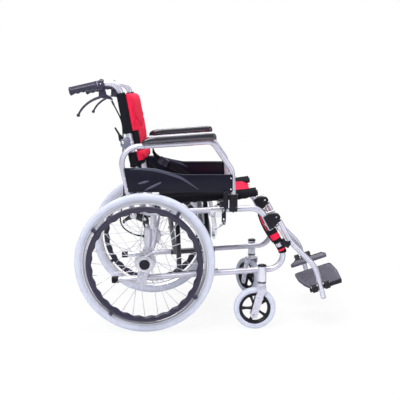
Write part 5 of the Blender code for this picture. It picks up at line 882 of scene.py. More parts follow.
def hand_brake(side, s, body):
    """Clamp round the handle with its screws, and the lever with its ball end."""
    y = s * FRAME_HALF
    pivot = HAND_LEVER_PIVOT
    low, high = handle_point(CLAMP_X - CLAMP_WIDTH / 2 + 0.0005), handle_point(CLAMP_X + CLAMP_WIDTH / 2)
    form = Form()
    form.tube(at_side([low, high], y), FRAME_TUBE + 0.009, sides=36, soften=0.0016)
    cheek = rounded([(low[0] + 0.004, low[1]), (low[0] + 0.002, pivot[1] + 0.004),
                     *around(pivot, [(-0.011, -0.007), (0.004, -0.009), (0.030, -0.013), (0.032, -0.004),
                                     (0.014, 0.006)]), (high[0] - 0.004, high[1])], 0.004)
    for out in (1, -1):
        form.slab(cheek, s * (FRAME_HALF + out * 0.0075), s * (FRAME_HALF + out * 0.0032), 0.0011)
    back = rounded(around(pivot, [(0.008, -0.009), (0.030, -0.013), (0.032, -0.004), (0.010, 0.008)]), 0.003)
    form.slab(back, s * (FRAME_HALF + 0.0070), s * (FRAME_HALF - 0.0070), 0.0010)
    x, z = handle_point(CLAMP_X)
    form.tube(at_side([(x, z), (x, z + 0.0165)], y), 0.0125, sides=28, soften=0.0012)
    form.bolt(*at_side([(x, z + 0.0163), (x, z + 0.0190)], y), 0.0085)
    flank = (FRAME_TUBE + 0.009) / 2
    for out in (1, -1):
        def beside(reach):
            return s * (FRAME_HALF + out * reach)
        form.screw(pivot, beside(0.0074), beside(0.0095), 0.0070)
        form.bar((x - 0.0005, beside(flank - 0.0035), z - 0.004), (0.017, 0.010, 0.036),
                 Matrix.Rotation(0.10, 3, "Y"), 0.004, 0.0022)
        head = (x - 0.0010, z + 0.0005)
        form.screw(head, beside(flank + 0.0012), beside(flank + 0.0034), 0.0088)
        form.screw(head, beside(flank + 0.0028), beside(flank + 0.0042), 0.0046, 1)
    adjuster = around(pivot, [(0.030, -0.0090), (0.0345, -0.0155)])
    form.tube(at_side(adjuster, y), 0.0082, sides=20, soften=0.0008)
    piece(f"clamp_{side}", form, body, ["violet_plastic", "bright_steel"], [f"brake_clamp_{side}"])

    form = Form()
    bends = around(pivot, [(0.0, 0.0), (-0.014, -0.0065), (-0.032, -0.0135), (-0.052, -0.0255),
                           (-0.070, -0.0415), (-0.082, -0.0580), (-0.0875, -0.0690)])
    path = spline(at_side(bends, y), 5)
    sizes = [1.28 - 0.42 * i / (len(path) - 1) for i in range(len(path))]
    form.run(path, oval(0.0040, 0.0034, 20), up=ACROSS, scales=sizes)
    form.rod(pivot, s * (FRAME_HALF - 0.0029), s * (FRAME_HALF + 0.0029), 0.011)
    ball = [(0.0066 * sin(radians(a)), -0.0066 * cos(radians(a))) for a in range(2, 180, 11)]
    form.turned(ball, Matrix.Translation((bends[-1][0], y, bends[-1][1])), segments=28)
    piece(f"hand_lever_{side}", form, f"hand_lever_{side}", ["violet_plastic"], [f"brake_lever_{side}"],
          sharp=50.0)


def brake_cable(side, s):
    """Brake cable, held at the frame and at the folding back, with a crimped ferrule at each end."""
    out, inboard = s * FRAME_HALF, s * (FRAME_HALF - 0.0235)
    route = [(-0.1185, out, 0.8375), (-0.1110, s * 0.2260, 0.8215), (-0.0990, s * 0.2160, 0.7960),
             (-0.0880, s * 0.2055, 0.7720), (-0.0815, inboard, 0.7500), (-0.0800, inboard, 0.7200),
             (-0.0800, inboard, 0.6900), (-0.0810, inboard, 0.6500), (-0.0815, inboard, 0.6000),
             (-0.0785, s * 0.216, 0.5450), (-0.0770, out, 0.4950), (-0.0850, out, 0.4500),
             (-0.0925, out, 0.4150), (-0.0915, out, 0.3900), (-0.0800, out, 0.3700), (-0.0560, s * 0.2270,
                                                                                      0.3535),
             (-0.0350, s * 0.2240, 0.3445), (-0.0195, s * 0.2236, 0.3425)]
    path = spline(smoothed(route), 5)
    form = Form()
    form.tube(path, CABLE, sides=16)
    for part in (path[:6], path[-5:]):
        form.tube(part, CABLE + 0.0018, sides=20, soften=0.0005)
    form.tube(path[:2], CABLE + 0.0030, 1, sides=20, soften=0.0005)
    thing = piece(f"cable_{side}", form, None, ["cable_jacket", "bright_steel"], [f"brake_cable_{side}"],
                  sharp=45.0, rides=False)
    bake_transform(thing)


def smoothed(route):
    """The route's inner points drawn towards their neighbours, as in the solid's soft curve."""
    points = [Vector(point) for point in route]
    inner = [(points[i - 1] + points[i] * 4 + points[i + 1]) / 6 for i in range(1, len(points) - 1)]
    return [points[0], *inner, points[-1]]


# Rear wheels
def wheel_place(s):
    return Matrix.Translation((0.0, s * WHEEL_HALF, AXLE_HEIGHT)) @ Matrix.Rotation(-s * pi / 2, 4, "X")


def tread(radius, half, depth, power):
    """The tyre's round shoulder, from its side to the crown."""
    return [(radius - depth + depth * sin(radians(a)) ** 0.9, half * cos(radians(a)) ** power)
            for a in range(0, 90, 10)]


def rear_wheel(side, s):
    """Solid tyre with a groove round its crown, rim, hub and crossed spokes."""
    place = wheel_place(s)
    body = f"wheel_{side}"
    tyre = Form()
    half, low = TYRE_WIDTH / 2, WHEEL_RADIUS - TYRE_DEPTH
    profile = [(low, half - 0.0066), (low + 0.004, half - 0.0036), (low + 0.009, half - 0.0010),
               *tread(WHEEL_RADIUS, half, 0.0110, 0.62), (WHEEL_RADIUS, 0.0034), (WHEEL_RADIUS - 0.0006,
                                                                                  0.0028),
               (WHEEL_RADIUS - 0.0006, 0.0016), (WHEEL_RADIUS, 0.0010)]
    tyre.turned(mirrored(profile), place, segments=180, closed=True)
    piece(f"tyre_{side}", tyre, body, ["pale_rubber"], [f"rear_tyre_{side}"], sharp=50.0)

    form = Form()
    bed, half = low - FIT, RIM_WIDTH / 2
    rim = [*around((bed, half), [(0.0, -0.0040), (0.0022, -0.0012), (0.0030, 0.0), (0.0012, 0.0003),
                                 (-0.0020, -0.0008), (-0.0065, -0.0040)]),
           (bed - RIM_DEPTH + 0.0012, 0.0058), (bed - RIM_DEPTH, 0.0040)]
    form.turned(mirrored(rim), place, segments=160, closed=True)
    hub_metal(form, place)
    root, reach = HUB_FLANGE / 2 - 0.0032, bed - RIM_DEPTH + 0.002
    for i, rim_turn in enumerate(turns(SPOKES)):
        outboard = 1 if i % 2 else -1
        leading = 1 if (i // 2) % 2 else -1
        hub_side = outboard * (FLANGE_OUT + leading * (0.002 + SPOKE / 2 - 0.0004))
        inner = spoke_ways(rim_turn + leading * SPOKE_LEAN)[0] * root + UP * hub_side
        outer = spoke_ways(rim_turn)[0] * reach + UP * (outboard * 0.0012)
        nipple = outer + (inner - outer).normalized() * 0.013
        head = inner + UP * copysign(0.0012, hub_side - outboard * FLANGE_OUT)
        form.tube([place @ inner, place @ outer], SPOKE, sides=10, soften=0.0003)
        form.tube([place @ outer, place @ nipple], SPOKE + 0.0016, 2, sides=10, soften=0.0004)
        form.tube([place @ inner, place @ head], SPOKE + 0.0018, 2, sides=10, soften=0.0003)
    piece(f"wheel_{side}", form, body, ["polished_rim", "black_plastic", "bright_steel"],
          [f"rear_wheel_{side}"])
    hand_ring(side, body, place)


def hub_metal(form, place):
    """Drum, flanges, barrel and end ring of the hub, and the black dust cap."""
    flange, drum, barrel, ring = HUB_FLANGE / 2, DRUM_DIAMETER / 2, HUB_BARREL / 2, HUB_CAP / 2
    near, far = FLANGE_OUT - 0.002, FLANGE_OUT + 0.002
    form.turned([(0.0070, -HUB_HALF), (drum - 0.0012, -HUB_HALF), (drum, -HUB_HALF + 0.0012),
                 (drum, -far - 0.0012), (drum - 0.0012, -far), (flange, -far), (flange + 0.0004, -FLANGE_OUT),
                 (flange, -near), (barrel + 0.004, -near), (barrel, -near + 0.005), (barrel, near - 0.005),
                 (barrel + 0.004, near), (flange, near), (flange + 0.0004, FLANGE_OUT), (flange, far),
                 (ring + 0.0006, far + 0.001), (ring, HUB_HALF - 0.0060), (ring - 0.0016, HUB_HALF - 0.0040),
                 (ring - 0.0040, HUB_HALF - 0.0036), (0.0140, HUB_HALF - 0.0040)], place, segments=64)
    cap = around((ring - 0.0012, HUB_HALF), [(0.0, -0.0050), (0.0, -0.0024), (-0.0022, -0.0010),
                                             (-0.0080, 0.0), (-0.0090, -0.0005)])
    form.turned(cap + [(0.0002, HUB_HALF - 0.0005)], place, 1, 48)


def hand_ring(side, body, place):
    """Black hand ring with finger waves, and four bracket tabs screwed to the rim."""
    form = Form()
    outer, half = PUSHRIM_DIAMETER / 2, PUSHRIM_WIDTH / 2
    reach = outer - 0.0042
    rings = []
    for turn in turns(PUSHRIM_WAVES * 10):
        inner = outer - PUSHRIM_DEPTH + 0.0022 * cos(PUSHRIM_WAVES * turn)
        ring = []
        for bend in turns(20):
            out = cos(bend)
            radius = reach + 0.0042 * out if out > 0 else reach + (reach - inner) * out
            width = half * abs(sin(bend)) ** 0.85 * (1.0 if out > 0 else 1.0 - 0.30 * out * out)
            height = copysign(width, sin(bend))
            ring.append(place @ Vector((radius * cos(turn), radius * sin(turn), PUSHRIM_OUT + height)))
        rings.append(ring)
    form.skin(rings, round_trip=True)
    face = RIM_WIDTH / 2 + FIT
    root = WHEEL_RADIUS - TYRE_DEPTH - FIT + 0.0016
    stations = ((face, root - 0.012, root, 0.0070), (face + 0.003, root - 0.0115, root, 0.0070),
                (0.0170, outer - 0.0100, root, 0.0066), (0.022, outer - 0.0095, root - 0.0002, 0.0064),
                (PUSHRIM_OUT + 0.002, outer - 0.012, outer + 0.0012, 0.0055))
    for clip in PUSHRIM_CLIPS:
        radial, across = spoke_ways(radians(clip))
        rings = []
        for z, low, high, wide in stations:
            corners = rounded(oblong(low, -wide, high, wide), 0.0018, radians(30))
            rings.append([place @ (radial * r + across * w + UP * z) for r, w in corners])
        form.skin(rings)
        screw = radial * (outer - 0.008) + UP * (PUSHRIM_OUT + 0.0055)
        form.bolt(place @ screw, place @ (screw + UP * 0.0022), 0.0072, 1)
    piece(f"hand_ring_{side}", form, body, ["violet_plastic", "bright_steel"], [f"pushrim_{side}"],
          sharp=50.0)


# Casters
def caster(side, s):
    """Swivelling fork with its axle bolt; the left one stands turned, as in the photograph."""
    y = s * CASTER_HALF
    swivel = Matrix.Identity(4)
    if side == "left":
        spot = Matrix.Translation((CASTER_X, y, 0.0))
        swivel = spot @ Matrix.Rotation(LEFT_CASTER_SWIVEL, 4, "Z") @ spot.inverted()
    inner, top = CASTER_TYRE_WIDTH / 2 + 0.0045, 2 * CASTER_RADIUS
    fork = Form()
    fork.turned([(CROWN / 2 - 0.001, top + 0.003), (CROWN / 2, top + 0.004),
                 (CROWN / 2, HOUSING_FOOT - 0.004), (CROWN / 2 - 0.002, HOUSING_FOOT - 0.0014),
                 (0.009, HOUSING_FOOT - FIT)], Matrix.Translation((CASTER_X, y, 0.0)), segments=40)
    fork.bar((CASTER_X - 0.0015, y, top + 0.0055), (0.034, 2 * (inner + FORK_PLATE) - 0.0012, 0.007), None,
             0.0025, 0.0015)
    shoulder = around((CASTER_X, top), [(-0.0175, 0.008), (-0.0175, -0.014), (-0.022, -0.022)])
    toe = [(CASTER_X + u, z) for u, z in ((-0.043, 0.052), (-0.037, 0.0425), (-0.021, 0.0425),
                                          (-0.0165, 0.052))]
    front_edge = around((CASTER_X, top), [(0.007, -0.022), (0.0155, -0.012), (0.0155, 0.008)])
    outline = rounded(shoulder + toe + front_edge,
                      [0.004, 0.010, 0.012, 0.006, 0.006, 0.006, 0.006, 0.012, 0.010, 0.004])
    axle = (CASTER_X - CASTER_TRAIL, CASTER_RADIUS)
    spare = circle(0.0032, 20, (axle[0] - 0.0055, CASTER_RADIUS - 0.022))
    face = inner + FORK_PLATE
    reach = face + 0.0045
    fork.rod(axle, y - reach + 0.002, y + reach - 0.002, 0.008, 1)
    for out in (1, -1):
        near = y + out * face
        fork.slab(outline, y + out * inner, near, 0.0012, holes=[spare])
        fork.screw(axle, near, near + out * 0.0006, 0.0165, 1, recess=False)
        fork.screw(axle, near + out * 0.0005, y + out * reach, 0.013, 1, sides=6)
    for vertex in fork.body.verts:
        vertex.co = swivel @ vertex.co
    piece(f"fork_{side}", fork, f"caster_{side}", ["silver_paint", "bright_steel"], [f"caster_fork_{side}"])
    place = Matrix.Translation((axle[0], y, axle[1])) @ Matrix.Rotation(-s * pi / 2, 4, "X")
    caster_roller(side, swivel @ place)


def caster_roller(side, place):
    """Small solid tyre on a black wheel with five waisted spokes and a steel bush."""
    body = f"caster_roller_{side}"
    half, low = CASTER_TYRE_WIDTH / 2, CASTER_RADIUS - CASTER_TYRE_DEPTH
    tyre = Form()
    profile = [(low, half - 0.0046), (low + 0.003, half - 0.0022), (low + 0.007, half - 0.0004),
               *tread(CASTER_RADIUS, half, 0.0085, 0.6), (CASTER_RADIUS, 0.0030)]
    tyre.turned(mirrored(profile), place, segments=96, closed=True)
    piece(f"caster_tyre_skin_{side}", tyre, body, ["pale_rubber"], [f"caster_tyre_{side}"], sharp=50.0)

    form = Form()
    outer = low - FIT
    inner = outer - CASTER_RIM_DEPTH
    rim = [(outer, 0.0098), (outer - 0.0022, 0.0100), (outer - 0.0040, 0.0086), (inner + 0.0012, 0.0070),
           (inner, 0.0058)]
    form.turned(mirrored(rim), place, segments=80, closed=True)
    hub_half = half + 0.0035
    hub = [(0.0048, -hub_half), (0.0105, -hub_half), (0.0120, -hub_half + 0.0015), (0.0120, -0.0090),
           (0.0135, -0.0080)]
    form.turned(mirrored(hub), place, segments=48)
    form.turned(mirrored([(0.0047, -hub_half - 0.0001), (0.0088, -hub_half - 0.0001)]), place, 1, 32)
    for turn in turns(5):
        radial, across = spoke_ways(pi + turn)
        rings = []
        for share in (0.0, 0.25, 0.5, 0.75, 1.0):
            r = 0.0090 + (inner + 0.002 - 0.0090) * share
            wide = 0.0058 - 0.0022 * sin(pi * share) + 0.0012 * share ** 3
            thick = 0.0082 - 0.0036 * share
            corners = rounded(oblong(-wide, -thick, wide, thick), 0.0016, radians(30))
            rings.append([place @ (radial * r + across * w + UP * z) for w, z in corners])
        form.skin(rings)
    piece(f"caster_rim_{side}", form, body, ["black_plastic", "bright_steel"], [f"caster_wheel_{side}"])


# Armrests
def armrest(side, s):
    """Bent tube with its pivot eye, then the pad, the side panel and the release button."""
    body = f"armrest_{side}"
    form = Form()
    form.tube(armrest_path(s * ARM_HALF), ARM_TUBE, sides=32)
    reach = ARM_TUBE / 2 - 0.0003
    form.rod(ARM_PIVOT, s * (ARM_HALF - reach), s * (ARM_HALF + reach), 0.024, sides=36, soften=0.0010)
    piece(f"arm_tube_{side}", form, body, ["silver_paint"], [f"armrest_frame_{side}"])
    arm_pad(side, s, body)
    skirt_guard(side, s, body)
    button(side, s)


def arm_pad(side, s, body):
    """Long pad with a tapered rear end, a shallow hollow on top and a seam round its foot."""
    centre = ARM_HALF - ARM_TUBE / 2 + PAD_WIDTH / 2
    stations, rings = 48, []
    for i in range(stations + 1):
        share = 0.5 - 0.5 * cos(pi * i / stations)
        x = PAD_FROM + PAD_LENGTH * share
        height = PAD_THICKNESS * (0.34 + 0.66 * (eased(share / 0.20) * eased((1.0 - share) / 0.12, 2.6)))
        width = PAD_WIDTH * (0.62 + 0.38 * (eased(share / 0.07) * eased((1 - share) / 0.07)))
        base = arm_top(x) + ARM_TUBE / 2 - 0.004
        dip = 0.0016 * exp(-((share - 0.45) / 0.30) ** 2)
        ring = []
        for turn in turns(36):
            rise = 0.5 + 0.5 * squarer(sin(turn), 0.62)
            hollow = dip * max(0.0, sin(turn)) ** 3
            out = width * (0.5 * squarer(cos(turn), 0.55))
            ring.append(Vector((x, s * (centre + out), base + height * rise - hollow)))
        rings.append(ring)
    form = Form()
    form.skin(rings)
    seam = []
    for turn in turns(60):
        x = PAD_FROM + PAD_LENGTH * (0.5 + 0.485 * squarer(cos(turn), 0.22))
        out = (PAD_WIDTH / 2 - 0.0006) * squarer(sin(turn), 0.35)
        seam.append(Vector((x, s * (centre + out), arm_top(x) + ARM_TUBE / 2 + 0.0045)))
    form.run(seam, circle(0.0010, 8), round_trip=True)
    pad = piece(f"arm_cushion_{side}", form, body, ["arm_pad"], [f"armrest_pad_{side}"], sharp=50.0)


def skirt_guard(side, s, body):
    """Moulded panel with a rolled edge, a swept ridge and two short ribs in a painted highlight colour, two
    lips and four screws.
    """
    face = GUARD_FACE
    low, high, step = 0.5085, 0.5965, (0.112, 0.5730)
    front_x = arm_front_x(0.54) - 0.001
    outline = rounded([(arm_rear_x(low) + 0.002, low), (front_x, low), (front_x, step[1]),
                       (step[0] + 0.020, step[1]), (0.055, 0.588), (-0.010, high),
                       (arm_rear_x(high) + 0.006, high)], [0.006, 0.006, 0.006, 0.040, 0.060, 0.030, 0.006],
                      radians(8))
    form = Form()
    form.slab(outline, s * face, s * (face - 0.003), 0.0009)
    rim = at_side(inset(outline, 0.0022), s * (face - 0.0008))
    form.run(rim, circle(0.0021, 12), up=ACROSS, round_trip=True)
    ridge = [(-0.0540, 0.5920), (-0.0465, 0.5928), (-0.0015, 0.5925), (0.0414, 0.5874), (0.0878, 0.5755),
             (0.1322, 0.5593), (0.1630, 0.5400), (0.1881, 0.5225), (0.2000, 0.5150)]
    path = spline(at_side(ridge, s * (face - 0.0006)), 6)
    count = len(path) - 1
    sizes = []
    for i in range(len(path)):
        rear, front_end = min(1.0, (i + 0.5) / count * 2.4), min(1.0, (count - i + 0.4) / count * 2.4)
        sizes.append(max(0.12, sin(pi * rear / 2) * front_end))
    # Ridge and ribs take paint 1, a painted highlight lighter than the panel.
    form.run(path, oval(0.0055, 0.0034, 20), 1, up=ACROSS, scales=sizes)
    sizes = [0.35 + 0.65 * sin(pi * (k + 0.4) / 8.8) for k in range(9)]
    for ends in (((0.0010, 0.5150), (0.0590, 0.5440)), ((-0.022, 0.5395), (0.0155, 0.5490))):
        start, end = at_side(ends, s * (face - 0.0004))
        rib = [start.lerp(end, k / 8) for k in range(9)]
        form.run(rib, oval(0.0046, 0.0024, 16), 1, up=ACROSS, scales=sizes)
    for lip in (oblong(arm_rear_x(low) + 0.012, low + 0.002, front_x - 0.0135, low + 0.0055),
                oblong(step[0] + 0.026, step[1] - 0.0055, front_x - 0.0135, step[1] - 0.002)):
        form.slab(lip, s * (face - 0.001), s * (ARM_SKIN + FIT - 0.0085), 0.0008)
    for z in (0.5587, 0.5189):
        form.screw((front_x - 0.0055, z), s * (face - 0.0005), s * (face + 0.0016), 0.0064, 2)
        form.screw((arm_rear_x(z) + 0.0020, z), s * (face - 0.0005), s * (face + 0.0013), 0.0062, 2)
    piece(f"guard_{side}", form, body, ["guard_plastic", "guard_ridge_highlight", "bright_steel"],
          [f"skirt_guard_{side}"], sharp=40.0)


def button(side, s):
    """Release button in the front end of the armrest's tube."""
    foot, above = armrest_path(0.0)[-1], armrest_path(0.0)[-2]
    place = foot + (above - foot) * 0.97
    start = Matrix.Translation((place.x + 0.0062, s * ARM_HALF, place.z)) @ Matrix.Rotation(pi / 2, 4, "Y")
    reach = ARM_TUBE / 2 + 0.0035 - 0.0062
    form = Form()
    form.turned([(0.0034, 0.0), (0.0035, reach - 0.0022), (0.0031, reach - 0.0008), (0.0018, reach)], start,
                segments=28)
    piece(f"arm_button_{side}", form, f"button_{side}", ["bright_steel"], [f"armrest_button_{side}"],
          sharp=50.0)


def arm_mounts(side, s):
    """Pivot plate with its bolts, and the receiver for the armrest's front end."""
    body = f"{side}_frame"
    pivot = ARM_PIVOT
    inner = FRAME_HALF + UPRIGHT_TUBE / 2 + FIT
    outer = inner + 0.003
    outline = rounded([*around(pivot, [(-0.011, 0.006), (-0.005, 0.011), (0.008, 0.011)]),
                       (0.008, 0.418), (0.014, 0.400), (0.010, 0.376), (-0.004, 0.376), (-0.012, 0.396),
                       *around(pivot, [(0.002, -0.014), (-0.020, -0.020), (-0.037, -0.032), (-0.042, -0.022),
                                       (-0.020, -0.004)])], 0.005)
    form = Form()
    form.slab(outline, s * outer, s * inner, 0.0008)
    bolt_end = ARM_SKIN + 0.0012
    form.rod(pivot, s * (outer - 0.001), s * bolt_end, 0.008, 1)
    form.rod(pivot, s * (outer - 0.0005), s * (outer + 0.002 - FIT), 0.016, 1)
    form.screw(pivot, s * (bolt_end - 0.0010), s * (bolt_end + 0.0002), 0.0180, 1, recess=False)
    form.screw(pivot, s * bolt_end, s * (bolt_end + 0.0035), 0.0150, 1, sides=6)
    stop = (pivot[0] - 0.0345, pivot[1] - 0.0255)
    form.rod(stop, s * (outer - 0.001), s * (ARM_HALF + 0.006), 0.008)
    for place in ((-0.0015, 0.4070), (0.0045, 0.3840)):
        form.screw(place, s * (outer - 0.0002), s * (outer + 0.0008), 0.0110, 1, recess=False)
        form.screw(place, s * (outer + 0.0006), s * (outer + 0.0032), 0.0085, 1, sides=6)
    piece(f"pivot_plate_{side}", form, body, ["black_paint", "bright_steel"], [f"armrest_pivot_plate_{side}"])
    arm_receiver(side, s, body)


def arm_receiver(side, s, body):
    """Black socket on the upper rail, open at the top and flat on its outboard side."""
    x = arm_front_x(ARM_FOOT_HEIGHT + 0.02)
    base, top = 0.4370, ARM_FOOT_HEIGHT + 0.050
    half, wall = ARM_TUBE / 2 + FIT, 0.004
    flat = half + wall
    rings = []
    for z, grow in ((base, -0.0012), (base + 0.0015, 0.0), (top - 0.006, 0.0), (top - 0.003, 0.0018),
                    (top, 0.0024), (top + 0.0004, 0.0012)):
        reach = flat + grow
        corners = rounded(oblong(-reach - 0.001, -reach, reach, reach), 0.006, radians(20))
        rings.append([Vector((x + u, s * (ARM_HALF + min(v, flat)), z)) for u, v in corners])
    for z, wide in ((top + 0.0004, half + 0.0016), (top - 0.0020, half + 0.0004),
                    (base + 0.010, half + 0.0002)):
        centre = x + (arm_front_x(z) - x)
        corners = rounded(oblong(-wide - 0.003, -wide, wide, wide), 0.0085, radians(20))
        rings.append([Vector((centre + u, s * ARM_HALF + v, z)) for u, v in corners])
    form = Form()
    form.skin(rings)
    saddle_top = upper_rail(x) + FRAME_TUBE / 2 + 0.006
    span = (FRAME_SKIN + FIT, ARM_HALF + half + wall)
    form.bar((x, s * (sum(span) / 2 - 0.013), (saddle_top + base) / 2),
             (0.022, span[1] - span[0] + 0.006, saddle_top - base), None, 0.002, 0.0012)
    y = s * (ARM_HALF - 0.004)
    form.tube([(x, y, base - 0.0045), (x, y, base + 0.003)], 0.007)
    start = s * (ARM_HALF + half + wall - 0.0018)
    for step in (-0.0070, 0.0070):
        form.screw((x + step, base + 0.016), start, start + s * 0.0020, 0.0052, 1)
    piece(f"arm_receiver_{side}", form, body, ["black_plastic", "bright_steel"], [f"armrest_socket_{side}"])


# Parking brakes
def parking_brake(side, s):
    """Shoe with its knurled bar, hand lever with its grip, and the link between them."""
    inner = FRAME_SKIN + 0.0030 + FIT
    outer = inner + 0.004
    near, far = s * (outer - 0.001), WHEEL_HALF + TYRE_WIDTH / 2 - 0.003
    form = Form()
    pivot, pin = BRAKE_SHOE_PIVOT, BRAKE_LINK_SHOE
    outline = rounded([*around(pivot, [(-0.009, 0.008), (-0.009, -0.010)]), (pivot[0] - 0.0035, 0.385),
                       (pivot[0] - 0.0045, 0.345), (pivot[0] + 0.006, 0.3385), (pivot[0] + 0.0125, 0.345),
                       (pin[0] + 0.0055, pin[1]), *around(pivot, [(0.009, -0.012), (0.009, 0.008)])], 0.005)
    form.slab(outline, s * outer, s * inner, 0.0006, holes=[circle(0.0031, 20, pivot)])
    start, steps = inner + 0.001, 26
    ends = [start + (far - start) * k / steps for k in range(steps)] + [far]
    path = [(pivot[0] + 0.0015, s * reach, 0.3480) for reach in ends]
    sizes = [1.0 if k % 2 or k in (0, steps) else 0.90 for k in range(steps + 1)]
    form.tube(path, 0.0100, scales=sizes)
    form.rod(pin, near, s * (outer + 0.005), 0.005, soften=0.0006)
    piece(f"brake_shoe_{side}", form, f"shoe_{side}", ["bright_steel"], [f"parking_brake_shoe_{side}"])

    form = Form()
    pivot, pin = BRAKE_LEVER_PIVOT, BRAKE_LINK_LEVER
    outline = rounded([(pivot[0] - 0.007, pivot[1] + 0.020), *around(pin, [(-0.007, -0.004), (0.0, -0.0085),
                                                                           (0.007, -0.004)]),
                       *around(pivot, [(0.0085, 0.024), (0.002, 0.029)])], 0.005)
    form.slab(outline, s * outer, s * inner, 0.0006, holes=[circle(0.0031, 20, pivot)])
    form.rod(pin, near, s * (outer + 0.0055), 0.005, soften=0.0006)
    out = s * (GUARD_FACE + 0.0068)
    low, *upper = around(pivot, [(0.002, 0.020), (0.002, 0.020), (0.006, 0.054), (0.0062, 0.106)])
    crank = at_side([low], near) + at_side(upper, out)
    form.tube(bent(crank, [0.006, 0.020], radians(12)), 0.007, sides=20)
    centre = (pivot[0] + 0.0062, pivot[1] + 0.0735)
    rings = []
    for k in range(23):
        share = k / 22
        fade = sqrt(max(0.05, 1 - (2 * share - 1) ** 6))
        rib = 0.0004 if 4 <= k <= 18 and k % 2 else 0.0
        wide, thick = 0.0095 * fade - rib, 0.0050 * fade - rib
        corners = rounded(oblong(-wide, -thick, wide, thick), 0.0036, radians(25))
        rings.append([Vector((centre[0] + u, out + v, centre[1] - 0.033 + 0.066 * share)) for u,
                      v in corners])
    form.skin(rings)
    piece(f"brake_handle_{side}", form, f"parking_{side}", ["black_plastic"], [f"parking_brake_lever_{side}"])

    form = Form()
    near, far = outer + FIT, outer + FIT + 0.003
    a, b = Vector(BRAKE_LINK_LEVER), Vector(BRAKE_LINK_SHOE)
    along = (b - a).normalized()
    across, along = Vector((-along.y, along.x)) * 0.0045, along * 0.0062
    corners = [a - along + across, a - along - across, b + along - across, b + along + across]
    form.slab(rounded(corners, 0.004), s * far, s * near, 0.0005, holes=[circle(0.0031, 20, a),
                                                                         circle(0.0038, 20, b)])
    piece(f"brake_strut_{side}", form, f"link_{side}", ["bright_steel"], [f"parking_brake_link_{side}"])


# Hangers and footplates
def hanger(side, s):
    """Clamp with its pierced ear and hinge rod, release lever, and the bent tube on its two eyes."""
    y = s * FRAME_HALF
    half = FRAME_TUBE / 2 + 0.006
    ear = (-0.0247, 0.0377)
    arc = [(ear[0] + 0.0135 * cos(radians(150 - 15 * k)), ear[1] + 0.0135 * sin(radians(150 - 15 * k)))
           for k in range(11)]
    corners = [(-0.049, -0.006), (-0.051, 0.018), (-0.0445, 0.034), *arc, (-0.009, 0.034), (-0.001, 0.0244),
               (0.0036, 0.008), (0.0036, -0.006)]
    form = Form()
    form.slab([front(*corner) for corner in corners], s * (FRAME_HALF + half), s * (FRAME_HALF - half),
              0.0022, steps=3, holes=[circle(0.0046, 24, front(*ear))])
    form.tube(at_side([front(-0.013, ROD_OUT), front(0.091, ROD_OUT)], y), ROD, 1)
    for along in (-0.043, -0.010):
        form.screw(front(along, 0.0), s * (FRAME_HALF + half - 0.0004), s * (FRAME_HALF + half + 0.0018),
                   0.0080)
    form.bar(at_side([front(0.0774, 0.0215)], y)[0], (0.034, 0.0250, 0.0215), Matrix.Rotation(FRONT_LEAN, 3,
                                                                                              "Y"), 0.003,
             0.002)
    form.screw(front(0.0774, 0.0380), s * (FRAME_HALF + 0.0120), s * (FRAME_HALF + 0.0136), 0.0070)
    piece(f"hanger_clamp_{side}", form, f"{side}_frame", ["black_plastic", "bright_steel"],
          [f"hanger_bracket_{side}"])

    form = Form()
    start = at_side([front(-0.0513 - 0.0042 / 2, 0.018)], y)[0]
    tip = start + Vector((0.0286, 0.0, 0.0113))
    path = [start - (tip - start) * 0.1, start.lerp(tip, 0.3), start.lerp(tip, 0.6) + UP * 0.0004, tip]
    form.tube(spline(path, 5), 0.0036, sides=16)
    form.rod((start.x, start.z), y - 0.006, y + 0.006, 0.0042)
    piece(f"hanger_latch_{side}", form, f"hanger_release_{side}", ["bright_steel"],
          [f"hanger_release_lever_{side}"])

    form = Form()
    corners = at_side([front(-0.0060, HANGER_OUT), *hanger_points()[1:]], y)
    path = bent(corners, HANGER_BENDS)
    form.tube(path, HANGER_TUBE, sides=32)
    for start, end in ((0.0055, 0.0220), (0.0660, 0.0890)):
        eye = at_side([front(start, ROD_OUT), front(end, ROD_OUT)], y)
        form.tube(eye, ROD + 0.0085, sides=28, soften=0.0008)
    form.end_cap(path, 0.004, 0.0014, HANGER_TUBE - 0.0004, 1, 0.0010)
    form.end_cap(path[::-1], 0.003, 0.0022, HANGER_TUBE - 0.0010, 1, 0.0010)
    piece(f"hanger_bar_{side}", form, f"hanger_{side}", ["silver_paint", "black_plastic"],
          [f"hanger_tube_{side}"])
    footplate(side, s)


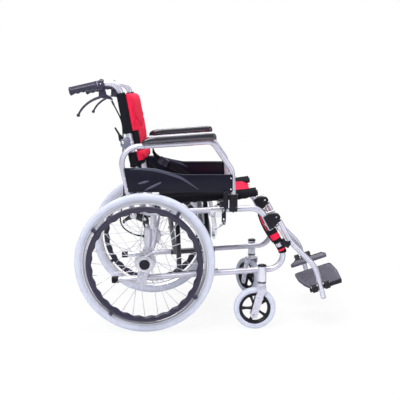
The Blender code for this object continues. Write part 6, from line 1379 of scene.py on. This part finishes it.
def footplate(side, s):
    """Moulded tread with a raised rim and fine lines, a thick outboard edge, and two lugs with the pin."""
    pin_x, pin_z = footplate_pin(side)
    place = (Matrix.Translation((pin_x, s * FRAME_HALF, pin_z)) @ Matrix.Rotation(-PLATE_PITCH, 4, "Y")
             @ Matrix.Rotation(-s * PLATE_TILT, 4, "X"))
    normal = place.to_3x3() @ UP
    depth, edge = FRAME_HALF - PLATE_GAP / 2, HANGER_TUBE / 2 + 0.0025
    outline = rounded([(-0.070, depth), (-0.066, depth * 0.66), (-0.052, depth * 0.36), (-0.030, 0.022),
                       (-0.012, edge), (0.084, edge), (0.088, depth * 0.55), (0.079, depth)],
                      [0.014, 0.030, 0.040, 0.030, 0.012, 0.014, 0.040, 0.016], radians(10))
    top, bottom = -PLATE_DROP, -PLATE_DROP - PLATE_THICKNESS

    def lay(u, v, w):
        return place @ Vector((u, -s * v, w))
    form = Form()
    form.slab(outline, bottom, top - 0.0022, 0.0022, lay=lay, steps=3)
    rim = [lay(u, v, top - 0.0020) for u, v in inset(outline, 0.0034)]
    form.run(rim, oval(0.0030, 0.0020, 12), up=normal, round_trip=True)
    inner = inset(outline, 0.0100)
    for row in range(22):
        v = 0.030 + (depth - 0.040) * row / 21
        marks = [u for u in [-0.066 + 0.002 * k for k in range(76)] if inside(inner, (u, v))]
        if len(marks) > 6:
            line = [lay(u, v, top - 0.0021) for u in (marks[0], *marks[4:-4:6], marks[-1])]
            form.run(line, oval(0.0013, 0.0010, 8), 1, up=normal)
    block = rounded([(-0.045, edge - 0.0005), (0.082, edge - 0.0005), (0.082, edge + 0.0120),
                     (-0.034, edge + 0.0140)], 0.004)
    form.slab(block, bottom - 0.0040, top + 0.0012, 0.0020, 2, lay=lay)
    lug = rounded([(-0.013, bottom + 0.002), (-0.013, 0.004), (-0.006, 0.0095), (0.006, 0.0095),
                   (0.016, top - 0.001), (0.016, bottom + 0.002)], 0.005)
    for start, end in ((-0.0340, -0.0135), (0.0135, 0.0340)):
        form.slab(lug, start, end, 0.0014, 2, lay=lambda u, v, w: place @ Vector((w, -s * u, v)))
    form.tube([place @ Vector((x, 0.0, 0.0)) for x in (-0.0355, 0.0355)], 0.006, 3)
    for way in (-1, 1):
        near, far = (place @ Vector((way * x, 0.0, 0.0)) for x in (0.0338, 0.0365))
        form.bolt(near, far, 0.0105, 3)
    piece(f"tread_{side}", form, f"foot_{side}", ["tread_plastic", "tread_plastic", "black_plastic",
                                                  "bright_steel"], [f"footplate_{side}"], sharp=30.0)


def inside(outline, point):
    """Whether a point lies in an outline."""
    x, y = point
    odd = False
    for (ax, ay), (bx, by) in zip(outline, outline[1:] + outline[:1]):
        if (ay > y) != (by > y) and x < (bx - ax) * (y - ay) / (by - ay) + ax:
            odd = not odd
    return odd


# Cross brace
def brace_arm(name, s, bars, body, pinned):
    """One arm of the scissor: pivot tube on this side, bars, and the other side's seat rail."""
    low, high = s * PIVOT_HALF, -s * PIVOT_HALF
    seat_rail = seat_rail_path(-s)
    form = Form()
    form.tube([in_brace(BRACE_FROM, low, 0.0), in_brace(BRACE_TO, low, 0.0)], BRACE_TUBE, sides=28)
    form.tube(seat_rail, FRAME_TUBE, sides=32)
    spacing = BRACE_BARS[0][0] - BRACE_BARS[1][0]
    axis = BRACE_TURN @ Vector((1.0, 0.0, 0.0))
    for x in bars:
        foot, head = in_brace(x, low, 0.0), in_brace(x, high, SEAT_RISE)
        form.tube([foot, head], BRACE_TUBE, sides=28)
        along = head - foot
        form.bead(foot + along * 0.2, -along, BRACE_TUBE / 2, foot, axis, BRACE_TUBE / 2)
        form.bead(head - along * 0.2, along, BRACE_TUBE / 2, head, axis, FRAME_TUBE / 2)
        if pinned:
            places = (x, x - spacing + BRACE_TUBE / 2 + 0.0006, x - spacing - BRACE_TUBE / 2 - 0.0006,
                      x - spacing - BRACE_TUBE / 2 - 0.0036)
            centre, washer, head, end = (in_brace(at, 0.0, SEAT_RISE / 2) for at in places)
            form.tube([centre, washer], BRACE_TUBE - 0.004, 1)
            form.tube([centre, end], 0.008, 1)
            form.bolt(head, end, 0.014, 1, sides=6)
    for path in (seat_rail[::-1], seat_rail):
        form.end_cap(path, 0.010, 0.0006, FRAME_TUBE + 0.0004, 2, 0.0016)
    piece(f"{name}_bars", form, body, ["black_paint", "bright_steel", "black_plastic"], [name])


# Soft goods
CLOTH_FRAMES = 20


def evaluated(thing):
    return bpy.data.meshes.new_from_object(thing.evaluated_get(bpy.context.evaluated_depsgraph_get()))


def swollen(form, cap, voxel=0.005):
    """The form as stuffed cloth: a simulation blows it out by up to cap, and one subdivision smooths it."""
    bmesh.ops.recalc_face_normals(form.body, faces=form.body.faces)
    mesh = bpy.data.meshes.new("stuffing")
    form.body.to_mesh(mesh)
    form.body.free()
    pad = bpy.data.objects.new("stuffing", mesh)
    scene = bpy.context.scene
    scene.collection.objects.link(pad)
    remesh = pad.modifiers.new("remesh", "REMESH")
    remesh.mode = "VOXEL"
    remesh.voxel_size = voxel
    even = pad.modifiers.new("even", "SMOOTH")
    even.iterations = 3
    pad.data = evaluated(pad)
    pad.modifiers.clear()
    start = [vertex.co.copy() for vertex in pad.data.vertices]
    cloth = pad.modifiers.new("cloth", "CLOTH")
    cloth.settings.use_pressure = True
    cloth.settings.uniform_pressure_force = 4.0
    cloth.settings.effector_weights.gravity = 0.0
    cloth.point_cache.frame_end = CLOTH_FRAMES
    for step in range(1, CLOTH_FRAMES + 1):
        scene.frame_set(step)
    blown = evaluated(pad)
    pad.modifiers.clear()
    for vertex, before, after in zip(pad.data.vertices, start, blown.vertices):
        move = after.co - before
        vertex.co = before + move * min(1.0, cap / max(move.length, 1e-6))
    scene.frame_set(1)
    smooth = pad.modifiers.new("smooth", "SUBSURF")
    smooth.levels = 1
    made = Form()
    made.body.from_mesh(evaluated(pad))
    bpy.data.objects.remove(pad, do_unlink=True)
    return made


def press(form, depth_at):
    """Moves each point in along its normal by the depth that depth_at gives for its place."""
    form.body.normal_update()
    moves = [(vertex, vertex.normal * depth_at(vertex.co)) for vertex in form.body.verts]
    for vertex, move in moves:
        vertex.co -= move


def paint_by(form, choose):
    for face in form.body.faces:
        face.material_index = choose(face.calc_center_median())


def creases(place, size=0.035, seed=0.0):
    """Soft irregular folds, from -1 to 1."""
    return noise.noise(place / size + Vector((seed, seed, seed)))


def stitches(form, path, paint, pitch=0.0052, length=0.0034, thick=0.0008):
    """A row of short threads laid along a path."""
    path = [Vector(point) for point in path]
    marks = [0.0]
    for a, b in zip(path, path[1:]):
        marks.append(marks[-1] + (b - a).length)

    def at(distance):
        for i in range(len(path) - 1):
            if distance <= marks[i + 1]:
                return path[i].lerp(path[i + 1], (distance - marks[i]) / max(1e-6, marks[i + 1] - marks[i]))
        return path[-1]
    for i in range(int(marks[-1] / pitch)):
        a, b = at(i * pitch), at(i * pitch + length)
        if (b - a).length > 0.001:
            form.tube([a, b], thick, paint, sides=6, soften=0.0002)


def seat_sag(y):
    return SEAT_SAG * (1 - (y / PIVOT_HALF) ** 2)


def on_rails(x, y, rise):
    """Point over the seat rails: across the chair, and above the rails' axes."""
    lift = max(0.0, x - SEAT_RAIL_BEND) * tan(SEAT_RAIL_TURN)
    return in_brace(x, y, SEAT_RISE + lift + rise)


def seat():
    """Red padded seat with a black rear panel, slung between black sleeves on the two seat rails."""
    rail = FRAME_TUBE / 2 + FIT
    reach = PIVOT_HALF - 0.006
    first, last = SEAT_FROM + 0.002, SEAT_RAIL_TO - 0.005
    start = Form()
    rings = []
    for i in range(25):
        share = i / 24
        thin = 0.25 + 0.75 * sqrt(max(0.0, 1 - abs(2 * share - 1) ** 12))
        x = first - 0.003 + (last - first + 0.006) * share
        top, bottom = [], []
        for k in range(33):
            y = reach * (1 - 2 * k / 32)
            edge = thin * (0.30 + 0.70 * sqrt(max(0.0, 1 - abs(y / reach) ** 10)))
            top.append(on_rails(x, y, rail + 0.0022 + 0.0042 * edge - seat_sag(y)))
            bottom.append(on_rails(x, y, rail + 0.0008 - 0.0030 * edge - seat_sag(y)))
        rings.append(top + bottom[::-1])
    start.skin(rings)
    form = swollen(start, 0.0045)
    channels = (-PIVOT_HALF / 3, PIVOT_HALF / 3)
    hem, panel = last - 0.030, 0.170

    def depth(place):
        deep = 0.0
        for y in channels:
            deep += 0.0042 * exp(-((place.y - y) / 0.0050) ** 2)
            pull = exp(-abs(place.y - y) / 0.022)
            deep += 0.0011 * pull * sin(place.x * 230.0 + 2.0 * creases(place, 0.05))
        deep += 0.0036 * exp(-((place.x - hem) / 0.0045) ** 2)
        deep += 0.0026 * exp(-((place.x - panel) / 0.0040) ** 2)
        return deep + 0.0012 * creases(place, 0.045) + 0.0005 * creases(place, 0.014, 5.0)

    def choose(place):
        under = place.z < on_rails(place.x, place.y,
                                   rail + 0.0010 - seat_sag(place.y)).z and place.x < last - 0.010
        return 1 if under or place.x < panel or abs(place.y) > PIVOT_HALF - 0.030 else 0
    paint_by(form, choose)
    press(form, depth)
    for vertex in form.body.verts:
        vertex.co.x = min(max(vertex.co.x, first + 0.003), last - 0.003)
    for y in channels:
        for out in (-0.0008, 0.0008):
            line = [on_rails(first + 0.008 + (hem - first - 0.010) * k / 30, y + out,
                             rail + 0.0038 - seat_sag(y)) for k in range(31)]
            stitches(form, line, 2)
    cloth = piece("seat_cushion", form, None, ["red_seat", "black_seat", "red_thread"], ["seat_sling"],
                  sharp=60.0, rides=False)
    ends = [Vector((0.0, side * PIVOT_HALF, 0.47)) + SHIFT for side in (-1, 1)]
    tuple(ends[0])
    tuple(ends[1])
    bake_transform(cloth)
    for side, s in SIDES:
        seat_sleeve(side, s, rail, first, last)


def seat_sleeve(side, s, rail, first, last):
    """Black sleeve over one seat rail, its flap sewn down on the cushion, and a red loop in front."""
    form = Form()
    rings = []
    stations = 64
    for i in range(stations + 1):
        x = first + (last - first) * i / stations
        near_saddle = min(abs(x - place) for place in SADDLES) < 0.0115
        lowest = -28 if near_saddle else -74
        ruck = 0.0006 * creases(Vector((x, s * 0.3, 0.0)), 0.020) + 0.0003 * creases(Vector((x, s, 0.0)),
                                                                                     0.007)
        over, under = [], []
        for k in range(15):
            angle = radians(lowest + (96 - lowest) * k / 14)
            wide = rail + 0.0024 + ruck
            over.append((PIVOT_HALF + wide * cos(angle), wide * sin(angle)))
            under.append((PIVOT_HALF + (rail + 0.0002) * cos(angle), (rail + 0.0002) * sin(angle)))
        for k in range(1, 9):
            y = PIVOT_HALF - 0.0015 - 0.046 * k / 8
            swell = 0.0108 + 0.0005 * creases(Vector((x, y * s, 1.0)), 0.018)
            swell += 0.0060 * sin(pi * k / 8) * min(1.0, max(0.0, (0.335 - x) / 0.03))
            fall = 0.0012 if k == 8 else 0.0
            over.append((y, rail + swell - seat_sag(y) - fall))
            under.append((y, rail + 0.0062 - seat_sag(y)))
        loop = over + under[::-1]
        rings.append([on_rails(x, s * y, z) for y, z in loop])
    form.skin(rings)
    for inboard in (0.040, 0.0435):
        y = PIVOT_HALF - 0.0015 - inboard
        line = [on_rails(first + 0.004 + (last - first - 0.008) * k / 40, s * y,
                         rail + 0.0112 - seat_sag(y)) for k in range(41)]
        stitches(form, line, 1)
    body = "brace_b" if s < 0 else "brace_a"
    band = piece(f"seat_band_{side}", form, body, ["black_seat", "black_thread"], sharp=55.0)
    wrap = Form()
    rings = []
    for i in range(22):
        x = 0.352 + (last - 0.352) * i / 21
        loop = []
        for angle in turns(24):
            wide = rail + 0.0018 + 0.0004 * creases(Vector((x, angle, s)), 0.012)
            if i in (0, 21):
                wide -= 0.0012
            loop.append(on_rails(x, s * (PIVOT_HALF + wide * cos(angle)), wide * sin(angle)))
        rings.append(loop)
    wrap.skin(rings)
    front_loop = piece(f"seat_loop_{side}", wrap, body, ["red_seat"], sharp=60.0)


def off_cane(z, y, out):
    """Point in front of the canes, square to them."""
    return Vector((cane(z) + out * cos(CANE_LEAN), y, z + out * sin(CANE_LEAN)))


def back_cushion(name, low, high, out, mark, flap_to, red_from, body, nodes, voxel):
    """Red padded back with black sides, rear and lower edge.

    It goes from low to high and stands out in front of the canes, with a sewn channel across it at the
    share mark of its height. Below flap_to it lies behind the canes' sleeves, and red_from is where the
    red begins.
    """
    start = Form()
    wrap = FRAME_TUBE / 2 + FIT
    rings = []
    for i in range(27):
        share = i / 26
        z = low + (high - low) * share
        fade = sqrt(max(0.0, 1 - abs(2 * share - 1) ** 7))
        fore, aft = [], []
        for k in range(41):
            y = -BACK_HALF + 0.0015 + 2 * (BACK_HALF - 0.0015) * k / 40
            edge = sqrt(max(0.0, 1 - (y / BACK_HALF) ** 8))
            thick = (out - wrap - 0.003) * (0.22 + 0.78 * fade * edge)
            rear = 0.0162 if z < flap_to else wrap + 0.0024
            fore.append(off_cane(z, y, max(wrap + 0.0010 + thick, rear + 0.0035)))
            aft.append(off_cane(z, y, rear))
        rings.append(fore + aft[::-1])
    start.skin(rings)
    form = swollen(start, 0.0045, voxel)
    seam_z = low + (high - low) * mark
    side_seam = FRAME_HALF - 0.026

    def height(place):
        out_by = (place.x - cane(place.z)) * cos(CANE_LEAN)
        return place.z - out_by * sin(CANE_LEAN), out_by

    def depth(place):
        level, out_by = height(place)
        if out_by < wrap + 0.004:
            return 0.0
        inner = abs(place.y) < side_seam
        level += 0.040 * (1 - (place.y / side_seam) ** 2)
        deep = 0.0050 * exp(-((level - seam_z) / 0.0060) ** 2) if inner else 0.0
        deep += 0.0028 * exp(-((abs(place.y) - side_seam) / 0.0042) ** 2)
        pull = exp(-abs(level - seam_z) / 0.020)
        deep += 0.0012 * pull * sin(place.y * 175.0 + 2.4 * creases(place, 0.05))
        return deep + 0.0015 * creases(place, 0.045, 3.0) + 0.0005 * creases(place, 0.014, 7.0)
    press(form, depth)

    def choose(place):
        level, out_by = height(place)
        beside = abs(place.y) > side_seam and level < flap_to + 0.012
        rear = 0.0195 if level < flap_to + 0.008 else wrap + 0.0040
        behind = out_by < rear and (level < high - 0.014 or high < FOLD_HEIGHT)
        return 1 if beside or behind or level < red_from else 0
    paint_by(form, choose)
    if high - low > 0.1:
        widths = [side_seam * (k / 20 - 1) for k in range(41)]
        outs = [wrap + 0.0020 + 0.80 * (out - wrap - 0.002) * (0.30 + 0.62 * (1 - (y / BACK_HALF) ** 8))
                for y in widths]
        form.tube([off_cane(red_from, y, reach) for y, reach in zip(widths, outs)], 0.0040, 1, sides=10)
    cloth = piece(name, form, body, ["red_back", "black_back"], nodes, sharp=60.0)
    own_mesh(cloth)


def cane_sleeve(name, s, low, high, body):
    """Black sleeve sewn round a cane, with a hem at each end and slight rucks."""
    fore = Vector((cos(CANE_LEAN), 0.0, sin(CANE_LEAN)))
    form = Form()
    rings = []
    count = 40
    for i in range(count + 1):
        share = i / count
        z = low + (high - low) * share
        hem = 0.0007 if (z - low < 0.009 or high - z < 0.009) else 0.0
        end = 0.0012 if i in (0, count) else 0.0
        ring = []
        for turn in turns(36):
            place = Vector((cos(turn) * 0.017, sin(turn) * 0.017, z))
            ruck = 0.0009 * creases(place, 0.016, s) + 0.0004 * creases(place, 0.006, s)
            wide = FRAME_TUBE / 2 + 0.0052 + ruck + hem - end
            ring.append(Vector((cane(z), s * FRAME_HALF + wide * sin(turn), z)) + fore * (wide * cos(turn)))
        rings.append(ring)
    form.skin(rings)
    for level in (low + 0.0075, high - 0.0075):
        wide = FRAME_TUBE / 2 + 0.0063
        loop = [off_cane(level, s * FRAME_HALF + wide * sin(tau * k / 24), wide * cos(tau * k / 24))
                for k in range(25)]
        stitches(form, loop, 1)
    sleeve = piece(name, form, body, ["black_back", "black_thread"], sharp=60.0)


def down_front(y, start, end, step=0.002):
    """Points of the front tube's axis between two distances down it."""
    direction = Vector((sin(FRONT_LEAN), 0.0, -cos(FRONT_LEAN)))
    mark = Vector((FRONT_MARK[0], y, FRONT_MARK[1]))
    loop = frame_loop(y)
    found = []
    for a, b in zip(loop, loop[1:]):
        pieces = max(1, int((b - a).length / step))
        for k in range(pieces):
            point = a.lerp(b, k / pieces)
            on_tube = point.x > 0.35 and point.z > LOWER_RAIL_HEIGHT + 0.035
            if on_tube and start <= (point - mark).dot(direction) <= end:
                found.append(point)
    return found


def from_front(place):
    """Distances down the front tube and in front of it, the reverse of front()."""
    x, z = place.x - FRONT_MARK[0], place.z - FRONT_MARK[1]
    return x * sin(FRONT_LEAN) - z * cos(FRONT_LEAN), x * cos(FRONT_LEAN) + z * sin(FRONT_LEAN)


def calf_strap():
    """Red padded strap behind the calves with black edges, tabs, and loops round both front tubes."""
    start = Form()
    rings = []
    for k in range(47):
        y = 0.207 * (2 * k / 46 - 1)
        out = -0.0125 - 0.006 * (1 - (y / 0.222) ** 2)
        corners = rounded([(0.009, out + 0.0002), (0.063, out + 0.0002), (0.063, out - 0.0048),
                           (0.009, out - 0.0048)], 0.002, radians(45))
        rings.append([Vector((x, y, z)) for x, z in (front(along, reach) for along, reach in corners)])
    start.skin(rings)
    form = swollen(start, 0.0022, 0.004)
    seams = (0.0175, 0.0545)

    def depth(place):
        along = from_front(place)[0]
        deep = sum(0.0016 * exp(-((along - seam) / 0.0024) ** 2) for seam in seams)
        return deep + 0.0009 * creases(place, 0.03) + 0.0004 * creases(place, 0.010, 3.0)
    press(form, depth)

    def choose(place):
        along, out = from_front(place)
        behind = out < -0.0148 - 0.006 * (1 - (place.y / 0.222) ** 2)
        return 1 if behind or not seams[0] < along < seams[1] else 0
    paint_by(form, choose)
    section = [(u * 0.0016, v * 0.0065) for u, v in rounded(oblong(-1, -1, 1, 1), 0.3)]
    for s in (-1, 1):
        tab = at_side([front(0.058 + 0.040 * k / 10, -0.0135) for k in range(11)], s * 0.2075)
        form.run(tab, section, 1, up=ACROSS)
    strap = piece("calf_pad", form, "right_frame", ["red_back", "black_back"], ["calf_strap"], sharp=60.0)
    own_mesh(strap)
    for side, s in SIDES:
        loops = Form()
        calf_loop(loops, s, 0.006, 0.062, 0.0058, (0.30, 0.70))
        calf_loop(loops, s, 0.0765, 0.1035, 0.0038, (0.36, 0.62))
        cuff = piece(f"calf_loops_{side}", loops, f"{side}_frame", ["red_back", "black_back", "black_thread"],
                     sharp=60.0)


def calf_loop(loops, s, start, end, wall, red):
    """Cloth sewn round the front tube from start to end, with a red middle on the right side only."""
    y = s * FRAME_HALF
    path = down_front(y, start, end)
    count = len(path) - 1
    first = len(loops.body.faces)
    sizes = [1.0 + 0.03 * creases(Vector((k * 0.002, y, start)), 0.006) for k in range(count + 1)]
    loops.tube(path, FRAME_TUBE + 2 * wall, 1, sides=32, soften=0.0012, scales=sizes)
    loops.body.faces.ensure_lookup_table()
    for face in loops.body.faces[first:]:
        share = (from_front(face.calc_center_median())[0] - start) / (end - start)
        if red[0] < share < red[1] and s < 0:
            face.material_index = 0
    wide = FRAME_TUBE / 2 + wall + 0.0003
    for index in (2, count - 2):
        axis = (path[min(index + 1, count)] - path[index - 1]).normalized()
        lift = axis.cross(ACROSS).normalized()
        ring = [path[index] + ACROSS * (wide * cos(tau * k / 24)) + lift * (wide * sin(tau * k / 24))
                for k in range(25)]
        stitches(loops, ring, 2, 0.0048, 0.0032, 0.0007)


def on_seat(x, y):
    rise = SEAT_RISE + FRAME_TUBE / 2 + FIT + STRAP + SEAT_PAD / 2 - seat_sag(y)
    level = LOWER_RAIL_HEIGHT + x * tan(LOWER_RAIL_SLOPE) + rise / cos(LOWER_RAIL_SLOPE)
    return Vector((x, y, level + BELT_THICKNESS / 2 + 0.0036))


def lap_belt():
    """Webbing belt from cane to cane, lying on the seat, with the squeeze buckle on its left half."""
    route = [Vector((0.008, 0.196, 0.628)), Vector((0.026, 0.188, 0.598)), Vector((0.086, 0.174, 0.562)),
             Vector((0.150, 0.154, 0.527)), Vector((0.196, 0.110, 0.489)), on_seat(0.213, 0.045),
             on_seat(0.216, 0.0), on_seat(0.213, -0.050), Vector((0.190, -0.120, 0.492)),
             Vector((0.130, -0.164, 0.527)), Vector((0.070, -0.184, 0.556)), Vector((0.006, -0.204, 0.604))]
    path = spline(route, 8)
    form = Form()
    rings, length = [], 0.0
    section = rounded(oblong(-1.0, -1.0, 1.0, 1.0), 0.35, radians(30))
    for i, place in enumerate(path):
        before, after = path[max(i - 1, 0)], path[min(i + 1, len(path) - 1)]
        ahead = after - before
        length += (place - before).length
        flat = Vector((ahead.x, ahead.y, 0.0)).normalized()
        across = BRACE_TURN @ Vector((-flat.y, flat.x, 0.0))
        share = 1.0 - min(1.0, max(0.0, abs(place.y) - 0.05) / 0.12)
        share = share * share * (3 - 2 * share)
        width = (UP * (1 - share) + across * share).normalized()
        through = ahead.normalized().cross(width).normalized()
        rings.append([place + width * (u * BELT_WIDTH / 2) + through * (v * BELT_THICKNESS / 2)
                      for u, v in section])
    form.skin(rings)
    quarter = len(section) // 4
    for edge in (-0.0105, 0.0105):
        line = []
        for ring in rings:
            centre = sum(ring, Vector()) / len(section)
            line.append(centre + (ring[quarter] - ring[-quarter]).normalized() * edge)
        stitches(form, line, 1, 0.0048, 0.0030, BELT_THICKNESS + 0.0006)
    belt = piece("belt_webbing", form, "right_frame", ["webbing", "black_thread"], ["lap_belt"], sharp=50.0)
    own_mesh(belt)
    belt_buckle(route)


def belt_buckle(route):
    """Two-piece squeeze buckle with side catches, ribs and a flat panel on each face."""
    start, end = route[1], route[2]
    turn = (end - start).normalized().to_track_quat("X", "Z").to_matrix()
    inboard = turn @ ACROSS
    sign = -1.0 if inboard.y > 0 else 1.0
    centre = start.lerp(end, 0.5) + inboard * (sign * 0.0073)

    def lay(u, v, w):
        return centre + turn @ Vector((u, w, v))
    form = Form()
    body = rounded([(-0.021, -0.0150), (0.004, -0.0160), (0.004, 0.0160), (-0.021, 0.0150)], 0.004)
    form.slab(body, -0.0055, 0.0055, 0.0020, lay=lay, steps=3)
    plug = rounded([(0.0046, -0.0152), (0.0222, -0.0140), (0.0222, 0.0140), (0.0046, 0.0152)], 0.0035)
    form.slab(plug, -0.0048, 0.0048, 0.0018, lay=lay, steps=3)
    panel = rounded(oblong(-0.015, -0.0085, -0.003, 0.0085), 0.003)
    for side in (-1, 1):
        catch = rounded([(-0.012, side * 0.0140), (0.002, side * 0.0140), (0.002, side * 0.0165),
                         (-0.012, side * 0.0162)], 0.0010)
        form.slab(catch, -0.0034, 0.0034, 0.0008, lay=lay)
        for u in [0.0085 + 0.0030 * k for k in range(4)]:
            rib = rounded(oblong(u, -0.0100, u + 0.0014, 0.0100), 0.0006)
            form.slab(rib, side * 0.0044, side * 0.0056, 0.0003, lay=lay)
        form.slab(panel, side * 0.0050, side * 0.0057, 0.0003, lay=lay)
    piece("belt_clip", form, "left_frame", ["violet_plastic"], ["belt_buckle"], sharp=40.0)


# Camera, light and floor
def studio():
    """A world that is white to the camera and dimmer as a light, with floor, lamps and camera."""
    scene = bpy.context.scene
    scene.view_settings.view_transform = "Standard"
    world = bpy.data.worlds.new("studio")
    scene.world = world
    world.use_nodes = True
    tree = world.node_tree
    lamp = tree.nodes["Background"]
    lamp.inputs["Color"].default_value = (0.93, 0.94, 1.0, 1.0)
    lamp.inputs["Strength"].default_value = 0.34
    white = node(tree, "ShaderNodeBackground", Color=(1.0, 1.0, 1.0, 1.0), Strength=1.0)
    path = node(tree, "ShaderNodeLightPath")
    mix_shaders(tree, (path, "Is Camera Ray"), lamp, white, "World Output")
    white_floor(scene)
    area_light("key", (-1.2, -2.7, 2.6), 2.0, 82.0)
    area_light("fill", (2.6, -2.2, 1.4), 2.0, 20.0)
    area_light("overhead", (0.2, -0.3, 2.9), 2.2, 62.0)
    area_light("rim", (0.2, 2.6, 2.2), 1.8, 30.0)
    camera(scene)


def mix_shaders(tree, share, first, second, output):
    """Two shaders mixed by the share that a node gives, into the output."""
    mix = node(tree, "ShaderNodeMixShader")
    link(tree, *share, mix, 0)
    link(tree, first, 0, mix, 1)
    link(tree, second, 0, mix, 2)
    link(tree, mix, "Shader", tree.nodes[output], "Surface")


def white_floor(scene):
    """Floor with the chair's soft shadow near it, fading to plain white away from it."""
    mesh = bpy.data.meshes.new("floor")
    mesh.from_pydata([(x, y, -0.0002) for x, y in oblong(-14.0, -14.0, 14.0, 14.0)], [], [(0, 1, 2, 3)])
    floor = bpy.data.objects.new("floor", mesh)
    scene.collection.objects.link(floor)
    paint = bpy.data.materials.new("floor_white")
    paint.use_nodes = True
    mesh.materials.append(paint)
    tree = paint.node_tree
    shader = tree.nodes["Principled BSDF"]
    shader.inputs["Base Color"].default_value = (0.86, 0.86, 0.88, 1.0)
    shader.inputs["Roughness"].default_value = 0.9
    glow = node(tree, "ShaderNodeEmission", Color=(1.0, 1.0, 1.0, 1.0), Strength=1.0)
    away = node(tree, "ShaderNodeVectorMath", operation="LENGTH")
    link(tree, node(tree, "ShaderNodeTexCoord"), "Object", away, 0)
    far = node(tree, "ShaderNodeMapRange")
    for name, value in (("From Min", 0.55), ("From Max", 1.60), ("To Min", 0.90), ("To Max", 1.0)):
        far.inputs[name].default_value = value
    link(tree, away, "Value", far, "Value")
    share = node(tree, "ShaderNodeMath", operation="MULTIPLY")
    link(tree, node(tree, "ShaderNodeLightPath"), "Is Camera Ray", share, 0)
    link(tree, far, "Result", share, 1)
    mix_shaders(tree, (share, "Value"), shader, glow, "Material Output")


def area_light(name, place, size, power):
    data = bpy.data.lights.new(name, "AREA")
    data.shape = "DISK"
    data.size = size
    data.energy = power
    lamp = bpy.data.objects.new(name, data)
    lamp.location = Vector(place) + SHIFT
    aim = Vector((0.15, 0.0, 0.45)) - Vector(place)
    lamp.rotation_euler = aim.to_track_quat("-Z", "Y").to_euler()
    bpy.context.scene.collection.objects.link(lamp)


def camera(scene):
    """The photograph's camera, fitted to points of the wheels, casters and tubes."""
    yaw, pitch, roll = -0.0124, 0.1375, 0.0006
    data = bpy.data.cameras.new("photo_camera")
    data.lens = 72.87
    data.sensor_width = 36.0
    data.clip_end = 60.0
    ahead = Vector((-sin(yaw), cos(yaw), 0.0))
    right = Vector((cos(yaw), sin(yaw), 0.0))
    forward = ahead * cos(pitch) - Vector((0.0, 0.0, sin(pitch)))
    up = Vector((0.0, 0.0, cos(pitch))) + ahead * sin(pitch)
    side = right * cos(roll) + up * sin(roll)
    top = up * cos(roll) - right * sin(roll)
    turn = Matrix((side, top, -forward)).transposed()
    eye = bpy.data.objects.new("photo_camera", data)
    eye.matrix_world = Matrix.Translation(Vector((0.1632, -3.1545, 0.8801)) + SHIFT) @ turn.to_4x4()
    scene.collection.objects.link(eye)
    scene.camera = eye


studio()
for SIDE, SIGN in SIDES:
    side_frame(SIDE, SIGN)
    upper_back_metal(SIDE, SIGN)
    brake_cable(SIDE, SIGN)
    rear_wheel(SIDE, SIGN)
    caster(SIDE, SIGN)
    armrest(SIDE, SIGN)
    arm_mounts(SIDE, SIGN)
    parking_brake(SIDE, SIGN)
    hanger(SIDE, SIGN)
brace_arm("brace_arm_a", -1.0, BRACE_BARS[0], "brace_a", True)
brace_arm("brace_arm_b", 1.0, BRACE_BARS[1], "brace_b", False)
seat()
back_cushion("back_cushion_upper", UPPER_BACK_FROM, UPPER_BACK_TO, out=PAD_OUT + 0.003, mark=0.53,
             flap_to=SLEEVE_FROM - 0.006, red_from=UPPER_BACK_FROM + 0.010, body="back_right",
             nodes=["back_upholstery_upper"], voxel=0.005)
back_cushion("back_cushion_lower", LOWER_BACK_FROM, LOWER_BACK_TO, out=PAD_OUT + 0.004, mark=0.5,
             flap_to=0.0, red_from=0.617, body="right_frame", nodes=["back_upholstery_lower"], voxel=0.004)
for SIDE, SIGN in SIDES:
    cane_sleeve(f"sleeve_upper_{SIDE}", SIGN, SLEEVE_FROM, UPPER_BACK_TO, f"back_{SIDE}")
    cane_sleeve(f"sleeve_lower_{SIDE}", SIGN, LOWER_BACK_FROM, LOWER_BACK_TO, f"{SIDE}_frame")
calf_strap()
lap_belt()
